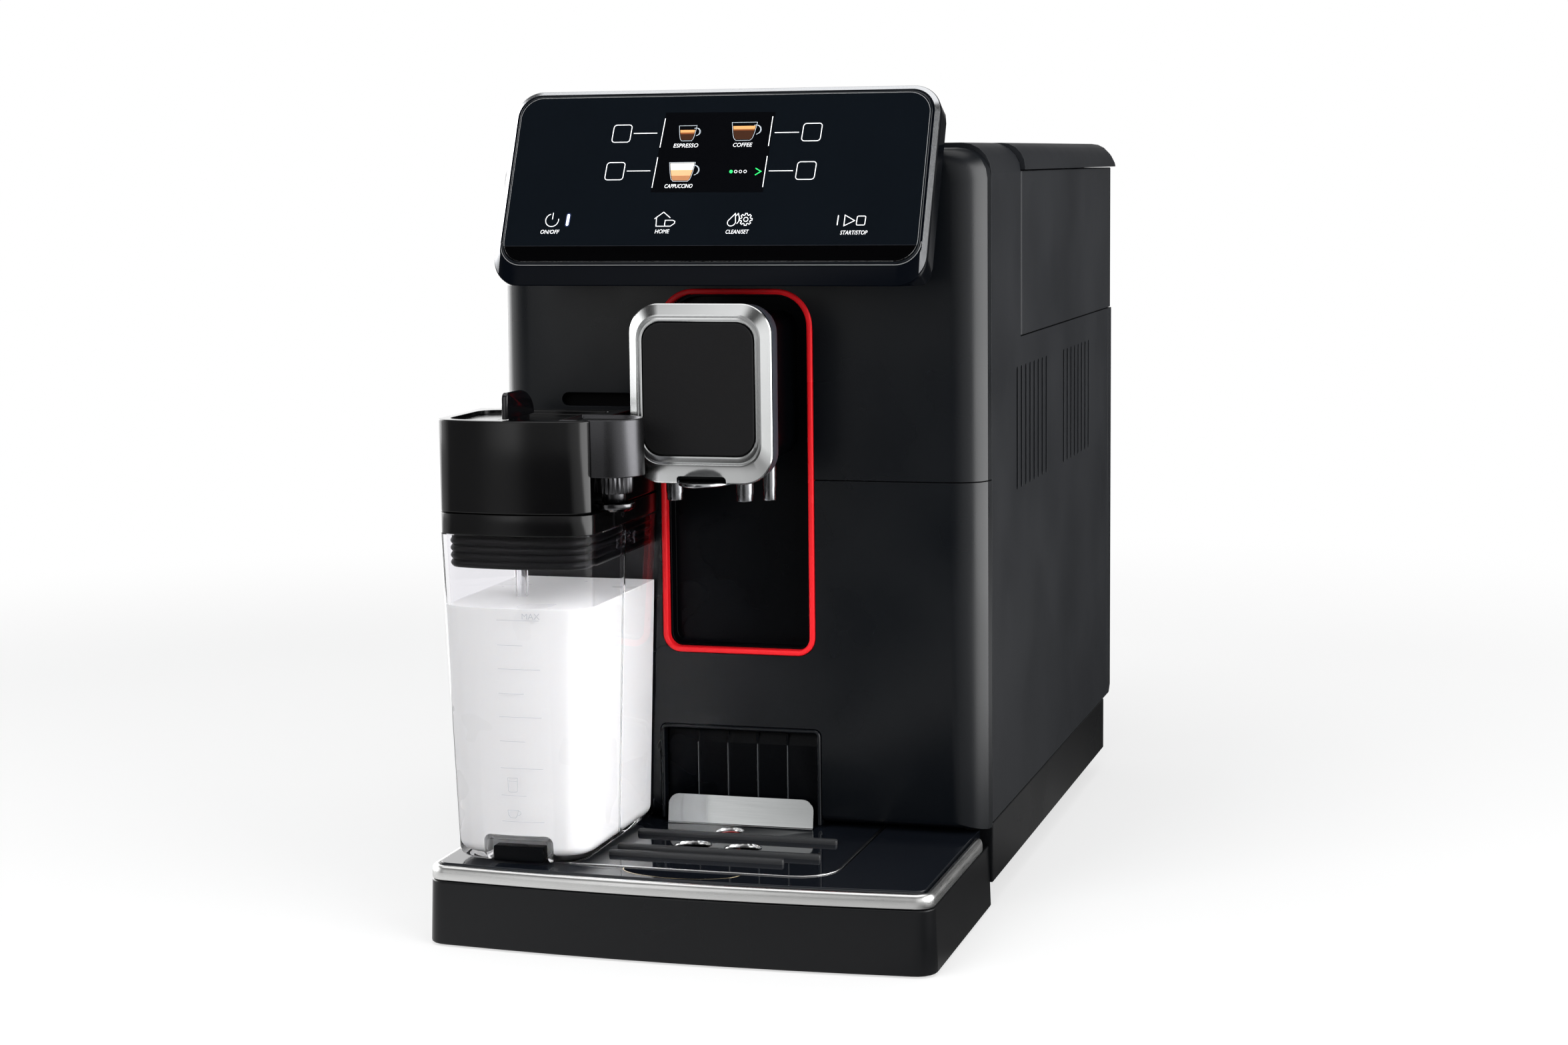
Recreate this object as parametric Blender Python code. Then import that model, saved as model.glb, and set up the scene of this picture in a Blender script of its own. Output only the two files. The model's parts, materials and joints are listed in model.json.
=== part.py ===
"""Bean to cup coffee machine with a milk carafe.

Metres, +Z up, +X to the right, the front faces -Y. The origin is the middle of the footprint.
"""
import math

import bmesh
import bpy
from mathutils import Vector

MM = 0.001

# Overall sizes
BODY_WIDTH = 220 * MM
BODY_HEIGHT = 332.5 * MM
HOUSING_DEPTH = 330.5 * MM
TRAY_REACH = 104.5 * MM
FOOT_HEIGHT = 11 * MM
CHASSIS_HEIGHT = 27 * MM
GAP = 0.3 * MM
SEAM = 0.4 * MM
OVERRUN = 5 * MM
CORNER_STEPS = 5
ROUND_SIDES = 20

# Housing shell, vents and service door opening
SHELL_WALL = 3 * MM
ARCH_RADIUS = 13 * MM
ARCH_REACH = 80 * MM
REAR_PANEL_DEPTH = 10.5 * MM
TANK_BAY_HEIGHT = 86 * MM
LID_HEIGHT = 12 * MM
LID_OVERHANG = 2 * MM
VENT_COUNT = 8
VENT_PITCH = 10.1 * MM
VENT_WIDTH = 3.6 * MM
VENT_HEIGHT = 55.4 * MM
VENT_BELOW_TANK = 13.3 * MM
VENT_START_SHARES = (0.2163, 0.5703)
DOOR_START_SHARE = 0.354
DOOR_DEPTH = 138 * MM
DOOR_RISE = 54 * MM
DOOR_HEIGHT = 138 * MM
DOOR_RADIUS = 6 * MM
DOOR_GRIP_DEPTH = 10 * MM
DOOR_GRIP_HEIGHT = 40 * MM
DOOR_GRIP_CUT = 1.5 * MM

# Chassis, feet and inner frame
CHASSIS_WALL = 12.5 * MM
CHASSIS_FLOOR = 2.6 * MM
CHASSIS_REAR_SETBACK = 17.5 * MM
FOOT_RADIUS = 10 * MM
FOOT_TIP_RADIUS = 8.5 * MM
FOOT_EDGE = 1.5 * MM
FOOT_INSET = 22 * MM
FOOT_END_INSET = 26 * MM
FRAME_PLATE = 4 * MM
FRAME_LEG = 5 * MM
FRAME_HEIGHT = 46 * MM
FRAME_SIDE_INSET = 6 * MM
FRAME_FRONT_INSET = 19 * MM
FRAME_REAR_INSET = 13 * MM

# Front covers
COVER_DEPTH = 15 * MM
COVER_EDGE_ROUND = 15 * MM
COVER_TOP_DROP = 2 * MM
COVER_TOP_ROUND = 2.5 * MM
COVER_FOOT_ROUND = 5 * MM
SPLIT_ABOVE_TRIM_FOOT = 77.3 * MM
COVER_CLEAR_OF_TRAY = 1.1 * MM
PILLOW_STEPS = 5
DOCK_SLOT_BEYOND_TRIM = 4.4 * MM
DOCK_SLOT_SIDE_INSET = 30 * MM
DOCK_SLOT_ABOVE_SPLIT = 30.9 * MM
DOCK_SLOT_HEIGHT = 5.9 * MM
DOCK_PORT_BORDER = 5 * MM
DOCK_PORT_DEPTH = 8 * MM

# Red trim and slide channel of the spout
TRIM_WIDTH = 69.2 * MM
TRIM_STRIP = 2.9 * MM
TRIM_ABOVE_RECESS = 32.3 * MM
TRIM_BELOW_TOP = 61.7 * MM
TRIM_TOP_RADIUS = 17.5 * MM
TRIM_LOW_RADIUS = 8 * MM
TRIM_PROUD = 1.1 * MM
TRIM_EDGE = 0.6 * MM
CHANNEL_BORDER = 6 * MM
CHANNEL_FLOOR = 2.6 * MM
CHANNEL_DEPTH = 6.2 * MM

# Recess of the grounds container
RECESS_WIDTH = 74 * MM
RECESS_HEIGHT = 43 * MM
RECESS_RADIUS = 3 * MM
SURROUND_STRIP = 1.7 * MM
SURROUND_PROUD = 1 * MM
SURROUND_DEPTH = 5 * MM

# Rear panel, inlet and switch
REAR_CHAMFER = 4 * MM
INLET_WIDTH = 27.6 * MM
INLET_HEIGHT = 20.4 * MM
INLET_DEPTH = 22 * MM
INLET_FROM_SIDE = 52 * MM
INLET_RISE = 28 * MM
INLET_SOCKET_DEPTH = 16 * MM
INLET_WALL = 2.4 * MM
PIN_WIDTH = 1.6 * MM
PIN_HEIGHT = 4 * MM
PIN_LENGTH = 10.5 * MM
PIN_SPREAD = 7 * MM
PIN_RISE = 2 * MM
SWITCH_WIDTH = 13 * MM
SWITCH_HEIGHT = 19 * MM
SWITCH_FROM_SIDE = 24 * MM
SWITCH_DEPTH = 9 * MM
SWITCH_CROWN = 1.8 * MM
SWITCH_WELL_WALL = 2 * MM
REAR_VENT_COUNT = 7
REAR_VENT_PITCH = 9 * MM
REAR_VENT_LENGTH = 70 * MM
REAR_VENT_FROM_SIDE = 35 * MM
REAR_VENT_RISE = 72 * MM

# Water tank and lids
TANK_WIDTH = 89.5 * MM
TANK_WALL = 2.5 * MM
TANK_RADIUS = 4 * MM
LID_SIDE_RADIUS = 11 * MM
LID_REAR_RADIUS = 10 * MM
LID_WALL = 2.5 * MM
LID_STEPS = 4
HOPPER_LID_SIDE_INSET = 13 * MM
HOPPER_LID_TANK_INSET = 14.5 * MM
HOPPER_LID_FRONT_INSET = 31 * MM
HOPPER_LID_REAR_INSET = 47.5 * MM
HOPPER_LID_THICKNESS = 2.7 * MM
HOPPER_LID_RADIUS = 8 * MM
HOPPER_LEDGE = 5 * MM
KNOB_ROOM = 28 * MM
HOPPER_WALL = 2 * MM
HOPPER_STRAIGHT = 26 * MM
HOPPER_TAPER = 41 * MM
HOPPER_THROAT = 46 * MM
KNOB_RADIUS = 9 * MM
KNOB_HEIGHT = 6.2 * MM
KNOB_WELL_RADIUS = 12 * MM
KNOB_GRIPS = 10
KNOB_GRIP_CUT = 0.8 * MM
CHUTE_SIDE_INSET = 38 * MM
CHUTE_WIDTH = 50 * MM
CHUTE_SETBACK = 27 * MM
CHUTE_DEPTH = 40 * MM
CHUTE_RADIUS = 5 * MM
CHUTE_LEDGE = 3 * MM
CHUTE_WALL = 2 * MM
CHUTE_DROP = 42 * MM
CHUTE_TAPER = 8 * MM

# Inner machinery
BREW_SIDE_INSET = 7 * MM
BREW_WIDTH = 54 * MM
BREW_DOOR_INSET = 10 * MM
BREW_DOOR_REAR_INSET = 16 * MM
BREW_BASE_HEIGHT = 26 * MM
BREW_CYLINDER_RADIUS = 25 * MM
BREW_BELOW_GRINDER = 16 * MM
BREW_CYLINDER_SETBACK = 34 * MM
BREW_HEAD_HEIGHT = 22 * MM
BREW_SPINE = 16 * MM
GRINDER_RADIUS = 34 * MM
GRINDER_NECK_RADIUS = 24 * MM
GRINDER_NECK = 9 * MM
GRINDER_HEIGHT = 42 * MM
BOILER_RADIUS = 28 * MM
BOILER_LENGTH = 104 * MM
BOILER_REAR_INSET = 41.5 * MM
BOILER_DOME = 8 * MM
PUMP_RADIUS = 17 * MM
PUMP_LENGTH = 64 * MM
PUMP_SETBACK = 61 * MM
SADDLE_WIDTH_SHARE = 0.8

# Control panel, leaning back
PANEL_TILT = math.radians(24.5)
PANEL_SIDE_INSET = 15.5 * MM
PANEL_LENGTH = 90 * MM
PANEL_THICKNESS = 15 * MM
PANEL_REACH = 46.5 * MM
PANEL_RADIUS = 12.5 * MM
PANEL_BACK_ROUND = 2 * MM
PANEL_SIDE_CHAMFER = 2.8 * MM
PANEL_CHIN = 8.4 * MM
PANEL_CHAMFER_DEPTH = 1.6 * MM
PANEL_GLASS = 1.5 * MM
PANEL_GLASS_PROUD = 0.4 * MM
PANEL_GLASS_EDGE = 0.5 * MM
PANEL_MITRE = 10.5 * MM
PANEL_ABOVE_SPOUT = 7.7 * MM
SCREEN_WIDTH = 52 * MM
SCREEN_LENGTH = 37 * MM
SCREEN_LOW = 40.5 * MM
SCREEN_CENTRE_X = -2.3 * MM
SCREEN_THICKNESS = 1.6 * MM
NECK_SIDE_INSET = 10.5 * MM
NECK_LOW_V = 20 * MM
NECK_HIGH_INSET = 10 * MM
NECK_REAR_REACH = 22 * MM

# Coffee spout
SPOUT_WIDTH = 62 * MM
SPOUT_HEIGHT = 75.4 * MM
SPOUT_REACH = 53.5 * MM
SPOUT_RADIUS = 13 * MM
SPOUT_BELOW_TRIM = 3.4 * MM
SPOUT_RIM_INSET = 1.2 * MM
SPOUT_HEAD_DEPTH = 11.5 * MM
SPOUT_NECK_ROOM = 6.7 * MM
SPOUT_NECK_RISE = 7 * MM
FRAME_SIDE_BORDER = 6.6 * MM
FRAME_TOP_BORDER = 7.6 * MM
FRAME_LOW_BORDER = 12 * MM
FRAME_BACK = 4 * MM
FRAME_SHOULDER = 1.4 * MM
FRAME_CREST = 0.6 * MM
INSERT_RADIUS = 8 * MM
INSERT_CROWN = 0.5 * MM
NOTCH_WIDTH = 21.4 * MM
NOTCH_HEIGHT = 3.2 * MM
NOTCH_RADIUS = 1.5 * MM
LIP_WIDTH = 23 * MM
LIP_REACH = 17 * MM
LIP_THICKNESS = 1.7 * MM
NOZZLE_RADIUS = 3.65 * MM
NOZZLE_TIP_RADIUS = 3.4 * MM
NOZZLE_BORE = 2.3 * MM
NOZZLE_LENGTH = 9.2 * MM
NOZZLE_SPREAD = 15.4 * MM
NOZZLE_SETBACK = 14 * MM
WATER_NOZZLE_RADIUS = 2.9 * MM
WATER_NOZZLE_BORE = 1.6 * MM
WATER_NOZZLE_LENGTH = 16.4 * MM
WATER_NOZZLE_INSET = 3.7 * MM
WATER_NOZZLE_SETBACK = 31 * MM

# Drip tray
TRAY_CLEARANCE = 0.8 * MM
TRAY_SIDE_INSET = 1.6 * MM
TRAY_DRAFT = 1 * MM
TRAY_BOW = 4.6 * MM
TRAY_BODY_TOP = 27.7 * MM
TRAY_WALL = 2.5 * MM
TRAY_CORNER = 8 * MM
TRAY_BOW_STEPS = 8
BAND_HEIGHT = 6.4 * MM
BAND_WIDTH = 3.6 * MM
BAND_EDGE = 1.4 * MM
BAND_END_SETBACK = 1 * MM
COVER_PLATE = 4 * MM
COVER_PROUD = 0.8 * MM
GRILLE_WIDTH = 124 * MM
GRILLE_FRONT_INSET = 21 * MM
GRILLE_BEHIND_FRONT = 11.5 * MM
GRILLE_RADIUS = 16 * MM
GRILLE_RIM = 1.3 * MM
GRILLE_RIM_PROUD = 0.5 * MM
GRILLE_REST_DEPTH = 1.6 * MM
RIB_WIDTH = 3 * MM
RIB_PROUD = 2.2 * MM
RIB_LEFT_SHARE = 0.63
RIB_SHARES = ((0.597, 0.822), (0.311, 0.822), (0.195, 0.613))
PLATE_WIDTH = 66.6 * MM
PLATE_FOOT = 2.4 * MM
PLATE_STANDOFF = 0.6 * MM
PLATE_THICKNESS = 1 * MM
PLATE_LIP = 12.6 * MM
PLATE_LIP_RADIUS = 5 * MM
DRAIN_RADIUS = 7.7 * MM
DRAIN_SHARES = ((-0.148, 0.441), (0.216, 0.433))
FLOAT_SHARES = (-0.019, 0.732)
FLOAT_HOLE = 6 * MM
FLOAT_RADIUS = 4.6 * MM
FLOAT_FOOT_RADIUS = 8 * MM
FLOAT_FOOT = 5 * MM
FLOAT_BELOW_TOP = 2.4 * MM
FLOAT_GUIDE = 2.2 * MM
FINGER_WIDTH = 50 * MM
FINGER_INSET = 18.5 * MM
FINGER_DEPTH = 11.5 * MM
INNER_TRAY_REACH = 158 * MM
INNER_TRAY_WALL = 2 * MM
INNER_TRAY_HEIGHT = 17 * MM
CONTAINER_SIDE_GAP = 0.5 * MM
CONTAINER_TOP_GAP = 1 * MM
CONTAINER_WALL = 2 * MM
CONTAINER_DEPTH = 150 * MM
CONTAINER_RIDGES = 4
CONTAINER_RIDGE_PITCH = 13.7 * MM
CONTAINER_RIDGE_WIDTH = 1 * MM
CONTAINER_RIDGE_PROUD = 0.6 * MM
CONTAINER_SLOPE = 5.5 * MM
CONTAINER_SLOPE_DEPTH = 1.6 * MM

# Milk carafe
CARAFE_SIDE_INSET = 5.7 * MM
CARAFE_SPOUT_GAP = 5 * MM
CARAFE_REACH = 91.6 * MM
CARAFE_BOW = 3 * MM
CARAFE_LIFT = 1 * MM
JUG_HEIGHT = 134.1 * MM
JUG_WALL = 2 * MM
JUG_FLOOR = 3 * MM
JUG_TAPER = 4.8 * MM
JUG_FRONT_TAPER = 2 * MM
JUG_RADIUS = 11 * MM
JUG_LOW_ROUND = 4 * MM
JUG_STEP = 1.6 * MM
JUG_STEP_SETBACK = 47 * MM
FRONT_NOTCH_WIDTH = 27 * MM
FRONT_NOTCH_HEIGHT = 9.6 * MM
FRONT_NOTCH_DEPTH = 5 * MM
COLLAR_HEIGHT = 10.4 * MM
GASKET_HEIGHT = 12.6 * MM
GASKET_INSET = 3.4 * MM
GASKET_RIBS = 3
GASKET_RIB_DEPTH = 1 * MM
CARAFE_COVER_HEIGHT = 40.3 * MM
CARAFE_DECK_DROP = 6 * MM
CARAFE_DECK_DEPTH = 36 * MM
ARM_OVERHANG = 4.5 * MM
ARM_SETBACK = 20 * MM
ARM_RADIUS = 13 * MM
ARM_HEIGHT = 23.8 * MM
ARM_BAR_WIDTH = 20 * MM
ARM_BAR_HEIGHT = 10 * MM
ARM_BAR_END_INSET = 22.8 * MM
ARM_BAY_WIDTH = 14.5 * MM
ARM_TOP_RECESS = 1.2 * MM
ARM_TOP_RIM = 1.8 * MM
MILK_NOZZLE_RADIUS = 8 * MM
MILK_NOZZLE_HEIGHT = 7 * MM
MILK_NOZZLE_TIP_RADIUS = 5 * MM
MILK_NOZZLE_TIP = 4 * MM
MILK_NOZZLE_RIBS = 20
MILK_NOZZLE_RIB_CUT = 0.5 * MM
PARKING_RADIUS = 8.8 * MM
PARKING_HEIGHT = 3.4 * MM
PARKING_DISH = 1.4 * MM
TAB_OFFSET = 1.45 * MM
TAB_THICKNESS = 2.7 * MM
TAB_FRONT_SETBACK = 1 * MM
TAB_LENGTH = 44 * MM
TAB_HEIGHT = 12 * MM
TAB_NOSE = 3 * MM
TUBE_OFFSET = 7.85 * MM
TUBE_SETBACK = 33 * MM
TUBE_RADIUS = 2.7 * MM
TUBE_BORE = 1.7 * MM
TUBE_ABOVE_FLOOR = 4 * MM
MILK_BELOW_RIM = 30.5 * MM
MILK_CLEARANCE = 0.35 * MM

# Places worked out from the sizes above
HALF_WIDTH = BODY_WIDTH / 2
OVERALL_DEPTH = HOUSING_DEPTH + TRAY_REACH
REAR = OVERALL_DEPTH / 2
FRONT = REAR - HOUSING_DEPTH
TRAY_FRONT = FRONT - TRAY_REACH
COVER_REAR = FRONT + COVER_DEPTH
ARCH_REAR = FRONT + ARCH_REACH
SIDE_REAR = REAR - REAR_PANEL_DEPTH
SKIN_BACK = FRONT + SHELL_WALL
CHANNEL_FRONT = SKIN_BACK + GAP
HOUSING_LOW = FOOT_HEIGHT + CHASSIS_HEIGHT
TRAY_SURFACE = TRAY_BODY_TOP + BAND_HEIGHT + COVER_PROUD
COVER_LOW = TRAY_SURFACE + COVER_CLEAR_OF_TRAY
RECESS_TOP = COVER_LOW + RECESS_HEIGHT
TRIM_LOW = RECESS_TOP + TRIM_ABOVE_RECESS
TRIM_TOP = BODY_HEIGHT - TRIM_BELOW_TOP
COVER_SPLIT = TRIM_LOW + SPLIT_ABOVE_TRIM_FOOT
DOCK_SLOT_LOW = COVER_SPLIT + DOCK_SLOT_ABOVE_SPLIT
DOCK_SLOT_START = DOCK_SLOT_SIDE_INSET - HALF_WIDTH
DOCK_SLOT_END = -TRIM_WIDTH / 2 - DOCK_SLOT_BEYOND_TRIM
HOUSING_TOP = BODY_HEIGHT
TANK_LOW = HOUSING_TOP - TANK_BAY_HEIGHT
LID_LOW = HOUSING_TOP - LID_HEIGHT
VENT_LOW = TANK_LOW - VENT_BELOW_TANK - VENT_HEIGHT
VENT_STARTS = [FRONT + share * HOUSING_DEPTH for share in VENT_START_SHARES]
DOOR_LOW = HOUSING_LOW + DOOR_RISE
DOOR_FRONT = FRONT + DOOR_START_SHARE * HOUSING_DEPTH
CHASSIS_TOP = HOUSING_LOW - SEAM
FRAME_LOW = CHASSIS_TOP + GAP
FRAME_TOP = FRAME_LOW + FRAME_HEIGHT
MACHINE_FLOOR = FRAME_TOP + GAP
INLET_CENTRE_X = HALF_WIDTH - INLET_FROM_SIDE
INLET_CENTRE_Z = HOUSING_LOW + INLET_RISE
SWITCH_CENTRE_X = HALF_WIDTH - SWITCH_FROM_SIDE
TANK_INNER_EDGE = HALF_WIDTH - TANK_WIDTH
TANK_MIDDLE = HALF_WIDTH - TANK_WIDTH / 2
HOPPER_LID_LEFT = HOPPER_LID_SIDE_INSET - HALF_WIDTH
HOPPER_LID_RIGHT = TANK_INNER_EDGE - HOPPER_LID_TANK_INSET
HOPPER_LID_FRONT = ARCH_REAR + HOPPER_LID_FRONT_INSET
HOPPER_LID_REAR = REAR - HOPPER_LID_REAR_INSET
HOPPER_TOP = HOUSING_TOP - HOPPER_LID_THICKNESS - GAP - GAP
HOPPER_WAIST = HOPPER_TOP - HOPPER_STRAIGHT
HOPPER_FOOT = HOPPER_WAIST - HOPPER_TAPER
GRINDER_TOP = HOPPER_FOOT - GAP
GRINDER_LOW = GRINDER_TOP - GRINDER_NECK - GRINDER_HEIGHT
TRAY_TOP_WIDTH = BODY_WIDTH - 2 * TRAY_SIDE_INSET
TRAY_REAR = COVER_REAR - SEAM
GRILLE_FRONT = TRAY_FRONT + GRILLE_FRONT_INSET
GRILLE_REAR = FRONT + GRILLE_BEHIND_FRONT
PLATE_REAR = FRONT - PLATE_STANDOFF
FINGER_REAR = TRAY_FRONT + FINGER_INSET
CONTAINER_TOP = RECESS_TOP - GAP - SURROUND_STRIP - CONTAINER_TOP_GAP
CONTAINER_WIDTH = RECESS_WIDTH - 2 * (GAP + SURROUND_STRIP + CONTAINER_SIDE_GAP)
SPOUT_FACE = FRONT - SPOUT_REACH
SPOUT_LOW = TRIM_TOP - SPOUT_BELOW_TRIM - SPOUT_HEIGHT
SPOUT_NECK_WIDTH = TRIM_WIDTH - 2 * (TRIM_STRIP + SPOUT_NECK_ROOM)
PANEL_WIDTH = BODY_WIDTH - 2 * PANEL_SIDE_INSET
PANEL_FOOT = SPOUT_LOW + SPOUT_HEIGHT + PANEL_ABOVE_SPOUT
CARAFE_LEFT = CARAFE_SIDE_INSET - HALF_WIDTH
CARAFE_RIGHT = -SPOUT_WIDTH / 2 - CARAFE_SPOUT_GAP
CARAFE_MIDDLE = (CARAFE_LEFT + CARAFE_RIGHT) / 2
CARAFE_REAR = FRONT - SEAM
CARAFE_FRONT = CARAFE_REAR - CARAFE_REACH
CARAFE_LOW = TRAY_SURFACE + CARAFE_LIFT
JUG_RIM = CARAFE_LOW + JUG_HEIGHT
COLLAR_LOW = JUG_RIM + GAP
COLLAR_TOP = COLLAR_LOW + COLLAR_HEIGHT
CARAFE_COVER_LOW = COLLAR_TOP + GAP
CARAFE_TOP = CARAFE_COVER_LOW + CARAFE_COVER_HEIGHT
ARM_CENTRE = (CARAFE_RIGHT + ARM_OVERHANG, CARAFE_FRONT + ARM_SETBACK)
ARM_BAR_LEFT = CARAFE_LEFT + ARM_BAR_END_INSET
ARM_BAY_LEFT = CARAFE_RIGHT - ARM_BAY_WIDTH
TUBE_CENTRE = (CARAFE_MIDDLE - TUBE_OFFSET, CARAFE_FRONT + TUBE_SETBACK)
MILK_LEVEL = JUG_RIM - MILK_BELOW_RIM

# Finishes as colour, roughness, metallic, transmission
SATIN_BLACK = ((0.022, 0.024, 0.027), 0.36, 0.0, 0.0)
GLOSS_BLACK = ((0.008, 0.009, 0.012), 0.08, 0.0, 0.0)
MATT_BLACK = ((0.016, 0.016, 0.017), 0.62, 0.0, 0.0)
GLASS_BLACK = ((0.004, 0.005, 0.007), 0.03, 0.0, 0.0)
SILVER = ((0.72, 0.73, 0.74), 0.25, 1.0, 0.0)
STEEL = ((0.62, 0.62, 0.60), 0.22, 1.0, 0.0)
CHROME = ((0.80, 0.81, 0.83), 0.08, 1.0, 0.0)
RED = ((0.70, 0.012, 0.018), 0.30, 0.0, 0.0)
CLEAR = ((0.95, 0.96, 0.98), 0.04, 0.0, 1.0)
SMOKE = ((0.10, 0.10, 0.11), 0.10, 0.0, 0.85)
MILK_WHITE = ((0.93, 0.93, 0.91), 0.30, 0.0, 0.0)
RUBBER = ((0.020, 0.020, 0.020), 0.80, 0.0, 0.0)
INNER_GREY = ((0.18, 0.18, 0.19), 0.55, 0.0, 0.0)
SCREEN_DARK = ((0.010, 0.012, 0.016), 0.15, 0.0, 0.0)


def clear_scene():
    for item in list(bpy.data.objects):
        bpy.data.objects.remove(item, do_unlink=True)


def dress(item, finish):
    """Gives an object its own material."""
    colour, roughness, metallic, transmission = finish
    skin = bpy.data.materials.new(item.name + "_finish")
    skin.use_nodes = True
    shader = skin.node_tree.nodes["Principled BSDF"]
    shader.inputs["Base Color"].default_value = (*colour, 1.0)
    shader.inputs["Roughness"].default_value = roughness
    shader.inputs["Metallic"].default_value = metallic
    shader.inputs["Transmission Weight"].default_value = transmission
    item.data.materials.append(skin)


def solid(name, rings, finish=None, origin=(0, 0, 0), cyclic=False):
    """Joins rings of equal point counts into one closed body; cyclic joins the last to the first."""
    build = bmesh.new()
    base = Vector(origin)
    loops = [[build.verts.new(Vector(point) - base) for point in ring] for ring in rings]
    pairs = list(zip(loops, loops[1:]))
    if cyclic:
        pairs.append((loops[-1], loops[0]))
    for low, high in pairs:
        for k in range(len(low)):
            after = (k + 1) % len(low)
            build.faces.new((low[k], low[after], high[after], high[k]))
    if not cyclic:
        build.faces.new(list(reversed(loops[0])))
        build.faces.new(loops[-1])
    bmesh.ops.recalc_face_normals(build, faces=build.faces)
    mesh = bpy.data.meshes.new(name)
    build.to_mesh(mesh)
    build.free()
    item = bpy.data.objects.new(name, mesh)
    bpy.context.scene.collection.objects.link(item)
    item.location = base
    if finish:
        dress(item, finish)
    mesh.shade_smooth()
    mesh.set_sharp_from_angle(angle=math.radians(35))
    return item


def outline(left, right, low, high, radii=(0, 0, 0, 0), steps=CORNER_STEPS):
    """Rounded rectangle, anticlockwise; the radii start at the lower left corner."""
    corners = ((left, low, 1, 1, 180), (right, low, -1, 1, 270),
               (right, high, -1, -1, 0), (left, high, 1, -1, 90))
    points = []
    for (x, y, to_x, to_y, start), radius in zip(corners, radii):
        for k in range(steps + 1 if radius else 1):
            turn = math.radians(start + 90 * k / steps)
            points.append((x + to_x * radius + radius * math.cos(turn),
                           y + to_y * radius + radius * math.sin(turn)))
    return points


def lay(points, axis, level):
    """Sets a flat outline at a level along an axis."""
    if axis == "X":
        return [(level, a, b) for a, b in points]
    if axis == "Y":
        return [(a, level, b) for a, b in points]
    return [(a, b, level) for a, b in points]


def prism(name, points, axis, start, end, finish=None, origin=(0, 0, 0)):
    return solid(name, [lay(points, axis, start), lay(points, axis, end)], finish, origin)


def block(name, low, high, finish=None):
    """Plain cutting block between two corners."""
    return prism(name, outline(low[0], high[0], low[1], high[1]), "Z", low[2], high[2], finish)


def circle(radius, sides=ROUND_SIDES, centre=(0, 0)):
    return [(centre[0] + radius * math.cos(math.tau * k / sides),
             centre[1] + radius * math.sin(math.tau * k / sides)) for k in range(sides)]


def turned(name, profile, axis, centre, finish=None, sides=ROUND_SIDES, origin=(0, 0, 0)):
    """Turns a profile of (radius, level) pairs round an axis through a centre."""
    rings = [lay(circle(radius, sides, centre), axis, level) for radius, level in profile]
    return solid(name, rings, finish, origin)


def combine(target, tool, operation="DIFFERENCE"):
    """Cuts or joins with a hidden tool."""
    step = target.modifiers.new(operation.lower() + "_" + tool.name, "BOOLEAN")
    step.operation = operation
    step.solver = "EXACT"
    step.object = tool
    tool.hide_render = True
    tool.display_type = "WIRE"


def soften(item, width, segments=2):
    step = item.modifiers.new("soft_edges", "BEVEL")
    step.width = width
    step.segments = segments
    step.limit_method = "ANGLE"
    step.angle_limit = math.radians(50)


def carry(name, place, items):
    """Hangs pieces on an empty that stands on their joint's axis."""
    holder = bpy.data.objects.new(name, None)
    bpy.context.scene.collection.objects.link(holder)
    holder.location = place
    for item in items:
        item.parent = holder
        item.location = item.location - Vector(place)


def u_profile(half, low, top, radius, wall):
    """Section of a shell open at the bottom, drawn as one closed loop."""
    outer = outline(-half, half, low, top, (0, 0, radius, radius))
    inner = outline(wall - half, half - wall, low, top - wall, (0, 0, radius - wall, radius - wall))
    return outer[1:] + outer[:1] + inner[:1] + list(reversed(inner[1:]))


def pillow(half, low, top, radius, rear, front, rounds):
    """Rings of a cover whose sides, top and foot round off towards its front."""
    side_round, top_round, foot_round = rounds
    rings = []
    for k in range(PILLOW_STEPS + 1):
        turn = math.radians(90 * k / PILLOW_STEPS)
        fall = 1 - math.cos(turn)
        width = half - side_round * fall
        points = outline(-width, width, low + foot_round * fall, top - top_round * fall,
                         (0, 0, radius, radius))
        rings.append(lay(points, "Y", rear + (front - rear) * math.sin(turn)))
    return rings


def chassis_and_feet():
    half = HALF_WIDTH
    rear = REAR - CHASSIS_REAR_SETBACK
    front = COVER_REAR + SEAM
    chassis = prism("base_chassis", outline(-half, half, front, rear, (0, 0, TANK_RADIUS, TANK_RADIUS)),
                    "Z", FOOT_HEIGHT, CHASSIS_TOP, SATIN_BLACK)
    inner = half - CHASSIS_WALL
    well = block("chassis_well", (-inner, front - OVERRUN, FOOT_HEIGHT + CHASSIS_FLOOR),
                 (inner, rear - CHASSIS_WALL, CHASSIS_TOP + OVERRUN))
    combine(chassis, well)
    places = {"front_left": (-1, front + FOOT_END_INSET), "front_right": (1, front + FOOT_END_INSET),
              "rear_left": (-1, rear - FOOT_END_INSET), "rear_right": (1, rear - FOOT_END_INSET)}
    for name, (side, along) in places.items():
        profile = [(FOOT_TIP_RADIUS, 0), (FOOT_RADIUS, FOOT_EDGE), (FOOT_RADIUS, FOOT_HEIGHT - GAP)]
        turned("foot_" + name, profile, "Z", (side * (half - FOOT_INSET), along), RUBBER)


def inner_frame():
    half = HALF_WIDTH - FRAME_SIDE_INSET
    points = [(-half, FRAME_LOW), (-half, FRAME_TOP), (half, FRAME_TOP), (half, FRAME_LOW),
              (half - FRAME_LEG, FRAME_LOW), (half - FRAME_LEG, FRAME_TOP - FRAME_PLATE),
              (FRAME_LEG - half, FRAME_TOP - FRAME_PLATE), (FRAME_LEG - half, FRAME_LOW)]
    prism("inner_frame", points, "Y", FRONT + FRAME_FRONT_INSET, REAR - FRAME_REAR_INSET, INNER_GREY)


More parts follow.
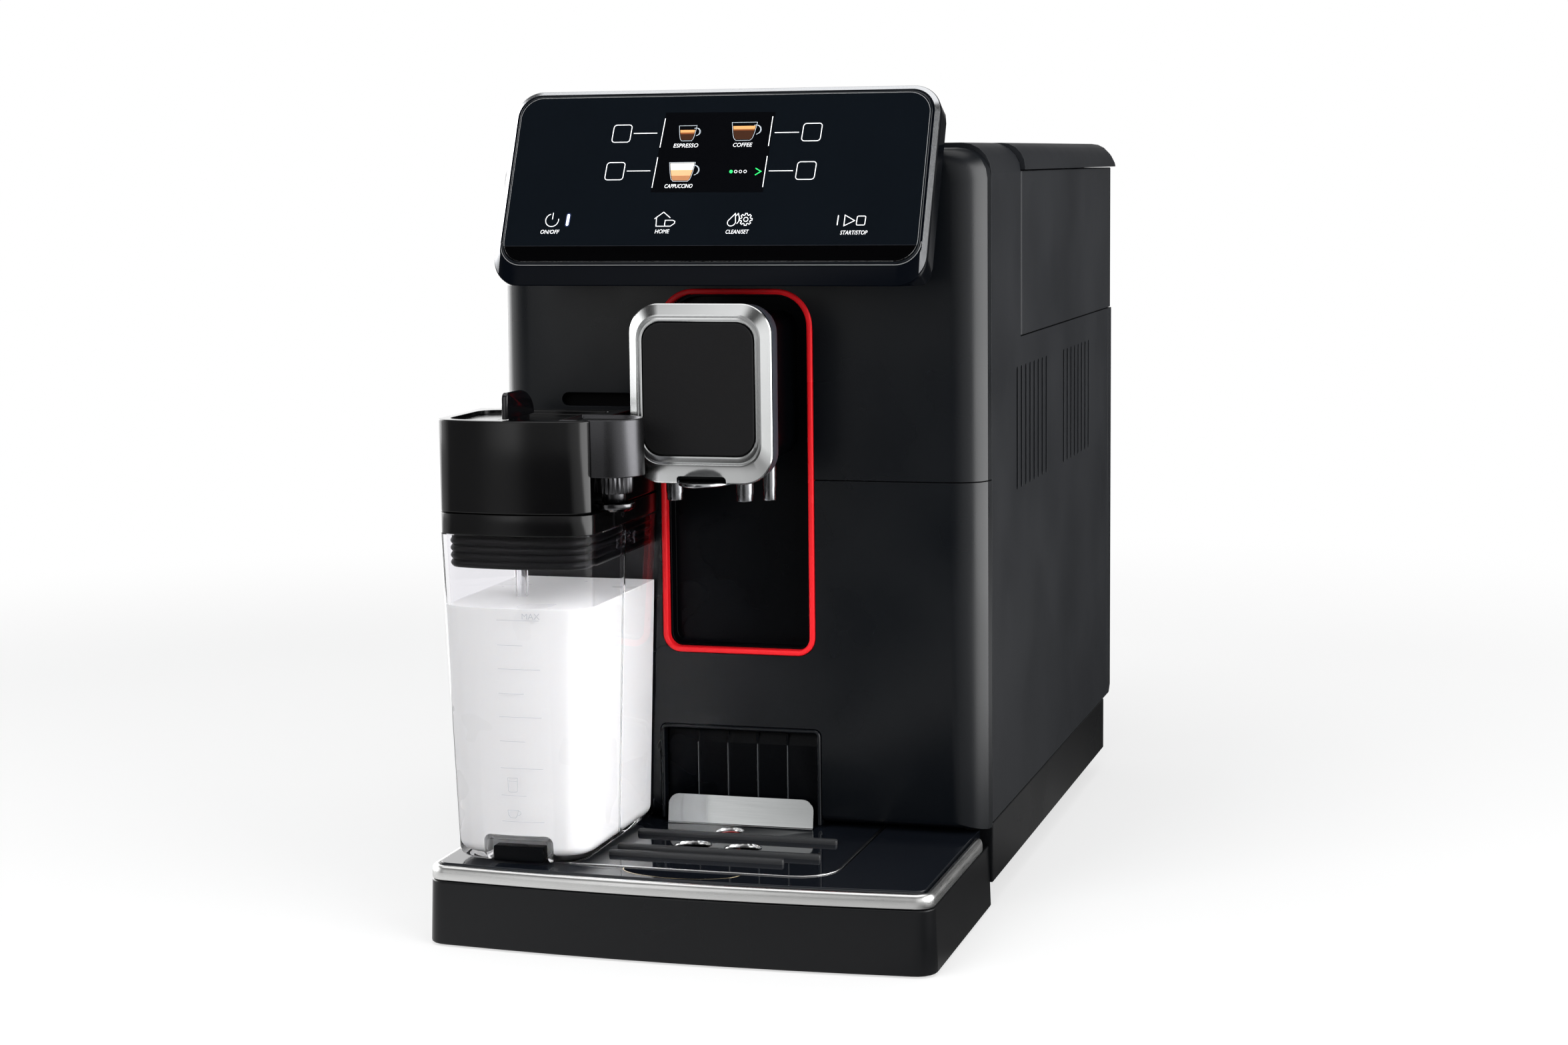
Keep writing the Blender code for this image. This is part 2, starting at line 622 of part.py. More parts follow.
def vent_tool():
    """One tool of rounded slots, all joined by a bar outside the wall."""
    outside = HALF_WIDTH + OVERRUN
    last = VENT_STARTS[-1] + VENT_PITCH * (VENT_COUNT - 1) + VENT_WIDTH
    bar = block("vent_bar", (HALF_WIDTH + GAP, VENT_STARTS[0], VENT_LOW),
                (outside, last, VENT_LOW + VENT_HEIGHT))
    for group, start in enumerate(VENT_STARTS):
        for k in range(VENT_COUNT):
            along = start + k * VENT_PITCH
            radius = VENT_WIDTH / 2
            points = outline(along - radius, along + radius, VENT_LOW, VENT_LOW + VENT_HEIGHT,
                             (radius,) * 4, 3)
            slot = prism(f"vent_{group}_{k}", points, "X", HALF_WIDTH - SHELL_WALL - GAP,
                         HALF_WIDTH + GAP + GAP)
            combine(bar, slot, "UNION")
    return bar


def main_housing():
    half = HALF_WIDTH
    front = COVER_REAR
    shell = prism("main_housing", u_profile(half, HOUSING_LOW, HOUSING_TOP, ARCH_RADIUS, SHELL_WALL),
                  "Y", front, SIDE_REAR, SATIN_BLACK)
    over = half + OVERRUN
    combine(shell, block("lid_cut", (-over, ARCH_REAR, LID_LOW - SEAM),
                         (over, SIDE_REAR + OVERRUN, HOUSING_TOP + OVERRUN)))
    combine(shell, block("tank_cut", (0, ARCH_REAR, TANK_LOW - SEAM),
                         (over, SIDE_REAR + OVERRUN, HOUSING_TOP + OVERRUN)))
    door = outline(DOOR_FRONT - SEAM, DOOR_FRONT + DOOR_DEPTH + SEAM, DOOR_LOW - SEAM,
                   DOOR_LOW + DOOR_HEIGHT + SEAM, (DOOR_RADIUS,) * 4)
    combine(shell, prism("door_cut", door, "X", -over, SHELL_WALL + GAP - half))
    combine(shell, vent_tool())
    left, right, chute_front, rear = chute_place()
    chute = outline(left - GAP, right + GAP, chute_front - GAP, rear + GAP, (CHUTE_RADIUS,) * 4)
    combine(shell, prism("chute_cut", chute, "Z", HOUSING_TOP - SHELL_WALL - OVERRUN,
                         HOUSING_TOP + OVERRUN))


def service_door():
    hinge = DOOR_FRONT + DOOR_DEPTH
    points = outline(DOOR_FRONT, hinge, DOOR_LOW, DOOR_LOW + DOOR_HEIGHT, (DOOR_RADIUS,) * 4)
    door = prism("service_door", points, "X", -HALF_WIDTH, SHELL_WALL - HALF_WIDTH, SATIN_BLACK)
    middle = DOOR_LOW + DOOR_HEIGHT / 2
    grip = outline(DOOR_FRONT - OVERRUN, DOOR_FRONT + DOOR_GRIP_DEPTH, middle - DOOR_GRIP_HEIGHT / 2,
                   middle + DOOR_GRIP_HEIGHT / 2, (0, DOOR_RADIUS, DOOR_RADIUS, 0))
    combine(door, prism("door_grip_cut", grip, "X", -HALF_WIDTH - OVERRUN, DOOR_GRIP_CUT - HALF_WIDTH))
    carry("service_door_axis", (-HALF_WIDTH, hinge, middle), [door])


def trim_outline(grow, steps=CORNER_STEPS):
    """Outline of the red trim, grown or shrunk by a distance."""
    half = TRIM_WIDTH / 2 + grow
    low = TRIM_LOW - grow
    high = TRIM_TOP + grow
    low_radius = TRIM_LOW_RADIUS + grow
    top_radius = TRIM_TOP_RADIUS + grow
    return outline(-half, half, low, high, (low_radius, low_radius, top_radius, top_radius), steps)


def front_cover(name, low, top, radius, rounds):
    """Shell cover with rounded sides, open behind, cut round the trim and its channel."""
    rear = COVER_REAR - SEAM
    cover = solid(name, pillow(HALF_WIDTH, low, top, radius, rear, FRONT, rounds), GLOSS_BLACK)
    wall = SHELL_WALL
    inner_rounds = (rounds[0] - wall,) + rounds[1:]
    pocket = solid(name + "_pocket", pillow(HALF_WIDTH - wall, low + wall, top - wall,
                                            max(radius - wall, 0), rear + OVERRUN, SKIN_BACK,
                                            inner_rounds))
    combine(cover, pocket)
    combine(cover, prism(name + "_trim_cut", trim_outline(GAP), "Y", FRONT - OVERRUN, rear + OVERRUN))
    combine(cover, prism(name + "_channel_cut", trim_outline(CHANNEL_BORDER - TRIM_STRIP + GAP), "Y",
                         SKIN_BACK, rear + OVERRUN))
    return cover


def front_covers():
    upper = front_cover("front_cover_upper", COVER_SPLIT + SEAM / 2, HOUSING_TOP - COVER_TOP_DROP,
                        ARCH_RADIUS, (COVER_EDGE_ROUND, COVER_TOP_ROUND, 0))
    radius = DOCK_SLOT_HEIGHT / 2
    slot = outline(DOCK_SLOT_START, DOCK_SLOT_END, DOCK_SLOT_LOW, DOCK_SLOT_LOW + DOCK_SLOT_HEIGHT,
                   (radius,) * 4)
    combine(upper, prism("dock_slot_cut", slot, "Y", FRONT - OVERRUN, SKIN_BACK + GAP))
    lower = front_cover("front_cover_lower", COVER_LOW, COVER_SPLIT - SEAM / 2, 0,
                        (COVER_EDGE_ROUND, 0, COVER_FOOT_ROUND))
    half = RECESS_WIDTH / 2
    recess = outline(-half, half, COVER_LOW - OVERRUN, RECESS_TOP, (0, 0, RECESS_RADIUS, RECESS_RADIUS))
    combine(lower, prism("recess_cut", recess, "Y", FRONT - OVERRUN, COVER_REAR + OVERRUN))
    border = DOCK_PORT_BORDER
    back = outline(DOCK_SLOT_START - border, DOCK_SLOT_END, DOCK_SLOT_LOW - border,
                   DOCK_SLOT_LOW + DOCK_SLOT_HEIGHT + border, (border,) * 4)
    prism("docking_port", back, "Y", SKIN_BACK + GAP, SKIN_BACK + GAP + DOCK_PORT_DEPTH, MATT_BLACK)


def container_surround():
    """Raised frame round the container's opening, open at its foot."""
    outer_half = RECESS_WIDTH / 2 - GAP
    inner_half = outer_half - SURROUND_STRIP
    outer = outline(-outer_half, outer_half, COVER_LOW, RECESS_TOP - GAP,
                    (0, 0, RECESS_RADIUS, RECESS_RADIUS))
    inner = outline(-inner_half, inner_half, COVER_LOW, RECESS_TOP - GAP - SURROUND_STRIP,
                    (0, 0, RECESS_RADIUS - SURROUND_STRIP, RECESS_RADIUS - SURROUND_STRIP))
    loop = outer[1:] + outer[:1] + inner[:1] + list(reversed(inner[1:]))
    frame = prism("container_surround", loop, "Y", FRONT - SURROUND_PROUD, FRONT + SURROUND_DEPTH,
                  GLOSS_BLACK)
    soften(frame, SURROUND_PROUD / 2, 1)


def trim_and_channel():
    proud = FRONT - TRIM_PROUD
    edge = TRIM_EDGE
    sections = [(0, SKIN_BACK), (0, proud + edge), (-edge, proud), (edge - TRIM_STRIP, proud),
                (-TRIM_STRIP, proud + edge), (-TRIM_STRIP, SKIN_BACK)]
    solid("red_trim", [lay(trim_outline(grow), "Y", level) for grow, level in sections], RED,
          cyclic=True)
    outer = CHANNEL_BORDER - TRIM_STRIP
    back = CHANNEL_FRONT + CHANNEL_DEPTH + CHANNEL_FLOOR
    sections = [(outer, back), (outer, CHANNEL_FRONT), (-TRIM_STRIP - GAP, CHANNEL_FRONT),
                (-TRIM_STRIP - GAP, CHANNEL_FRONT + CHANNEL_DEPTH)]
    solid("slide_channel", [lay(trim_outline(grow), "Y", level) for grow, level in sections],
          MATT_BLACK)


def rear_panel():
    half = HALF_WIDTH
    front = SIDE_REAR + SEAM
    tank_top = TANK_LOW - SEAM
    side_top = LID_LOW - SEAM
    left_end = TANK_INNER_EDGE - SEAM
    points = [(-half, HOUSING_LOW), (half, HOUSING_LOW), (half, tank_top), (left_end, tank_top),
              (left_end, side_top), (-half, side_top)]
    panel = prism("rear_panel", points, "Y", front, REAR, SATIN_BLACK)
    wall = SHELL_WALL
    pocket = [(wall - half, HOUSING_LOW + wall), (half - wall, HOUSING_LOW + wall),
              (half - wall, tank_top - wall), (left_end - wall, tank_top - wall),
              (left_end - wall, side_top - wall), (wall - half, side_top - wall)]
    combine(panel, prism("rear_pocket", pocket, "Y", front - OVERRUN, REAR - wall))
    chamfer = [(REAR - REAR_CHAMFER, HOUSING_LOW - OVERRUN), (REAR + OVERRUN, HOUSING_LOW - OVERRUN),
               (REAR + OVERRUN, HOUSING_LOW + REAR_CHAMFER + OVERRUN), (REAR, HOUSING_LOW + REAR_CHAMFER),
               (REAR - REAR_CHAMFER, HOUSING_LOW)]
    combine(panel, prism("rear_chamfer_cut", chamfer, "X", -half - OVERRUN, half + OVERRUN))
    for name, x, width, height in (("inlet_cut", INLET_CENTRE_X, INLET_WIDTH, INLET_HEIGHT),
                                   ("switch_cut", SWITCH_CENTRE_X, SWITCH_WIDTH + 2 * SWITCH_WELL_WALL,
                                    SWITCH_HEIGHT + 2 * SWITCH_WELL_WALL)):
        hole = outline(x - width / 2 - GAP, x + width / 2 + GAP, INLET_CENTRE_Z - height / 2 - GAP,
                       INLET_CENTRE_Z + height / 2 + GAP)
        combine(panel, prism(name, hole, "Y", REAR - wall - OVERRUN, REAR + OVERRUN))
    for k in range(REAR_VENT_COUNT):
        low = HOUSING_LOW + REAR_VENT_RISE + k * REAR_VENT_PITCH
        radius = VENT_WIDTH / 2
        left = REAR_VENT_FROM_SIDE - HALF_WIDTH
        slot = outline(left, left + REAR_VENT_LENGTH, low, low + VENT_WIDTH, (radius,) * 4, 3)
        combine(panel, prism(f"rear_vent_{k}", slot, "Y", REAR - wall - OVERRUN, REAR + OVERRUN))


def power_inlet():
    """Appliance inlet with its three pins standing in the socket."""
    half = INLET_WIDTH / 2
    low = INLET_CENTRE_Z - INLET_HEIGHT / 2
    high = INLET_CENTRE_Z + INLET_HEIGHT / 2
    front = REAR - INLET_DEPTH
    body = prism("power_inlet", outline(INLET_CENTRE_X - half, INLET_CENTRE_X + half, low, high), "Y",
                 front, REAR, MATT_BLACK)
    wall = INLET_WALL
    corner = INLET_HEIGHT / 4
    mouth = outline(INLET_CENTRE_X - half + wall, INLET_CENTRE_X + half - wall, low + wall, high - wall,
                    (GAP, GAP, corner, corner), 1)
    socket = prism("inlet_socket", mouth, "Y", REAR - INLET_SOCKET_DEPTH, REAR + OVERRUN)
    for k, (across, rise) in enumerate(((-PIN_SPREAD, -PIN_RISE), (0, PIN_RISE), (PIN_SPREAD, -PIN_RISE))):
        x = INLET_CENTRE_X + across
        z = INLET_CENTRE_Z + rise
        root = REAR - INLET_SOCKET_DEPTH
        pin = block(f"inlet_pin_{k}", (x - PIN_WIDTH / 2, root - GAP, z - PIN_HEIGHT / 2),
                    (x + PIN_WIDTH / 2, root + PIN_LENGTH, z + PIN_HEIGHT / 2))
        combine(socket, pin)
    combine(body, socket)


def power_switch():
    """Rocker on a cross axis in its own well."""
    x = SWITCH_CENTRE_X
    half = SWITCH_WIDTH / 2
    tall = SWITCH_HEIGHT / 2
    z = INLET_CENTRE_Z
    wall = SWITCH_WELL_WALL
    back = REAR - SWITCH_DEPTH - wall
    well = prism("switch_well", outline(x - half - wall, x + half + wall, z - tall - wall, z + tall + wall),
                 "Y", back, REAR, MATT_BLACK)
    combine(well, block("switch_well_cut", (x - half - GAP, REAR - SWITCH_DEPTH, z - tall - GAP),
                        (x + half + GAP, REAR + OVERRUN, z + tall + GAP)))
    axis_y = REAR - SWITCH_DEPTH / 2
    points = [(axis_y - SWITCH_CROWN, z - tall / 2), (REAR - SWITCH_CROWN, z - tall + SWITCH_CROWN),
              (REAR - GAP, z), (REAR - SWITCH_CROWN, z + tall - SWITCH_CROWN),
              (axis_y - SWITCH_CROWN, z + tall / 2)]
    rocker = prism("power_switch", points, "X", x - half, x + half, GLOSS_BLACK)
    carry("power_switch_axis", (x, axis_y, z), [rocker])


def lid_rings(left, right, side):
    """Rings of a top lid: one rounded side edge and a rounded rear edge."""
    rings = []
    front = ARCH_REAR + SEAM
    full = REAR - LID_REAR_RADIUS
    places = [(front, 0)]
    for k in range(LID_STEPS + 1):
        turn = math.radians(90 * k / LID_STEPS)
        places.append((full + LID_REAR_RADIUS * math.sin(turn), LID_REAR_RADIUS * (1 - math.cos(turn))))
    for along, fall in places:
        top = HOUSING_TOP - fall
        radius = min(LID_SIDE_RADIUS, top - LID_LOW - SEAM)
        radii = (0, 0, radius, 0) if side > 0 else (0, 0, 0, radius)
        rings.append(lay(outline(left, right, LID_LOW, top, radii), "Y", along))
    return rings


def water_tank():
    left = TANK_INNER_EDGE
    front = ARCH_REAR + SEAM
    radii = (TANK_RADIUS,) * 4
    outer = outline(left, HALF_WIDTH, front, REAR, radii)
    wall = TANK_WALL
    inner = outline(left + wall, HALF_WIDTH - wall, front + wall, REAR - wall, (TANK_RADIUS - wall,) * 4)
    top = LID_LOW - SEAM
    tank = solid("water_tank", [lay(outer, "Z", TANK_LOW), lay(outer, "Z", top), lay(inner, "Z", top),
                                lay(inner, "Z", TANK_LOW + wall)], SATIN_BLACK)
    carry("water_tank_carrier", (left, front, TANK_LOW), [tank])
    right = HALF_WIDTH + LID_OVERHANG
    lid = solid("tank_lid", lid_rings(left, right, 1), SATIN_BLACK)
    hollow = outline(left + LID_WALL, HALF_WIDTH - TANK_WALL, front + LID_WALL, REAR - LID_REAR_RADIUS)
    combine(lid, prism("tank_lid_hollow", hollow, "Z", LID_LOW - OVERRUN, HOUSING_TOP - LID_WALL))
    carry("tank_lid_axis", (left, (front + REAR) / 2, HOUSING_TOP), [lid])


def hopper_place():
    """Edges of the hole that the bean hopper hangs in."""
    left = HOPPER_LID_LEFT + HOPPER_LEDGE
    right = HOPPER_LID_RIGHT - HOPPER_LEDGE
    return left, right, HOPPER_LID_FRONT + HOPPER_LEDGE, HOPPER_LID_REAR - HOPPER_LEDGE - KNOB_ROOM


def knob_place():
    """Middle of the grind knob, between the hopper and the lid's rear edge."""
    left, right, _, rear = hopper_place()
    return (left + right) / 2, rear + KNOB_ROOM / 2


def top_cover():
    right = TANK_INNER_EDGE - SEAM
    cover = solid("top_cover", lid_rings(-HALF_WIDTH - LID_OVERHANG, right, -1), SATIN_BLACK)
    seat = HOUSING_TOP - HOPPER_LID_THICKNESS - GAP
    lid = outline(HOPPER_LID_LEFT - SEAM, HOPPER_LID_RIGHT + SEAM, HOPPER_LID_FRONT - SEAM,
                  HOPPER_LID_REAR + SEAM, (HOPPER_LID_RADIUS,) * 4)
    combine(cover, prism("hopper_lid_seat", lid, "Z", seat, HOUSING_TOP + OVERRUN))
    left, right, front, rear = hopper_place()
    hole = outline(left - GAP, right + GAP, front - GAP, rear + GAP, (HOPPER_LID_RADIUS,) * 4)
    combine(cover, prism("hopper_hole", hole, "Z", LID_LOW - OVERRUN, HOUSING_TOP))
    profile = [(KNOB_WELL_RADIUS, seat - KNOB_HEIGHT - GAP), (KNOB_WELL_RADIUS, HOUSING_TOP)]
    knob = turned("knob_well", profile, "Z", knob_place())
    combine(cover, knob)
    tank_bay(cover)


def tank_bay(cover):
    """Floor, side wall and bulkhead that carry the water tank, moulded onto the top cover."""
    right = HALF_WIDTH - SHELL_WALL - GAP
    side = TANK_INNER_EDGE - SEAM
    wall = SHELL_WALL
    front = ARCH_REAR
    floor = TANK_LOW - GAP
    rear = SIDE_REAR - GAP
    profile = [(side - wall, floor - wall), (right, floor - wall), (right, floor), (side, floor),
               (side, LID_LOW + wall), (side - wall, LID_LOW + wall)]
    combine(cover, prism("tank_bay_floor", profile, "Y", front, rear), "UNION")
    head = outline(side - wall, right, floor - wall, HOUSING_TOP - wall - GAP,
                   (0, 0, ARCH_RADIUS - wall, 0))
    combine(cover, prism("tank_bay_head", head, "Y", front - wall, front + GAP), "UNION")


def hopper_lid():
    points = outline(HOPPER_LID_LEFT, HOPPER_LID_RIGHT, HOPPER_LID_FRONT, HOPPER_LID_REAR,
                     (HOPPER_LID_RADIUS,) * 4)
    lid = prism("hopper_lid", points, "Z", HOUSING_TOP - HOPPER_LID_THICKNESS, HOUSING_TOP, SMOKE)
    middle = (HOPPER_LID_LEFT + HOPPER_LID_RIGHT) / 2
    carry("hopper_lid_axis", (middle, HOPPER_LID_REAR, HOUSING_TOP), [lid])


def bean_hopper():
    left, right, front, rear = hopper_place()
    top = HOPPER_TOP
    waist = HOPPER_WAIST
    wall = HOPPER_WALL
    middle = ((left + right) / 2, (front + rear) / 2)
    reach = HOPPER_THROAT / 2
    radii = (HOPPER_LID_RADIUS,) * 4
    throat = outline(middle[0] - reach, middle[0] + reach, middle[1] - reach, middle[1] + reach,
                     (reach - wall,) * 4)
    outer = outline(left, right, front, rear, radii)
    inner = outline(left + wall, right - wall, front + wall, rear - wall, (HOPPER_LID_RADIUS - wall,) * 4)
    reach -= wall
    bore = outline(middle[0] - reach, middle[0] + reach, middle[1] - reach, middle[1] + reach,
                   (reach - wall,) * 4)
    solid("bean_hopper", [lay(throat, "Z", HOPPER_FOOT), lay(outer, "Z", waist), lay(outer, "Z", top),
                          lay(inner, "Z", top), lay(inner, "Z", waist + wall),
                          lay(bore, "Z", HOPPER_FOOT + wall)], SMOKE)
    profile = [(GRINDER_RADIUS, GRINDER_LOW), (GRINDER_RADIUS, GRINDER_TOP - GRINDER_NECK),
               (GRINDER_NECK_RADIUS, GRINDER_TOP - GRINDER_NECK), (GRINDER_NECK_RADIUS, GRINDER_TOP)]
    turned("grinder", profile, "Z", middle, INNER_GREY)


def grind_knob():
    """Low fluted knob with a pointer rib."""
    centre = knob_place()
    low = HOUSING_TOP - HOPPER_LID_THICKNESS - GAP - KNOB_HEIGHT
    points = []
    for k in range(2 * KNOB_GRIPS):
        radius = KNOB_RADIUS - KNOB_GRIP_CUT * (k % 2)
        turn = math.pi * k / KNOB_GRIPS
        points.append((centre[0] + radius * math.cos(turn), centre[1] + radius * math.sin(turn)))
    knob = prism("grind_knob", points, "Z", low, low + KNOB_HEIGHT - GAP, GLOSS_BLACK)
    carry("grind_knob_axis", (centre[0], centre[1], low), [knob])


def chute_place():
    """Edges of the lid of the chute for ground coffee."""
    left = CHUTE_SIDE_INSET - HALF_WIDTH
    front = FRONT + CHUTE_SETBACK
    return left, left + CHUTE_WIDTH, front, front + CHUTE_DEPTH


def pre_ground_chute():
    left, right, front, rear = chute_place()
    lid = prism("chute_lid", outline(left, right, front, rear, (CHUTE_RADIUS,) * 4), "Z",
                HOUSING_TOP - SHELL_WALL + GAP, HOUSING_TOP, SATIN_BLACK)
    carry("chute_lid_axis", ((left + right) / 2, rear, HOUSING_TOP), [lid])
    top = HOUSING_TOP - SHELL_WALL - GAP
    low = top - CHUTE_DROP
    out = CHUTE_LEDGE
    step = CHUTE_LEDGE - CHUTE_WALL
    taper = CHUTE_TAPER

    def section(grow):
        return outline(left - grow, right + grow, front - grow, rear + grow, (CHUTE_RADIUS,) * 4)

    rings = [lay(section(-taper), "Z", low), lay(section(-step), "Z", top - out),
             lay(section(out), "Z", top - out), lay(section(out), "Z", top), lay(section(-out), "Z", top),
             lay(section(-out - taper), "Z", low + CHUTE_WALL)]
    solid("chute_funnel", rings, INNER_GREY)


def brew_group():
    """Removable brewing unit: base, pressing cylinder, head and back spine."""
    left = BREW_SIDE_INSET - HALF_WIDTH
    right = left + BREW_WIDTH
    front = DOOR_FRONT + BREW_DOOR_INSET
    rear = DOOR_FRONT + DOOR_DEPTH - BREW_DOOR_REAR_INSET
    floor = MACHINE_FLOOR
    base_top = floor + BREW_BASE_HEIGHT
    head_top = GRINDER_LOW - BREW_BELOW_GRINDER
    head_low = head_top - BREW_HEAD_HEIGHT
    group = block("brew_group", (left, front, floor), (right, rear, base_top), INNER_GREY)
    centre = ((left + right) / 2, front + BREW_CYLINDER_SETBACK)
    barrel = turned("brew_barrel", [(BREW_CYLINDER_RADIUS, base_top - OVERRUN),
                                    (BREW_CYLINDER_RADIUS, head_low + OVERRUN)], "Z", centre)
    combine(group, barrel, "UNION")
    head = block("brew_head", (left + GAP, front + OVERRUN, head_low), (right - GAP, rear - GAP, head_top))
    combine(group, head, "UNION")
    spine = block("brew_spine", (left + SEAM, rear - BREW_SPINE, base_top - OVERRUN),
                  (right - SEAM, rear - SEAM, head_low + OVERRUN))
    combine(group, spine, "UNION")


def lying_drum(name, radius, length, front, dome, finish):
    """Cylinder along Y under the tank, on a flat saddle that stands on the inner frame."""
    x = TANK_MIDDLE
    z = MACHINE_FLOOR + radius + GAP
    profile = [(radius - dome, front), (radius, front + dome), (radius, front + length - dome),
               (radius - dome, front + length)]
    drum = turned(name, profile, "Y", (x, z), finish)
    half = radius * SADDLE_WIDTH_SHARE
    saddle = block(name + "_saddle", (x - half, front + dome + OVERRUN, MACHINE_FLOOR),
                   (x + half, front + length - dome - OVERRUN, z))
    combine(drum, saddle, "UNION")


def machinery():
    brew_group()
    boiler_front = REAR - BOILER_REAR_INSET - BOILER_LENGTH
    lying_drum("boiler", BOILER_RADIUS, BOILER_LENGTH, boiler_front, BOILER_DOME, STEEL)
    lying_drum("water_pump", PUMP_RADIUS, PUMP_LENGTH, FRONT + PUMP_SETBACK, GAP, INNER_GREY)


def panel_point(u, v, w):
    """A point on the leaning panel: across, up the slope, and out of its face."""
    return (u, FRONT - PANEL_REACH + v * math.sin(PANEL_TILT) - w * math.cos(PANEL_TILT),
            PANEL_FOOT + v * math.cos(PANEL_TILT) + w * math.sin(PANEL_TILT))


def panel_ring(side, low, high, w, radius):
    """Panel outline drawn in by a side, a low and a high distance."""
    half = PANEL_WIDTH / 2 - side
    points = outline(-half, half, low, PANEL_LENGTH - high, (radius,) * 4)
    return [panel_point(u, v, w) for u, v in points]


def control_panel():
    chamfer = PANEL_SIDE_CHAMFER
    depth = PANEL_CHAMFER_DEPTH
    radius = PANEL_RADIUS
    back = -PANEL_THICKNESS
    bite = PANEL_BACK_ROUND
    inner_radius = radius - chamfer
    slab = [panel_ring(bite, bite, bite, back, radius - bite), panel_ring(0, 0, 0, back + bite, radius),
            panel_ring(0, 0, 0, -depth, radius),
            panel_ring(chamfer, PANEL_CHIN, chamfer, 0, inner_radius)]
    housing = solid("panel_housing", slab, GLOSS_BLACK)
    seat = -PANEL_GLASS - GAP
    grow = chamfer - GAP
    pocket = [panel_ring(grow, PANEL_CHIN - GAP, grow, w, inner_radius) for w in (seat, OVERRUN)]
    combine(housing, solid("glass_pocket", pocket))
    over = PANEL_WIDTH / 2 + OVERRUN
    bezel_seat = -depth - GAP
    upper = [[panel_point(u, v, w) for u, v in outline(-over, over, PANEL_MITRE, PANEL_LENGTH + OVERRUN)]
             for w in (bezel_seat, OVERRUN)]
    combine(housing, solid("bezel_seat", upper))
    half = SCREEN_WIDTH / 2
    screen_top = seat - GAP
    screen_back = screen_top - SCREEN_THICKNESS

    def screen_rings(grow, low, high):
        points = outline(SCREEN_CENTRE_X - half - grow, SCREEN_CENTRE_X + half + grow, SCREEN_LOW - grow,
                         SCREEN_LOW + SCREEN_LENGTH + grow)
        return [[panel_point(u, v, w) for u, v in points] for w in (low, high)]

    combine(housing, solid("screen_pocket", screen_rings(GAP, screen_back - GAP, OVERRUN)))
    solid("display_screen", screen_rings(0, screen_back, screen_top), SCREEN_DARK)
    neck(housing)
    lip = chamfer + GAP
    bezel = solid("panel_bezel", [panel_ring(0, 0, 0, -depth, radius),
                                  panel_ring(chamfer - GAP, PANEL_CHIN, chamfer - GAP, 0, inner_radius),
                                  panel_ring(chamfer, PANEL_CHIN + GAP, chamfer, 0, inner_radius),
                                  panel_ring(chamfer, PANEL_CHIN + GAP, chamfer, -depth, inner_radius)],
                  SILVER, cyclic=True)
    cut = [[panel_point(u, v, w) for u, v in outline(-over, over, -OVERRUN, PANEL_MITRE + SEAM)]
           for w in (-depth - OVERRUN, OVERRUN)]
    combine(bezel, solid("bezel_end_cut", cut))
    proud = PANEL_GLASS_PROUD
    edge = PANEL_GLASS_EDGE
    low = PANEL_CHIN + GAP + GAP
    radius = inner_radius - GAP
    glass = [panel_ring(lip, low, lip, -PANEL_GLASS, radius), panel_ring(lip, low, lip, proud - edge, radius),
             panel_ring(lip + edge, low + edge, lip + edge, proud, radius - edge)]
    solid("panel_glass", glass, GLASS_BLACK)


def neck(housing):
    """Wedge between the panel's back and the upper front cover, and over the arch."""
    _, low_y, low_z = panel_point(0, NECK_LOW_V, -PANEL_THICKNESS + PANEL_BACK_ROUND)
    _, high_y, high_z = panel_point(0, PANEL_LENGTH - NECK_HIGH_INSET, -PANEL_THICKNESS + PANEL_BACK_ROUND)
    top = HOUSING_TOP + GAP
    points = [(low_y, low_z), (FRONT - GAP, low_z), (FRONT - GAP, top), (FRONT + NECK_REAR_REACH, top),
              (high_y, high_z)]
    half = PANEL_WIDTH / 2 - NECK_SIDE_INSET
    combine(housing, prism("panel_neck", points, "X", -half, half), "UNION")


def spout_outline(side, low, high, radius):
    half = SPOUT_WIDTH / 2 - side
    return outline(-half, half, SPOUT_LOW + low, SPOUT_LOW + SPOUT_HEIGHT - high, (radius,) * 4)


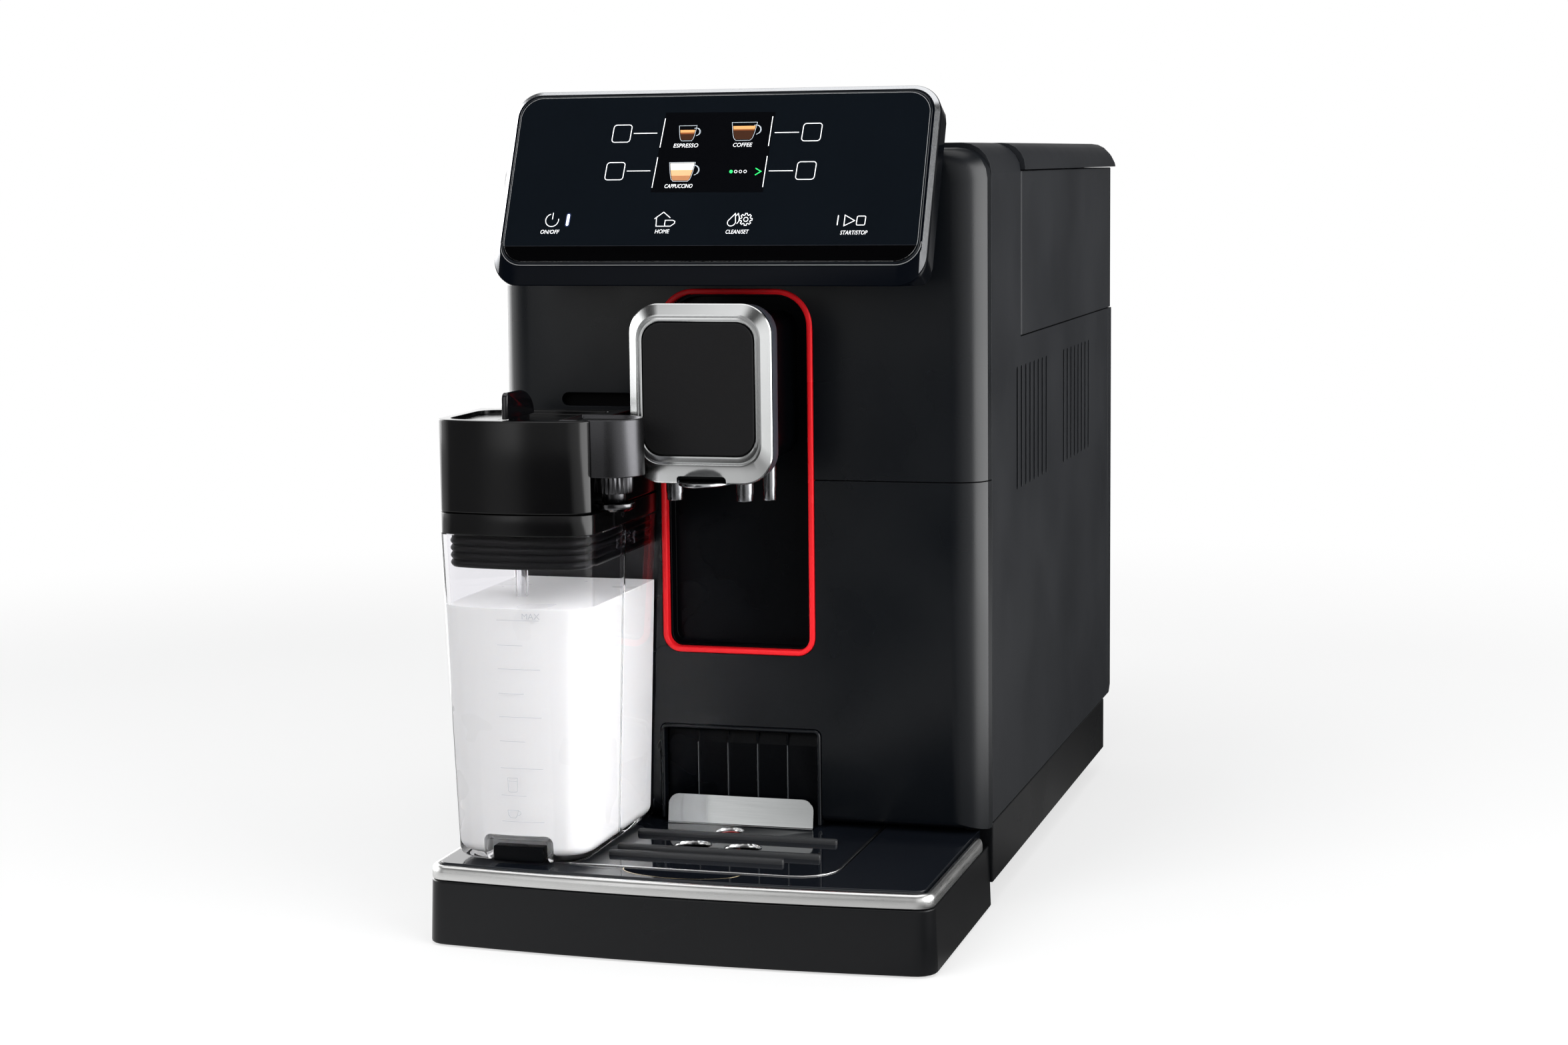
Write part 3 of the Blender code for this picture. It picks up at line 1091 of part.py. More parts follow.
def coffee_spout():
    """Height adjustable spout: core, frame, insert, lip and three outlets."""
    seat = SPOUT_FACE + FRAME_BACK
    inset = SPOUT_RIM_INSET
    head_rear = seat + SPOUT_HEAD_DEPTH
    radius = SPOUT_RADIUS - inset
    side = (SPOUT_WIDTH - SPOUT_NECK_WIDTH) / 2
    rise = SPOUT_NECK_RISE
    neck_radius = radius - (side - inset)
    back = CHANNEL_FRONT + CHANNEL_DEPTH - SEAM
    wide = spout_outline(inset, inset, inset, radius)
    slim = spout_outline(side, rise, side, neck_radius)
    body = solid("spout_body", [lay(wide, "Y", seat + GAP), lay(wide, "Y", head_rear - OVERRUN),
                                lay(slim, "Y", head_rear), lay(slim, "Y", back)], GLOSS_BLACK)
    low, high, border = FRAME_LOW_BORDER, FRAME_TOP_BORDER, FRAME_SIDE_BORDER
    inner = INSERT_RADIUS
    face = SPOUT_FACE
    mid = (SPOUT_RADIUS + inner) / 2
    rings = [lay(spout_outline(0, 0, 0, SPOUT_RADIUS), "Y", seat),
             lay(spout_outline(0, 0, 0, SPOUT_RADIUS), "Y", face + FRAME_SHOULDER),
             lay(spout_outline(border / 2, low / 2, high / 2, mid), "Y", face - FRAME_CREST / 2),
             lay(spout_outline(border, low, high, inner), "Y", face - FRAME_CREST),
             lay(spout_outline(border, low, high, inner), "Y", seat)]
    frame = solid("spout_frame", rings, SILVER, cyclic=True)
    half = NOTCH_WIDTH / 2
    notch = outline(-half, half, SPOUT_LOW - OVERRUN, SPOUT_LOW + NOTCH_HEIGHT,
                    (0, 0, NOTCH_RADIUS, NOTCH_RADIUS), 3)
    combine(frame, prism("spout_notch", notch, "Y", face - OVERRUN, seat + GAP))
    grow = border + GAP
    plate = [lay(spout_outline(grow, low + GAP, high + GAP, inner - GAP), "Y", seat),
             lay(spout_outline(grow, low + GAP, high + GAP, inner - GAP), "Y", face - FRAME_CREST / 2),
             lay(spout_outline(grow + INSERT_CROWN, low + GAP + INSERT_CROWN, high + GAP + INSERT_CROWN,
                               inner - GAP - INSERT_CROWN), "Y", face - FRAME_CREST)]
    insert = solid("spout_insert", plate, MATT_BLACK)
    floor = SPOUT_LOW + inset
    pieces = [body, frame, insert, finger_lip(floor)]
    for name, sign in (("coffee_nozzle_left", -1), ("coffee_nozzle_right", 1)):
        pieces.append(nozzle(name, (sign * NOZZLE_SPREAD, face + NOZZLE_SETBACK), floor - GAP, NOZZLE_LENGTH,
                             NOZZLE_RADIUS, NOZZLE_TIP_RADIUS, NOZZLE_BORE))
    water_top = SPOUT_LOW + rise - GAP
    water_x = SPOUT_NECK_WIDTH / 2 - WATER_NOZZLE_INSET
    pieces.append(nozzle("hot_water_nozzle", (water_x, face + WATER_NOZZLE_SETBACK), water_top,
                         WATER_NOZZLE_LENGTH, WATER_NOZZLE_RADIUS, WATER_NOZZLE_RADIUS, WATER_NOZZLE_BORE))
    carry("coffee_spout_carrier", (0, face, SPOUT_LOW), pieces)


def finger_lip(top):
    """Half oval plate under the spout for lifting it."""
    points = []
    sides = 2 * CORNER_STEPS
    rear = SPOUT_FACE + NOZZLE_SETBACK - NOZZLE_RADIUS - GAP
    for k in range(sides + 1):
        turn = math.pi + math.pi * k / sides
        points.append((LIP_WIDTH / 2 * math.cos(turn), rear + LIP_REACH * math.sin(turn)))
    return prism("spout_finger_lip", points, "Z", top - GAP - LIP_THICKNESS, top - GAP, CHROME)


def nozzle(name, centre, top, length, radius, tip_radius, bore):
    """Short tube with a blind bore that opens downwards."""
    tip = top - length
    profile = [(radius, top), (radius, tip + length / 3), (tip_radius, tip), (bore, tip),
               (bore, top - length / 3)]
    return turned(name, profile, "Z", centre, CHROME, 16)


def tray_plan(half, front, rear, corner, bow):
    """Plan of the tray: rounded front corners and a front edge that bows forward."""
    points = [(half, rear), (-half, rear)]
    reach = half - corner
    for k in range(CORNER_STEPS + 1):
        turn = math.radians(180 + 90 * k / CORNER_STEPS)
        points.append((-reach + corner * math.cos(turn), front + bow + corner + corner * math.sin(turn)))
    for k in range(1, TRAY_BOW_STEPS):
        across = 2 * k / TRAY_BOW_STEPS - 1
        points.append((reach * across, front + bow * across * across))
    for k in range(CORNER_STEPS + 1):
        turn = math.radians(270 + 90 * k / CORNER_STEPS)
        points.append((reach + corner * math.cos(turn), front + bow + corner + corner * math.sin(turn)))
    return points


def tray_outline(inset, rear):
    return tray_plan(TRAY_TOP_WIDTH / 2 - inset, TRAY_FRONT + TRAY_DRAFT + inset, rear,
                     TRAY_CORNER - min(inset, TRAY_CORNER / 2), TRAY_BOW)


def drip_tray_shell():
    """Deep basin whose walls lean out a little towards the foot."""
    low = TRAY_CLEARANCE
    rear = TRAY_REAR
    wall = TRAY_WALL
    rings = [lay(tray_outline(-TRAY_DRAFT, rear), "Z", low), lay(tray_outline(0, rear), "Z", TRAY_BODY_TOP),
             lay(tray_outline(wall, rear - wall), "Z", TRAY_BODY_TOP),
             lay(tray_outline(wall, rear - wall), "Z", low + wall)]
    return solid("drip_tray", rings, SATIN_BLACK)


def tray_band():
    """Steel strip round the front and both sides."""
    rear = FRONT + BAND_END_SETBACK
    outer = tray_outline(0, rear)
    inner = tray_outline(BAND_WIDTH, rear)
    loop = outer[1:] + outer[:1] + inner[:1] + list(reversed(inner[1:]))
    band = prism("tray_band", loop, "Z", TRAY_BODY_TOP + GAP, TRAY_BODY_TOP + BAND_HEIGHT, STEEL)
    soften(band, BAND_EDGE)
    return band


def grille_outline(grow):
    half = GRILLE_WIDTH / 2 + grow
    radius = GRILLE_RADIUS + grow
    return outline(-half, half, GRILLE_FRONT - grow, GRILLE_REAR, (radius, radius, 0, 0))


def tray_cover():
    """Glossy top plate with a finger slot and the opening for the cup grille."""
    top = TRAY_SURFACE
    low = top - COVER_PLATE
    rear = TRAY_REAR
    inset = BAND_WIDTH + GAP
    cover = prism("tray_cover", tray_outline(inset, rear), "Z", low, top, GLOSS_BLACK)
    combine(cover, prism("grille_hole", grille_outline(GRILLE_RIM + GAP), "Z", low + GRILLE_REST_DEPTH,
                         top + OVERRUN))
    well = grille_outline(-GRILLE_RADIUS / 2)
    combine(cover, prism("grille_well", well, "Z", low - OVERRUN, top + OVERRUN))
    half = FINGER_WIDTH / 2
    slot = [(half, FINGER_REAR)]
    for k in range(1, 2 * CORNER_STEPS):
        turn = math.pi * k / (2 * CORNER_STEPS)
        slot.append((half * math.cos(turn), FINGER_REAR - FINGER_DEPTH * math.sin(turn)))
    slot.append((-half, FINGER_REAR))
    combine(cover, prism("finger_slot", list(reversed(slot)), "Z", low - OVERRUN, top + OVERRUN))
    return cover


def cup_grille():
    """Ribbed insert with its drain holes, and a recess for the foot of the splash plate."""
    top = TRAY_SURFACE
    low = top - COVER_PLATE + GRILLE_REST_DEPTH + GAP
    grille = prism("cup_grille", grille_outline(0), "Z", low, top, SATIN_BLACK)
    radius = RIB_WIDTH / 2
    left, _ = grille_place(-RIB_LEFT_SHARE, 0)
    for k, (along_share, right_share) in enumerate(RIB_SHARES):
        right, along = grille_place(right_share, along_share)
        rib = outline(left, right, along - radius, along + radius, (radius,) * 4, 2)
        combine(grille, prism(f"grille_rib_{k}", rib, "Z", low + GAP, top + RIB_PROUD), "UNION")
    half = PLATE_WIDTH / 2 + GAP
    recess = block("plate_recess", (-half, PLATE_REAR - PLATE_FOOT - GAP, top - PLATE_THICKNESS - GAP),
                   (half, PLATE_REAR + PLATE_THICKNESS + GAP, top + GAP))
    combine(grille, recess)
    holes = [(grille_place(*shares), DRAIN_RADIUS) for shares in DRAIN_SHARES]
    holes.append((grille_place(*FLOAT_SHARES), FLOAT_HOLE))
    for k, (centre, size) in enumerate(holes):
        profile = [(size, low - OVERRUN), (size, top + OVERRUN)]
        combine(grille, turned(f"grille_hole_{k}", profile, "Z", centre))
    return grille


def grille_place(across_share, along_share):
    """A place on the grille, as shares of its half width and of its depth from its front edge."""
    return across_share * GRILLE_WIDTH / 2, GRILLE_FRONT + along_share * (GRILLE_REAR - GRILLE_FRONT)


def grille_rim():
    """Steel edge round the front and sides of the grille."""
    low = TRAY_SURFACE - COVER_PLATE + GRILLE_REST_DEPTH + GAP
    outer = grille_outline(GRILLE_RIM)
    inner = grille_outline(GAP)
    outer_rear = [point for point in outer if point[1] < GRILLE_REAR]
    inner_rear = [point for point in inner if point[1] < GRILLE_REAR]
    end = GRILLE_REAR - GAP
    outer_loop = [(outer_rear[0][0], end)] + outer_rear + [(outer_rear[-1][0], end)]
    inner_loop = [(inner_rear[0][0], end)] + inner_rear + [(inner_rear[-1][0], end)]
    rim = prism("grille_rim", outer_loop + list(reversed(inner_loop)), "Z", low,
                TRAY_SURFACE + GRILLE_RIM_PROUD, STEEL)
    return rim


def splash_plate():
    """Upright steel lip with round top corners, bent forward into a short foot."""
    low = TRAY_SURFACE - PLATE_THICKNESS
    half = PLATE_WIDTH / 2
    radius = PLATE_LIP_RADIUS
    lip = prism("splash_plate", outline(-half, half, low, TRAY_SURFACE + PLATE_LIP, (0, 0, radius, radius)),
                "Y", PLATE_REAR, PLATE_REAR + PLATE_THICKNESS, STEEL)
    foot = block("plate_foot", (-half, PLATE_REAR - PLATE_FOOT, low),
                 (half, PLATE_REAR + PLATE_THICKNESS / 2, TRAY_SURFACE))
    combine(lip, foot, "UNION")
    return lip


def tray_float():
    """Red float that shows through its hole as the basin fills."""
    low = TRAY_CLEARANCE + TRAY_WALL + GAP
    top = TRAY_SURFACE - FLOAT_BELOW_TOP
    profile = [(FLOAT_FOOT_RADIUS, low), (FLOAT_FOOT_RADIUS, low + FLOAT_FOOT),
               (FLOAT_RADIUS, low + FLOAT_FOOT), (FLOAT_RADIUS, top - FLOAT_GUIDE / 2),
               (FLOAT_RADIUS - FLOAT_GUIDE / 2, top)]
    centre = grille_place(*FLOAT_SHARES)
    piece = turned("tray_float", profile, "Z", centre, RED)
    carry("tray_float_carrier", (*centre, low), [piece])


def inner_tray():
    """Rear part of the tray, which slides on the chassis floor."""
    half = HALF_WIDTH - CHASSIS_WALL - GAP - GAP
    low = FOOT_HEIGHT + CHASSIS_FLOOR + GAP
    top = low + INNER_TRAY_HEIGHT
    front = TRAY_REAR + GAP
    rear = front + INNER_TRAY_REACH
    wall = INNER_TRAY_WALL
    outer = outline(-half, half, front, rear)
    inner = outline(wall - half, half - wall, front + wall, rear - wall)
    return solid("inner_tray", [lay(outer, "Z", low), lay(outer, "Z", top), lay(inner, "Z", top),
                                lay(inner, "Z", low + wall)], SATIN_BLACK)


def grounds_container():
    """Open box behind the front cover, with a ridged face in the recess."""
    half = CONTAINER_WIDTH / 2
    front = FRONT + SURROUND_DEPTH - SURROUND_PROUD
    rear = front + CONTAINER_DEPTH
    low = COVER_LOW
    top = CONTAINER_TOP
    wall = CONTAINER_WALL
    outer = outline(-half, half, front, rear)
    inner = outline(wall - half, half - wall, front + wall, rear - wall)
    slope = outline(-half, half, front + CONTAINER_SLOPE_DEPTH, rear)
    box = solid("grounds_container", [lay(outer, "Z", low), lay(outer, "Z", top - CONTAINER_SLOPE),
                                      lay(slope, "Z", top), lay(inner, "Z", top),
                                      lay(inner, "Z", low + wall)], SATIN_BLACK)
    for k in range(CONTAINER_RIDGES):
        x = (k - (CONTAINER_RIDGES - 1) / 2) * CONTAINER_RIDGE_PITCH
        ridge_half = CONTAINER_RIDGE_WIDTH / 2
        ridge = block(f"container_ridge_{k}", (x - ridge_half, front - CONTAINER_RIDGE_PROUD, low),
                      (x + ridge_half, front + wall / 2, top - GAP))
        combine(box, ridge, "UNION")
    foot_low = FOOT_HEIGHT + CHASSIS_FLOOR + 2 * wall
    legs = block("container_foot", (wall - half, TRAY_REAR + GAP + 2 * wall, foot_low),
                 (half - wall, rear - wall, low + wall / 2))
    combine(box, legs, "UNION")
    return box


def drip_tray():
    pieces = [drip_tray_shell(), tray_band(), tray_cover(), cup_grille(), grille_rim(), splash_plate(),
              inner_tray(), grounds_container()]
    carry("drip_tray_carrier", (0, TRAY_FRONT, TRAY_CLEARANCE), pieces)
    tray_float()


def carafe_outline(inset, side_taper=0, front_taper=0, step=0):
    """Plan of the carafe: bowed front, rounded front corners and a small step on the right side."""
    left = CARAFE_LEFT + inset + side_taper
    right = CARAFE_RIGHT - inset - side_taper
    front = CARAFE_FRONT + inset + front_taper
    rear = CARAFE_REAR - inset
    radius = JUG_RADIUS - inset / 2
    bend = CARAFE_FRONT + JUG_STEP_SETBACK
    points = [(right - step, rear), (left, rear)]
    for k in range(CORNER_STEPS + 1):
        turn = math.radians(180 + 90 * k / CORNER_STEPS)
        points.append((left + radius + radius * math.cos(turn), front + radius + radius * math.sin(turn)))
    middle = (left + right) / 2
    reach = (right - left) / 2 - radius
    for k in range(1, 4):
        across = k / 2 - 1
        points.append((middle + reach * across, front - CARAFE_BOW * (1 - across * across)))
    for k in range(CORNER_STEPS + 1):
        turn = math.radians(270 + 90 * k / CORNER_STEPS)
        points.append((right - radius + radius * math.cos(turn), front + radius + radius * math.sin(turn)))
    points.append((right, bend))
    points.append((right - step, bend + step))
    return points


def jug_rings(inset, low, top, low_round, step):
    """Rings of the tapered jug from its rounded foot to its rim."""
    taper, front = JUG_TAPER, JUG_FRONT_TAPER
    share = low_round / (top - low)
    return [lay(carafe_outline(inset + low_round, taper, front, step), "Z", low),
            lay(carafe_outline(inset + low_round / 3, taper, front, step), "Z", low + low_round / 3),
            lay(carafe_outline(inset, taper * (1 - share), front * (1 - share), step), "Z", low + low_round),
            lay(carafe_outline(inset, 0, 0, step), "Z", top)]


def front_notch(name, grow):
    """Block that forms the finger notch at the foot of the jug's front."""
    half = FRONT_NOTCH_WIDTH / 2 + grow
    rear = CARAFE_FRONT + JUG_FRONT_TAPER + FRONT_NOTCH_DEPTH + grow
    points = outline(CARAFE_MIDDLE - half, CARAFE_MIDDLE + half, CARAFE_LOW - OVERRUN,
                     CARAFE_LOW + FRONT_NOTCH_HEIGHT + grow,
                     (0, 0, NOTCH_RADIUS + grow, NOTCH_RADIUS + grow), 3)
    return prism(name, points, "Y", CARAFE_FRONT - CARAFE_BOW - OVERRUN, rear)


def carafe_jug():
    jug = solid("carafe_jug", jug_rings(0, CARAFE_LOW, JUG_RIM, JUG_LOW_ROUND, JUG_STEP), CLEAR)
    hollow = solid("jug_hollow", jug_rings(JUG_WALL, CARAFE_LOW + JUG_FLOOR, JUG_RIM + GAP, JUG_LOW_ROUND,
                                           JUG_STEP))
    combine(hollow, front_notch("notch_wall", JUG_WALL))
    combine(jug, hollow)
    combine(jug, front_notch("notch_cut", 0))
    return jug


def milk_fill():
    """Milk in the jug, up to its level, with room for the suction tube."""
    inset = JUG_WALL + MILK_CLEARANCE
    milk = solid("milk", jug_rings(inset, CARAFE_LOW + JUG_FLOOR + MILK_CLEARANCE, JUG_RIM, JUG_LOW_ROUND,
                                   JUG_STEP), MILK_WHITE)
    over = CARAFE_BOW + OVERRUN
    combine(milk, block("milk_top_cut", (CARAFE_LEFT - over, CARAFE_FRONT - over, MILK_LEVEL),
                        (CARAFE_RIGHT + over, CARAFE_REAR + over, JUG_RIM + OVERRUN)))
    combine(milk, front_notch("milk_notch", JUG_WALL + MILK_CLEARANCE))
    radius = TUBE_RADIUS + GAP
    combine(milk, turned("milk_tube_bore", [(radius, CARAFE_LOW - OVERRUN), (radius, JUG_RIM)], "Z",
                         TUBE_CENTRE))
    return milk


def lid_gasket():
    """Ribbed plug of the lid that seals in the jug's mouth."""
    low = COLLAR_LOW - GASKET_HEIGHT
    pitch = GASKET_HEIGHT / GASKET_RIBS
    rings = []
    for k in range(GASKET_RIBS):
        foot = low + k * pitch
        deep = GASKET_INSET + GASKET_RIB_DEPTH
        for inset, level in ((deep, foot), (GASKET_INSET, foot + pitch / 4), (GASKET_INSET, foot + pitch / 2),
                             (deep, foot + 3 * pitch / 4)):
            rings.append(lay(carafe_outline(inset, 0, 0, JUG_STEP), "Z", level))
    rings.append(lay(carafe_outline(GASKET_INSET, 0, 0, JUG_STEP), "Z", COLLAR_LOW - GAP))
    return solid("lid_gasket", rings, RUBBER)


def suction_tube():
    """Clear tube from the lid down into the milk."""
    top = COLLAR_LOW - GASKET_HEIGHT - GAP
    low = CARAFE_LOW + JUG_FLOOR + TUBE_ABOVE_FLOOR
    profile = [(TUBE_RADIUS, top), (TUBE_RADIUS, low), (TUBE_BORE, low), (TUBE_BORE, top - TUBE_ABOVE_FLOOR)]
    return turned("suction_tube", profile, "Z", TUBE_CENTRE, CLEAR, 12)


def arm_track_low():
    return CARAFE_TOP - ARM_BAR_HEIGHT


def carafe_cover():
    """Upper lid with the open bay of the milk arm, the track of its bar and a lower rear deck."""
    top = CARAFE_TOP
    cover = prism("carafe_cover", carafe_outline(0, 0, 0, JUG_STEP), "Z", CARAFE_COVER_LOW, top, SATIN_BLACK)
    middle = ARM_CENTRE[1]
    reach = ARM_RADIUS + GAP
    bay = block("arm_bay", (ARM_BAY_LEFT, middle - reach, CARAFE_COVER_LOW - OVERRUN),
                (CARAFE_RIGHT + OVERRUN, middle + reach, top + OVERRUN))
    combine(cover, bay)
    half = ARM_BAR_WIDTH / 2 + GAP
    track = block("arm_track", (ARM_BAR_LEFT - GAP, middle - half, arm_track_low() - GAP),
                  (ARM_BAY_LEFT + OVERRUN, middle + half, top + OVERRUN))
    combine(cover, track)
    deck_low = (CARAFE_LEFT - OVERRUN, CARAFE_REAR - CARAFE_DECK_DEPTH, top - CARAFE_DECK_DROP)
    deck = block("rear_deck", deck_low, (CARAFE_RIGHT + OVERRUN, CARAFE_REAR + OVERRUN, top + OVERRUN))
    combine(cover, deck)
    return cover


def milk_arm():
    """Sliding arm: a round head over the parking cap and a bar in the lid's track."""
    top = CARAFE_TOP
    x, y = ARM_CENTRE
    arm = turned("milk_arm", [(ARM_RADIUS, top - ARM_HEIGHT), (ARM_RADIUS, top)], "Z", ARM_CENTRE,
                 SATIN_BLACK, 28)
    half = ARM_BAR_WIDTH / 2
    bar = block("arm_bar", (ARM_BAR_LEFT, y - half, arm_track_low()), (x, y + half, top))
    combine(arm, bar, "UNION")
    root = block("arm_root", (ARM_BAY_LEFT + GAP, y - ARM_RADIUS, top - ARM_HEIGHT),
                 (x, y + ARM_RADIUS, top))
    combine(arm, root, "UNION")
    radius = ARM_RADIUS - ARM_TOP_RIM
    dish = turned("arm_dish", [(radius, top - ARM_TOP_RECESS), (radius, top + OVERRUN)], "Z", ARM_CENTRE,
                  None, 28)
    combine(arm, dish)
    return arm


def slide_tab():
    """Upright fin on the arm's bar, with a rounded back."""
    low = CARAFE_TOP + GAP
    front = CARAFE_FRONT + TAB_FRONT_SETBACK
    rear = front + TAB_LENGTH
    x = CARAFE_MIDDLE - TAB_OFFSET
    points = outline(front, rear, low, low + TAB_HEIGHT, (0, 0, TAB_HEIGHT - GAP, TAB_NOSE))
    return prism("slide_tab", points, "X", x - TAB_THICKNESS / 2, x + TAB_THICKNESS / 2, GLOSS_BLACK)


def milk_nozzle():
    """Ribbed outlet under the arm's head with a narrower tip."""
    top = CARAFE_TOP - ARM_HEIGHT - GAP
    middle = top - MILK_NOZZLE_HEIGHT
    x, y = ARM_CENTRE

    def ribbed(radius, cut, level):
        points = []
        for k in range(2 * MILK_NOZZLE_RIBS):
            size = radius - cut * (k % 2)
            turn = math.pi * k / MILK_NOZZLE_RIBS
            points.append((x + size * math.cos(turn), y + size * math.sin(turn), level))
        return points

    rings = [ribbed(MILK_NOZZLE_TIP_RADIUS, 0, middle - MILK_NOZZLE_TIP),
             ribbed(MILK_NOZZLE_TIP_RADIUS, 0, middle),
             ribbed(MILK_NOZZLE_RADIUS, MILK_NOZZLE_RIB_CUT, middle),
             ribbed(MILK_NOZZLE_RADIUS, MILK_NOZZLE_RIB_CUT, top)]
    return solid("milk_nozzle", rings, CHROME)


def parking_cap():
    """Dished cap on the collar, right under the milk nozzle."""
    low = COLLAR_TOP + GAP
    top = low + PARKING_HEIGHT
    dish = PARKING_DISH
    profile = [(PARKING_RADIUS - dish, low), (PARKING_RADIUS, low + dish), (PARKING_RADIUS, top),
               (PARKING_RADIUS - dish, top), (PARKING_RADIUS - 2 * dish, top - dish)]
    return turned("parking_cap", profile, "Z", ARM_CENTRE, CHROME, 24)


def milk_carafe():
    plan = carafe_outline(0, 0, 0, JUG_STEP)
    collar = prism("carafe_collar", plan, "Z", COLLAR_LOW, COLLAR_TOP, SATIN_BLACK)
    pieces = [carafe_jug(), milk_fill(), lid_gasket(), suction_tube(), collar, carafe_cover(), parking_cap()]
    carry("milk_carafe_carrier", (CARAFE_LEFT, CARAFE_FRONT, CARAFE_LOW), pieces)
    carry("milk_arm_carrier", (*ARM_CENTRE, CARAFE_TOP), [milk_arm(), slide_tab(), milk_nozzle()])


def main():
    clear_scene()
    chassis_and_feet()
    inner_frame()
    main_housing()
    service_door()
    front_covers()
    container_surround()
    trim_and_channel()
    rear_panel()
    power_inlet()
    power_switch()
    water_tank()
    top_cover()
    hopper_lid()
    bean_hopper()
    grind_knob()
    pre_ground_chute()
    machinery()
    control_panel()
    coffee_spout()
    drip_tray()
    milk_carafe()


main()
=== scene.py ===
"""Looks of a bean to cup coffee machine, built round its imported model.

Lengths are in metres in the model's own frame: X to the right, Y to the back and Z up.
Each sub-assembly is a class whose fields hold its sizes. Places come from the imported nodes.
"""
import json
import logging
from collections.abc import Callable, Iterable, Sequence
from dataclasses import dataclass, field
from enum import Enum
from math import copysign, cos, pi, radians, sin, tan

import bmesh
import bpy
from mathutils import Matrix, Vector
from mathutils.bvhtree import BVHTree


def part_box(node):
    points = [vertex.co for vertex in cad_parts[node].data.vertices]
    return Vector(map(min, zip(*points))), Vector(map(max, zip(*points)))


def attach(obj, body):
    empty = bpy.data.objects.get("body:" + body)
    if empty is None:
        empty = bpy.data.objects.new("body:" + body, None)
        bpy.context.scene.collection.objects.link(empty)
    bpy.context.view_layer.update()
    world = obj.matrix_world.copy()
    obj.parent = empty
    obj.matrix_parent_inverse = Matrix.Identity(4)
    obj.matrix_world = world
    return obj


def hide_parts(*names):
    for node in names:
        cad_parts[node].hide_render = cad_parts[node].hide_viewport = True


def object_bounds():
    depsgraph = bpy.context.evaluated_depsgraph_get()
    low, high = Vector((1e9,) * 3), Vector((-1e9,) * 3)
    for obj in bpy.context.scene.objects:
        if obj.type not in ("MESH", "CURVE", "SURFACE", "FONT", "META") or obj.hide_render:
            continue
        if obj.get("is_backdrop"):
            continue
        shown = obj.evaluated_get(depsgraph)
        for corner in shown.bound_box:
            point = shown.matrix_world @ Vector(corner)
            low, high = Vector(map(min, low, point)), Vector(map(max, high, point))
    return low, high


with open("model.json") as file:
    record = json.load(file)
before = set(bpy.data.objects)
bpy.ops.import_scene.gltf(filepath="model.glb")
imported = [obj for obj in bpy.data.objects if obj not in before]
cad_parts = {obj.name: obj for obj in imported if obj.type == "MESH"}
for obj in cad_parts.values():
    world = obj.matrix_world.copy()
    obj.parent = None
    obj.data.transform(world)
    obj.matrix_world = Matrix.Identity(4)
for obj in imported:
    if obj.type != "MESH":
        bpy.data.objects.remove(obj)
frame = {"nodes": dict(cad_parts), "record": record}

MM = 0.001
Flat = tuple[float, float]
Point = tuple[float, float, float]
Colour = tuple[float, float, float]
Ring = list[Point]
Section = tuple[tuple[float, float, float, float], ...]
Words = tuple[tuple[str, float, float, float], ...]
Piece = bpy.types.Object
Shape = bmesh.types.BMesh
Material = bpy.types.Material
Socket = bpy.types.NodeSocket

# Degrees between two faces above which their edge stays sharp, and above which it is rounded.
SHARP = 32.0
EASED = 34.0
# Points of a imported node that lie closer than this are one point.
WELD = 0.004 * MM
# Sides of a turned circle, and steps of a slab's rounded rim.
SIDES = 48
RIM_STEPS = 4
# Range in which most of a noise pattern lies.
MIDDLE_SHADES = (0.3, 0.7)
# Run of the lines in a metal that shows none, and the height of the finest lines.
EVEN = (1, 1, 1)
FAINT = 0.001 * MM

log = logging.getLogger("coffee_machine")


class Axis(Enum):
    """Direction along which a flat outline is drawn out."""

    X = 0
    Y = 1
    Z = 2


class Shaping(Enum):
    """How one closed shape changes another."""

    CUT = "DIFFERENCE"
    MEET = "INTERSECT"


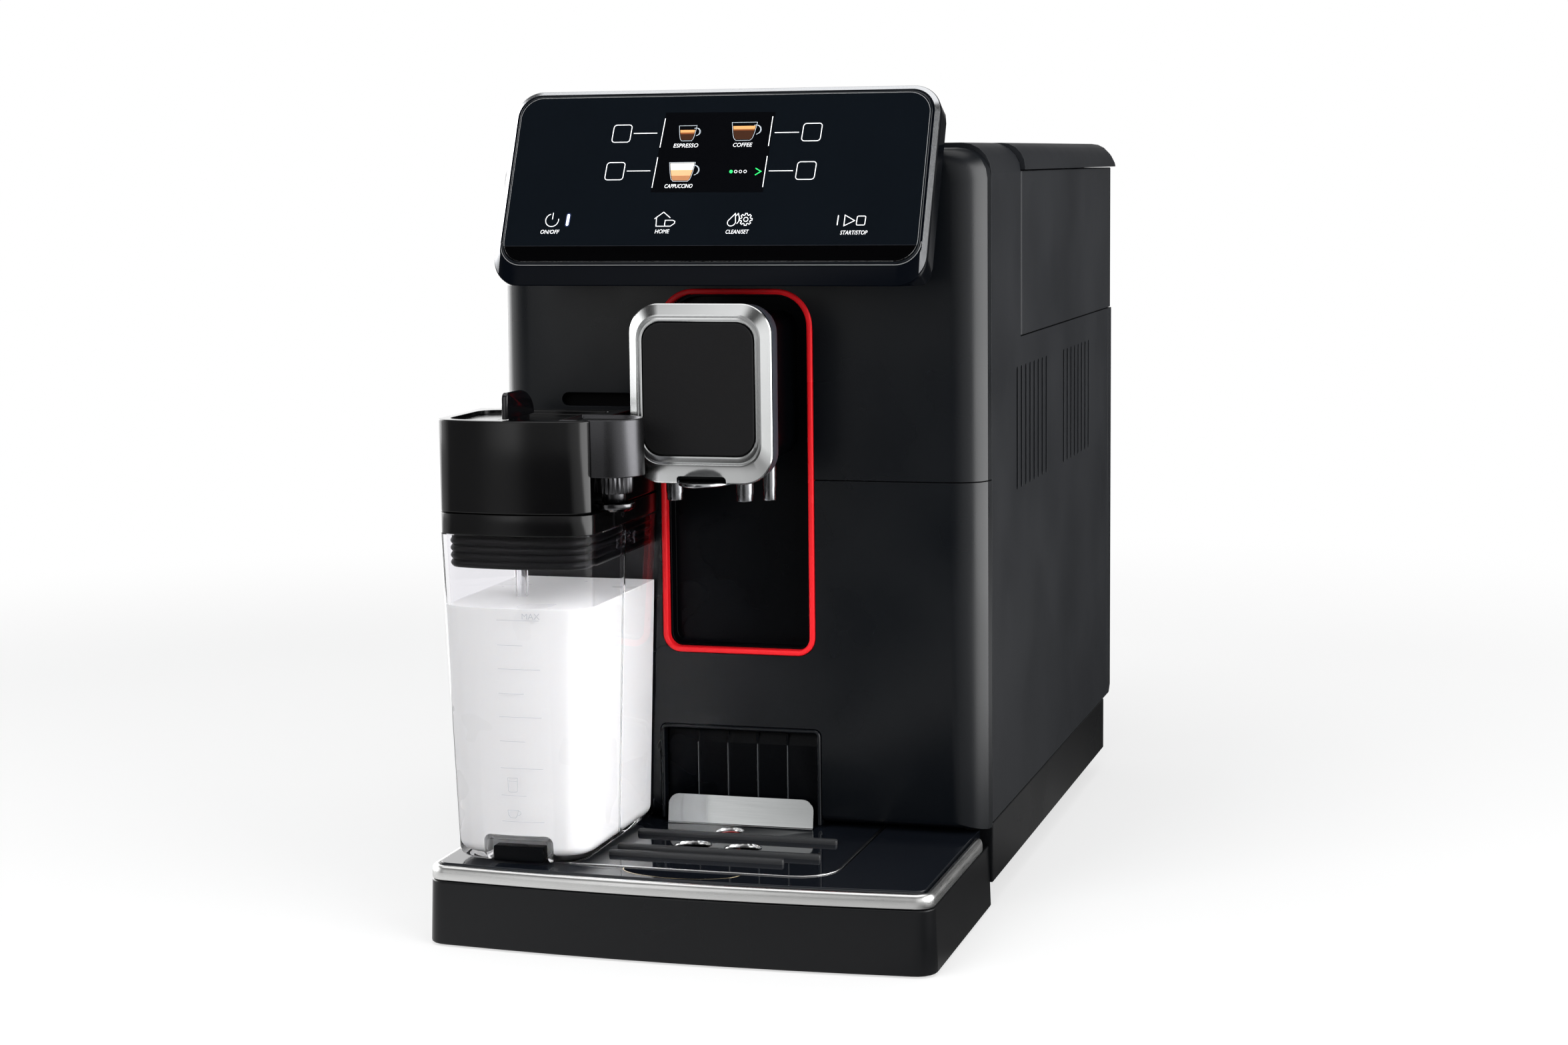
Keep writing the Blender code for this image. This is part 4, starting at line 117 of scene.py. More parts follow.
class NodeSheet:
    """Lays out the shader nodes of one material or of the world."""

    def __init__(self, owner: bpy.types.Material | bpy.types.World) -> None:
        """Start without nodes.

        Args:
            owner: the empty material or world.
        """
        self.owner = owner
        owner.use_nodes = True
        self.tree = owner.node_tree
        self.tree.nodes.clear()
        world = isinstance(owner, bpy.types.World)
        self.output = self.add("ShaderNodeOutputWorld" if world else "ShaderNodeOutputMaterial")
        self.place = self.add("ShaderNodeTexCoord").outputs["Generated" if world else "Object"]

    def add(self, kind: str, inputs: dict | None = None, **settings: object) -> bpy.types.Node:
        """Add a node.

        Args:
            kind: Blender's name of the node type.
            inputs: value, or socket to link from, for each named or numbered input.
            settings: properties of the node itself.

        Returns:
            The new node.
        """
        node = self.tree.nodes.new(kind)
        for key, value in settings.items():
            setattr(node, key, value)
        for key, value in (inputs or {}).items():
            if isinstance(value, Socket):
                self.tree.links.new(value, node.inputs[key])
            else:
                node.inputs[key].default_value = value
        return node

    def noise(self, size: float, detail: float = 2.0, stretch: Point = (1, 1, 1)) -> Socket:
        """Smooth random pattern.

        Args:
            size: length of one blotch in metres.
            detail: finer layers in it.
            stretch: how much longer the pattern is along each axis.

        Returns:
            Socket with a value that varies around one half.
        """
        scale = tuple(1 / part for part in stretch)
        place = self.add("ShaderNodeMapping", {"Vector": self.place, "Scale": scale}).outputs[0]
        inputs = {"Vector": place, "Scale": 1 / size, "Detail": detail}
        return self.add("ShaderNodeTexNoise", inputs).outputs[0]

    def remap(self, value: Socket, low: float, high: float) -> Socket:
        """Spread the middle shades of a pattern from a low to a high value."""
        start, end = MIDDLE_SHADES
        return self.add("ShaderNodeMapRange", {"Value": value, "From Min": start, "From Max": end,
                                               "To Min": low, "To Max": high}).outputs[0]

    def tint(self, pattern: Socket, colour: Colour, spread: float) -> Socket:
        """Colour that wanders a little round its mean.

        Args:
            pattern: pattern between 0 and 1.
            colour: mean colour.
            spread: share by which it wanders.

        Returns:
            Socket with the colour.
        """
        dark = tuple(part * (1 - spread) for part in colour)
        bright = tuple(min(part * (1 + spread), 1) for part in colour)
        mix = self.add("ShaderNodeMix", {0: pattern, 6: (*dark, 1), 7: (*bright, 1)}, data_type="RGBA")
        return mix.outputs[2]

    def relief(self, pattern: Socket, depth: float,
               under: Socket | None = None) -> Socket:
        """Normals of a fine relief.

        Args:
            pattern: height between 0 and 1.
            depth: height of the relief in metres.
            under: normals that it lies on.

        Returns:
            Socket with the normals.
        """
        inputs = {"Height": pattern, "Distance": depth}
        if under:
            inputs["Normal"] = under
        return self.add("ShaderNodeBump", inputs).outputs[0]

    def blend(self, share: Socket, first: object, second: object) -> Socket:
        """Value between two others, by the share of the second."""
        return self.add("ShaderNodeMix", {0: share, 2: first, 3: second}).outputs[0]

    def combine(self, operation: str, first: object, second: object) -> Socket:
        """Result of a named operation on two values or sockets."""
        return self.add("ShaderNodeMath", {0: first, 1: second}, operation=operation).outputs[0]

    def glow(self, strength: object) -> Socket:
        """Shader that gives white light of its own."""
        return self.add("ShaderNodeEmission", {"Strength": strength}).outputs[0]

    def between(self, share: object, first: Socket, second: Socket) -> Socket:
        """Shader between two others, by the share of the second."""
        return self.add("ShaderNodeMixShader", {0: share, 1: first, 2: second}).outputs[0]

    def ramp(self, value: Socket, low: float, high: float) -> Socket:
        """Smooth step from 0 to 1 between two values."""
        return self.add("ShaderNodeMapRange", {"Value": value, "From Min": low, "From Max": high},
                        interpolation_type="SMOOTHSTEP").outputs[0]

    def around(self, stops: Sequence[Flat]) -> Socket:
        """Level that changes with the direction round the upright axis.

        Args:
            stops: angle in degrees from the front, positive to the right, and level from there on.

        Returns:
            Socket with the level.
        """
        x, y, _ = self.add("ShaderNodeSeparateXYZ", {0: self.place}).outputs
        turn = self.combine("ARCTAN2", x, self.combine("MULTIPLY", y, -1.0))
        share = self.add("ShaderNodeMapRange", {"Value": turn, "From Min": -pi,
                                                "From Max": pi}).outputs[0]
        top = max(level for _, level in stops)
        band = self.add("ShaderNodeValToRGB", {0: share})
        points = band.color_ramp.elements
        while len(points) < len(stops):
            points.new(1.0)
        for point, (angle, level) in zip(points, stops):
            point.position = (angle + 180) / 360
            point.color = (level / top, level / top, level / top, 1)
        return self.combine("MULTIPLY", band.outputs[0], top)

    def close(self, shader: Socket) -> bpy.types.ID:
        """Link the last shader and return what it belongs to."""
        self.tree.links.new(shader, self.output.inputs[0])
        return self.owner

    def surface(self, **sockets: object) -> Material:
        """Close the material with a Principled shader, whose inputs have underscores for spaces."""
        inputs = {key.replace("_", " "): value for key, value in sockets.items()}
        return self.close(self.add("ShaderNodeBsdfPrincipled", inputs).outputs[0])


@dataclass(frozen=True)
class Finish:
    """What all finishes share.

    Attributes:
        name: name of the material.
        colour: base colour.
        roughness: mean roughness.
    """

    name: str
    colour: Colour
    roughness: float

    def material(self) -> Material:
        """Return the material of this finish, made on first use."""
        name = f"{self.name}_finish"
        return bpy.data.materials.get(name) or self.build(NodeSheet(bpy.data.materials.new(name)))

    def build(self, sheet: NodeSheet) -> Material:
        """Lay out the nodes on an empty sheet and return the finished material."""
        raise NotImplementedError(self.name)


@dataclass(frozen=True)
class MouldedPlastic(Finish):
    """Plastic with the fine spark-eroded grain of a mould.

    Attributes:
        grain: size of one grain in metres.
        depth: height of the grain in metres.
        specular: level of the mirror part.
        handling: spread of the roughness where hands polish it.
    """

    grain: float = 0.45 * MM
    depth: float = 0.012 * MM
    specular: float = 0.4
    handling: float = 0.06

    def build(self, sheet: NodeSheet) -> Material:
        """Grain, polish and a slight change of tone."""
        clouds = sheet.noise(60 * MM, 3)
        tone = sheet.tint(clouds, self.colour, 0.1)
        grain = sheet.noise(self.grain, 2)
        cells = {"Vector": sheet.place, "Scale": 0.6 / self.grain}
        pits = sheet.add("ShaderNodeTexVoronoi", cells).outputs[0]
        fine = sheet.relief(grain, self.depth)
        normal = sheet.relief(pits, self.depth / 2, fine)
        rough = sheet.remap(clouds, self.roughness - self.handling, self.roughness + self.handling)
        return sheet.surface(Base_Color=tone, Roughness=rough, Normal=normal, IOR=1.46,
                             Specular_IOR_Level=self.specular)


@dataclass(frozen=True)
class PolishedPlastic(Finish):
    """High gloss moulding with faint waves from the mould and hairline wipe marks.

    Attributes:
        specular: level of the mirror part.
        wave: height of the waves in metres.
    """

    specular: float = 0.5
    wave: float = 0.02 * MM

    def build(self, sheet: NodeSheet) -> Material:
        """Waves, wipe marks and a slight change of tone."""
        waves = sheet.noise(22 * MM, 1)
        wipes = sheet.noise(0.5 * MM, 2, (24, 1, 6))
        tone = sheet.tint(waves, self.colour, 0.08)
        rough = sheet.remap(wipes, self.roughness * 0.75, self.roughness * 1.35)
        return sheet.surface(Base_Color=tone, Roughness=rough, Normal=sheet.relief(waves, self.wave),
                             IOR=1.5, Specular_IOR_Level=self.specular)


@dataclass(frozen=True)
class BrushedMetal(Finish):
    """Metal, or plastic with a metal layer, with drawn lines.

    Attributes:
        lines: how far the drawn lines run along each axis, in line widths.
        depth: height of the lines in metres.
        spread: how much the roughness varies from line to line.
    """

    lines: Point = (60, 1, 1)
    depth: float = 0.003 * MM
    spread: float = 0.07

    def build(self, sheet: NodeSheet) -> Material:
        """Drawn lines over slow clouds."""
        drawn = sheet.noise(0.22 * MM, 3, self.lines)
        clouds = sheet.noise(18 * MM, 2)
        tone = sheet.tint(clouds, self.colour, 0.05)
        rough = sheet.remap(drawn, self.roughness - self.spread, self.roughness + self.spread)
        return sheet.surface(Base_Color=tone, Metallic=1.0, Roughness=rough,
                             Normal=sheet.relief(drawn, self.depth))


@dataclass(frozen=True)
class ClearPlastic(Finish):
    """See-through moulding with soft flow lines.

    Attributes:
        flow: height of the flow lines in metres.
        ior: index of refraction.
    """

    flow: float = 0.01 * MM
    ior: float = 1.49

    def build(self, sheet: NodeSheet) -> Material:
        """Flow lines in a tinted clear body."""
        lines = sheet.noise(14 * MM, 1, (1, 1, 3))
        smears = sheet.noise(40 * MM, 2)
        rough = sheet.remap(smears, self.roughness * 0.5, self.roughness * 1.5)
        return sheet.surface(Base_Color=sheet.tint(smears, self.colour, 0.015), Roughness=rough,
                             Normal=sheet.relief(lines, self.flow), Transmission_Weight=1.0,
                             IOR=self.ior, Specular_IOR_Level=0.18)


@dataclass(frozen=True)
class MilkFilm(Finish):
    """Milk: white, a little translucent, with a soft skin; its top, where froth lies, glows with painted
    light.

    Attributes:
        painted_glow_turn: how far a face looks up where the painted glow starts, and where it is full.
        painted_top_glow: strength of the painted light that those upward faces give off.
    """

    painted_glow_turn: Flat = (0.5, 0.9)
    painted_top_glow: float = 0.3

    def build(self, sheet: NodeSheet) -> Material:
        """Slow clouds of cream in white, with painted light glowing from the faces that look up."""
        cream = sheet.noise(30 * MM, 2)
        tone = sheet.tint(cream, self.colour, 0.015)
        facing = sheet.add("ShaderNodeNewGeometry").outputs["Normal"]
        upward = sheet.add("ShaderNodeSeparateXYZ", {0: facing}).outputs[2]
        # Painted light: faces that look up glow so that the milk's top reads bright, though the milk is no
        # lamp.
        painted_top_light = sheet.blend(sheet.ramp(upward, *self.painted_glow_turn), 0.0, self.painted_top_glow)
        rough = sheet.remap(cream, self.roughness - 0.05, self.roughness + 0.1)
        return sheet.surface(Base_Color=tone, Roughness=rough, IOR=1.35,
                             Emission_Color=(1.0, 1.0, 1.0, 1.0), Emission_Strength=painted_top_light,
                             Normal=sheet.relief(cream, 0.05 * MM), Subsurface_Weight=0.25,
                             Subsurface_Radius=(1.0, 0.9, 0.8), Subsurface_Scale=1.5 * MM)


@dataclass(frozen=True)
class SoftRubber(Finish):
    """Matt rubber with a dusty bloom."""

    def build(self, sheet: NodeSheet) -> Material:
        """Bloom and a coarse skin."""
        bloom = sheet.noise(5 * MM, 3)
        skin = sheet.noise(0.6 * MM, 2)
        return sheet.surface(Base_Color=sheet.tint(bloom, self.colour, 0.3), IOR=1.5,
                             Roughness=sheet.remap(bloom, self.roughness - 0.1, self.roughness + 0.1),
                             Normal=sheet.relief(skin, 0.02 * MM), Specular_IOR_Level=0.35)


@dataclass(frozen=True)
class LitPrint(Finish):
    """Printed or backlit marks.

    Attributes:
        glow: strength of their own light.
        fade: length over which the print's density drifts, in metres.
    """

    glow: float = 0.0
    fade: float = 4 * MM

    def build(self, sheet: NodeSheet) -> Material:
        """Print of slightly uneven density."""
        density = sheet.noise(self.fade, 2)
        tone = sheet.tint(density, self.colour, 0.06)
        return sheet.surface(Base_Color=tone, Roughness=self.roughness, Specular_IOR_Level=0.2,
                             Emission_Color=tone, Emission_Strength=self.glow,
                             Normal=sheet.relief(density, 0.004 * MM))


SIDE_SATIN = MouldedPlastic("side_satin", (0.0085, 0.0095, 0.0115), 0.45, specular=0.3)
COVER_SATIN = MouldedPlastic("cover_satin", (0.0022, 0.0031, 0.0046), 0.3, specular=0.46)
TRAY_SATIN = MouldedPlastic("tray_satin", (0.004, 0.0043, 0.005), 0.24, specular=0.36)
INSERT_SATIN = MouldedPlastic("insert_satin", (0.005, 0.005, 0.0055), 0.55, grain=0.6 * MM, specular=0.3,
                              depth=0.03 * MM)
INNER_PLASTIC = MouldedPlastic("inner_plastic", (0.03, 0.032, 0.035), 0.5)
BREW_PLASTIC = MouldedPlastic("brew_plastic", (0.16, 0.165, 0.17), 0.45)
SLOT_BLACK = MouldedPlastic("slot_black", (0.0012, 0.0012, 0.0014), 0.7, specular=0.1)
PIANO_BLACK = PolishedPlastic("piano_black", (0.0012, 0.0018, 0.0032), 0.09, specular=0.05)
LID_METAL = MouldedPlastic("lid_metal", (0.002, 0.002, 0.0022), 0.17, specular=0.42, depth=0.002 * MM,
                           handling=0.02)
TAB_BLACK = PolishedPlastic("tab_black", (0.004, 0.004, 0.005), 0.12, specular=0.6)
# Painted highlight: grey far lighter than the container, standing in for the bright lines on its ridges; the
# gloss is real.
CREST_GLINT = PolishedPlastic("crest_glint", (0.06, 0.065, 0.07), 0.12, specular=0.8)
# Painted sheen: lighter bluish grey standing in for the highlights on the spout head's glossy black sides.
HEAD_SHEEN = MouldedPlastic("head_sheen", (0.040, 0.044, 0.056), 0.35, specular=0.5)
RIB_SATIN = MouldedPlastic("rib_satin", (0.020, 0.021, 0.023), 0.38, specular=0.5)
SLIDE_BLACK = MouldedPlastic("slide_black", (0.0010, 0.0013, 0.0020), 0.3, specular=0.1)
COVER_GLOSS = PolishedPlastic("cover_gloss", (0.006, 0.0075, 0.011), 0.05, specular=0.55, wave=0.01 * MM)
GRILLE_GLOSS = PolishedPlastic("grille_gloss", (0.006, 0.0075, 0.011), 0.05, specular=1.0, wave=0.01 * MM)
PANEL_GLASS = PolishedPlastic("panel_glass", (0.0028, 0.0042, 0.0062), 0.045, specular=0.3, wave=0.004 * MM)
PANEL_STRIP = PolishedPlastic("panel_strip", (0.0004, 0.0004, 0.0006), 0.05, specular=0.25,
                              wave=0.004 * MM)
SCREEN_BLACK = PolishedPlastic("screen_black", (0.0002, 0.0002, 0.0002), 0.08, specular=0.2, wave=0.002 * MM)
TRIM_RED = MouldedPlastic("trim_red", (0.85, 0.013, 0.02), 0.3, specular=0.3, depth=0.002 * MM)
SATIN_SILVER = BrushedMetal("satin_silver", (0.72, 0.73, 0.73), 0.2, EVEN, FAINT, 0.03)
LIP_SILVER = BrushedMetal("lip_silver", (0.48, 0.49, 0.50), 0.2, EVEN, FAINT, 0.03)
BEZEL_SILVER = BrushedMetal("bezel_silver", (0.62, 0.63, 0.65), 0.2, (1, 1, 40))
# Silver for the bright line over the chin, and for the painted highlight along the glass's edge.
EDGE_SILVER_AND_GLINT = BrushedMetal("edge_silver_and_glint", (0.78, 0.79, 0.80), 0.4, EVEN, FAINT)
MIRROR_STEEL = BrushedMetal("mirror_steel", (0.80, 0.80, 0.80), 0.24, (80, 1, 1), FAINT, 0.03)
# Painted shade: steel darkened well below the mirror steel, standing in for the dark surroundings that the
# upright plate reflects.
SHADED_PLATE_STEEL = BrushedMetal("shaded_plate_steel", (0.36, 0.37, 0.37), 0.1, (80, 1, 1), FAINT, 0.03)
BAND_STEEL = BrushedMetal("band_steel", (0.88, 0.88, 0.87), 0.3, lines=(60, 60, 1), spread=0.04)
HOLE_STEEL = BrushedMetal("hole_steel", (0.78, 0.78, 0.78), 0.15, lines=(8, 8, 1), spread=0.04)
OUTLET_STEEL = BrushedMetal("outlet_steel", (0.26, 0.265, 0.275), 0.24, lines=(1, 1, 30), spread=0.05)
RIB_STEEL = BrushedMetal("rib_steel", (0.10, 0.10, 0.105), 0.3, lines=(1, 1, 30))
SLOT_BRASS = BrushedMetal("slot_brass", (0.80, 0.66, 0.42), 0.2, lines=(8, 8, 1), spread=0.05)
DARK_CHROME = BrushedMetal("dark_chrome", (0.16, 0.16, 0.165), 0.16, EVEN, spread=0.04)
HEAD_METAL = BrushedMetal("head_metal", (0.085, 0.085, 0.09), 0.34, EVEN, 0.006 * MM, 0.1)
BOILER_STEEL = BrushedMetal("boiler_steel", (0.5, 0.5, 0.5), 0.35, lines=(1, 60, 1))
CLEAR = ClearPlastic("clear", (0.965, 0.96, 0.98), 0.02, ior=1.15)
TUBE_CLEAR = ClearPlastic("tube_clear", (0.93, 0.93, 0.94), 0.05)
LATCH_CLEAR = ClearPlastic("latch_clear", (0.86, 0.85, 0.97), 0.12)
SMOKE = ClearPlastic("smoke", (0.10, 0.10, 0.11), 0.06)
MILK = MilkFilm("milk_film", (0.72, 0.72, 0.72), 0.3)
RUBBER = SoftRubber("rubber", (0.010, 0.010, 0.011), 0.6)
SEAL_RUBBER = MouldedPlastic("seal_rubber", (0.003, 0.003, 0.0035), 0.35, specular=0.08)
PRINT_WHITE = LitPrint("print_white", (0.75, 0.76, 0.78), 0.5, glow=0.5)
DIM_LINE = LitPrint("dim_line", (0.02, 0.022, 0.028), 0.4)
MARK_GREY = LitPrint("mark_grey", (0.42, 0.43, 0.46), 0.4)
LED_HALO = LitPrint("led_halo", (0.02, 0.03, 0.08), 0.3, glow=0.3)
DISPLAY_BLACK = LitPrint("display_black", (0.0012, 0.0014, 0.002), 0.12, glow=0.2)
DRINK_DARK = LitPrint("drink_dark", (0.030, 0.010, 0.004), 0.3, glow=0.7, fade=2 * MM)
DRINK_WARM = LitPrint("drink_warm", (0.16, 0.045, 0.012), 0.3, glow=0.7, fade=2 * MM)
CREMA = LitPrint("crema", (0.50, 0.25, 0.09), 0.3, glow=0.6, fade=1 * MM)
LATTE = LitPrint("latte", (0.55, 0.30, 0.15), 0.3, glow=0.6, fade=2 * MM)
LATTE_DEEP = LitPrint("latte_deep", (0.32, 0.14, 0.06), 0.3, glow=0.6, fade=2 * MM)
FOAM = LitPrint("foam", (0.85, 0.80, 0.74), 0.3, glow=0.5, fade=1 * MM)
CUP_GLASS = LitPrint("cup_glass", (0.42, 0.46, 0.50), 0.2, glow=0.6, fade=2 * MM)
LED_WHITE = LitPrint("led_white", (0.80, 0.87, 1.0), 0.3, glow=1.4)
LED_GREEN = LitPrint("led_green", (0.02, 0.62, 0.12), 0.3, glow=0.9)
FLOAT_RED = LitPrint("float_red", (0.60, 0.02, 0.02), 0.4)


def new_object(name: str, data: bpy.types.ID) -> Piece:
    """Make an object in the scene.

    Args:
        name: its name.
        data: its mesh, letters, light or camera.

    Returns:
        The object.
    """
    item = bpy.data.objects.new(name, data)
    bpy.context.scene.collection.objects.link(item)
    return item


def applied_mesh(item: Piece) -> bpy.types.Mesh:
    """New mesh of an object with its modifiers applied."""
    bpy.context.view_layer.update()
    return bpy.data.meshes.new_from_object(item.evaluated_get(bpy.context.evaluated_depsgraph_get()))


def mesh_piece(name: str, build: Shape, finish: Finish, sharp: float = SHARP) -> Piece:
    """Turn a bmesh into a dressed object.

    Args:
        name: name of the piece.
        build: its shape, which is freed.
        finish: its finish.
        sharp: angle in degrees above which an edge stays sharp.

    Returns:
        The new object.
    """
    bmesh.ops.recalc_face_normals(build, faces=build.faces)
    mesh = bpy.data.meshes.new(name)
    build.to_mesh(mesh)
    build.free()
    mesh.materials.append(finish.material())
    mesh.shade_smooth()
    mesh.set_sharp_from_angle(angle=radians(sharp))
    return new_object(name, mesh)


def skin(build: Shape, rings: Sequence[Sequence[Point]], closed: bool = False) -> None:
    """Add a closed shape that joins rings of as many points each.

    Args:
        build: shape that it is added to.
        rings: rings of points, in order.
        closed: whether the last ring joins the first, instead of both ends being capped.
    """
    loops = [[build.verts.new(point) for point in ring] for ring in rings]
    pairs = list(zip(loops, loops[1:]))
    if closed:
        pairs.append((loops[-1], loops[0]))
    for low, high in pairs:
        for k in range(len(low)):
            n = (k + 1) % len(low)
            build.faces.new((low[k], low[n], high[n], high[k]))
    if not closed:
        build.faces.new(loops[0])
        build.faces.new(loops[-1])


def loft(name: str, rings: Sequence[Ring], finish: Finish, closed: bool = False,
         sharp: float = SHARP) -> Piece:
    """Skin over rings of as many points each.

    Args:
        name: name of the piece.
        rings: rings of points, in order.
        finish: its finish.
        closed: whether the last ring joins the first, instead of both ends being capped.
        sharp: angle in degrees above which an edge stays sharp.

    Returns:
        The new object.
    """
    build = bmesh.new()
    skin(build, rings, closed)
    return mesh_piece(name, build, finish, sharp)


def slab(name: str, outline: Callable[[float], list[Flat]], axis: Axis, low: float, high: float,
         ease: float, finish: Finish) -> Piece:
    """Body between two levels with rounded rims.

    Args:
        name: name of the piece.
        outline: gives its outline at an inset.
        axis: direction between the two levels.
        low: lower level.
        high: upper level.
        ease: radius of the rims.
        finish: its finish.

    Returns:
        The new object.
    """
    turns = [pi / 2 * k / RIM_STEPS for k in range(RIM_STEPS + 1)]
    drawn = [(ease * (1 - sin(turn)), ease * (1 - cos(turn))) for turn in turns]
    rings = [lay(outline(inset), axis, low + rise) for inset, rise in drawn]
    rings += [lay(outline(inset), axis, high - rise) for inset, rise in reversed(drawn)]
    return loft(name, rings, finish, sharp=50)


def prism(name: str, outline: Sequence[Flat], axis: Axis, low: float, high: float,
          finish: Finish) -> Piece:
    """Straight body with sharp rims between two levels along an axis."""
    return loft(name, [lay(outline, axis, level) for level in (low, high)], finish)


def lay(points: Iterable[Flat], axis: Axis, level: float) -> Ring:
    """Put flat points at a level along an axis.

    Args:
        points: flat points.
        axis: the axis.
        level: place along it.

    Returns:
        The points in space.
    """
    if axis is Axis.X:
        return [(level, a, b) for a, b in points]
    if axis is Axis.Y:
        return [(a, level, b) for a, b in points]
    return [(a, b, level) for a, b in points]


def rounded(left: float, right: float, low: float, high: float, radii: float | Sequence[float],
            steps: int = 10) -> list[Flat]:
    """Rounded rectangle.

    Args:
        left: lower limit of the first direction.
        right: upper limit of the first direction.
        low: lower limit of the second direction.
        high: upper limit of the second direction.
        radii: one radius, or four that start at the lower left corner.
        steps: steps in each corner.

    Returns:
        Its points, anticlockwise.
    """
    four = (radii,) * 4 if isinstance(radii, (int, float)) else radii
    corners = ((left, low, 1, 1, 180), (right, low, -1, 1, 270),
               (right, high, -1, -1, 0), (left, high, 1, -1, 90))
    points = []
    for (x, y, to_x, to_y, start), radius in zip(corners, four):
        count = steps if radius else 0
        for k in range(count + 1):
            turn = radians(start + 90 * k / max(count, 1))
            points.append((x + to_x * radius + radius * cos(turn),
                           y + to_y * radius + radius * sin(turn)))
    return points


def turned(name: str, profile: Sequence[Flat], centre: Flat, finish: Finish,
           closed: bool = False) -> Piece:
    """Body turned round an upright axis.

    Args:
        name: name of the piece.
        profile: radius and height of each point.
        centre: place of the axis in X and Y.
        finish: its finish.
        closed: whether the profile joins up into a ring.

    Returns:
        The new object.
    """
    x, y = centre
    turns = [2 * pi * k / SIDES for k in range(SIDES)]
    rings = [[(x + radius * cos(turn), y + radius * sin(turn), level) for turn in turns]
             for radius, level in profile]
    return loft(name, rings, finish, closed)


def shape_with(target: Piece, tool: Piece, way: Shaping = Shaping.CUT,
               sharp: float = SHARP) -> None:
    """Change a piece with a tool, which is then removed.

    Args:
        target: piece that changes.
        tool: closed shape that changes it.
        way: how it changes it.
        sharp: angle in degrees above which an edge stays sharp.
    """
    step = target.modifiers.new("shape", "BOOLEAN")
    step.operation = way.value
    step.object = tool
    step.solver = "EXACT"
    settle(target)
    target.data.shade_smooth()
    target.data.set_sharp_from_angle(angle=radians(sharp))
    bpy.data.objects.remove(tool)


def settle(target: Piece) -> None:
    """Apply the modifiers of a piece.

    Args:
        target: the piece.
    """
    mesh = applied_mesh(target)
    target.modifiers.clear()
    target.data = mesh


def ease_edges(item: Piece, width: float, angle: float = EASED, segments: int = 3) -> None:
    """Round the edges of a piece.

    Args:
        item: piece to change.
        width: width of the rounding in metres.
        angle: least angle in degrees of an edge that is rounded.
        segments: steps of the rounding.
    """
    step = item.modifiers.new("edges", "BEVEL")
    step.width = width
    step.segments = segments
    step.limit_method = "ANGLE"
    step.angle_limit = radians(angle)
    step.harden_normals = True
    step.miter_outer = "MITER_ARC"


def body_of_node(node: str) -> str:
    """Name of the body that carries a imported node."""
    bodies = frame["record"]["behaviour"]["bodies"]
    return next(body for body, nodes in bodies.items() if node in nodes)


def carry(item: Piece, node: str, stands_for: bool = True) -> None:
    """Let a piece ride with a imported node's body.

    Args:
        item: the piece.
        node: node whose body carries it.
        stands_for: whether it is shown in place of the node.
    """
    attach(item, body_of_node(node))
    if stands_for:
        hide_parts(node)
    log.info("%s rides with %s", item.name, node)


def footprint(node: str) -> tuple[Flat, float]:
    """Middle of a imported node, seen from above, and half its width."""
    low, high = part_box(node)
    return ((low.x + high.x) / 2, (low.y + high.y) / 2), (high.x - low.x) / 2


def node_shape(node: str) -> Shape:
    """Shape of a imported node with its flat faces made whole.

    Args:
        node: name of the node.

    Returns:
        The shape, in the model's own frame.
    """
    build = bmesh.new()
    build.from_mesh(frame["nodes"][node].data)
    bmesh.ops.remove_doubles(build, verts=build.verts, dist=WELD)
    bmesh.ops.dissolve_limit(build, angle_limit=radians(1), verts=build.verts, edges=build.edges)
    return build


def soft_copy(node: str, finish: Finish, edge: float, segments: int = 3) -> None:
    """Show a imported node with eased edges.

    Args:
        node: name of the node.
        finish: its finish.
        edge: width of the rounding in metres.
        segments: steps of the rounding.
    """
    item = mesh_piece(f"{node}_shown", node_shape(node), finish)
    ease_edges(item, edge, segments=segments)
    carry(item, node)


@dataclass
class PrintedSheet:
    """Place that carries printed marks, measured in millimetres.

    Attributes:
        foot: point where both measures start.
        node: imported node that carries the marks.
        right: direction of the first measure.
        up: direction of the second measure.
        wall: curved shape that the marks are laid on, if any.
        approach: distance from which the wall is sought.
    """

    foot: Vector
    node: str
    right: Vector = field(default_factory=lambda: Vector((1, 0, 0)))
    up: Vector = field(default_factory=lambda: Vector((0, 0, 1)))
    wall: BVHTree | None = None
    approach: float = 30 * MM

    def place(self, across: float, along: float, out: float) -> Vector:
        """Find a point of the sheet.

        Args:
            across: first measure.
            along: second measure.
            out: height above the sheet.

        Returns:
            The point in metres.
        """
        normal = self.right.cross(self.up)
        point = self.foot + (self.right * across + self.up * along) * MM
        if self.wall:
            point, normal, _, _ = self.wall.ray_cast(point + normal * self.approach, -normal)
        return point + normal * out * MM

    def ring(self, outline: Iterable[Flat], out: float) -> list[Vector]:
        """Points of an outline at a height above the sheet."""
        return [self.place(x, y, out) for x, y in outline]


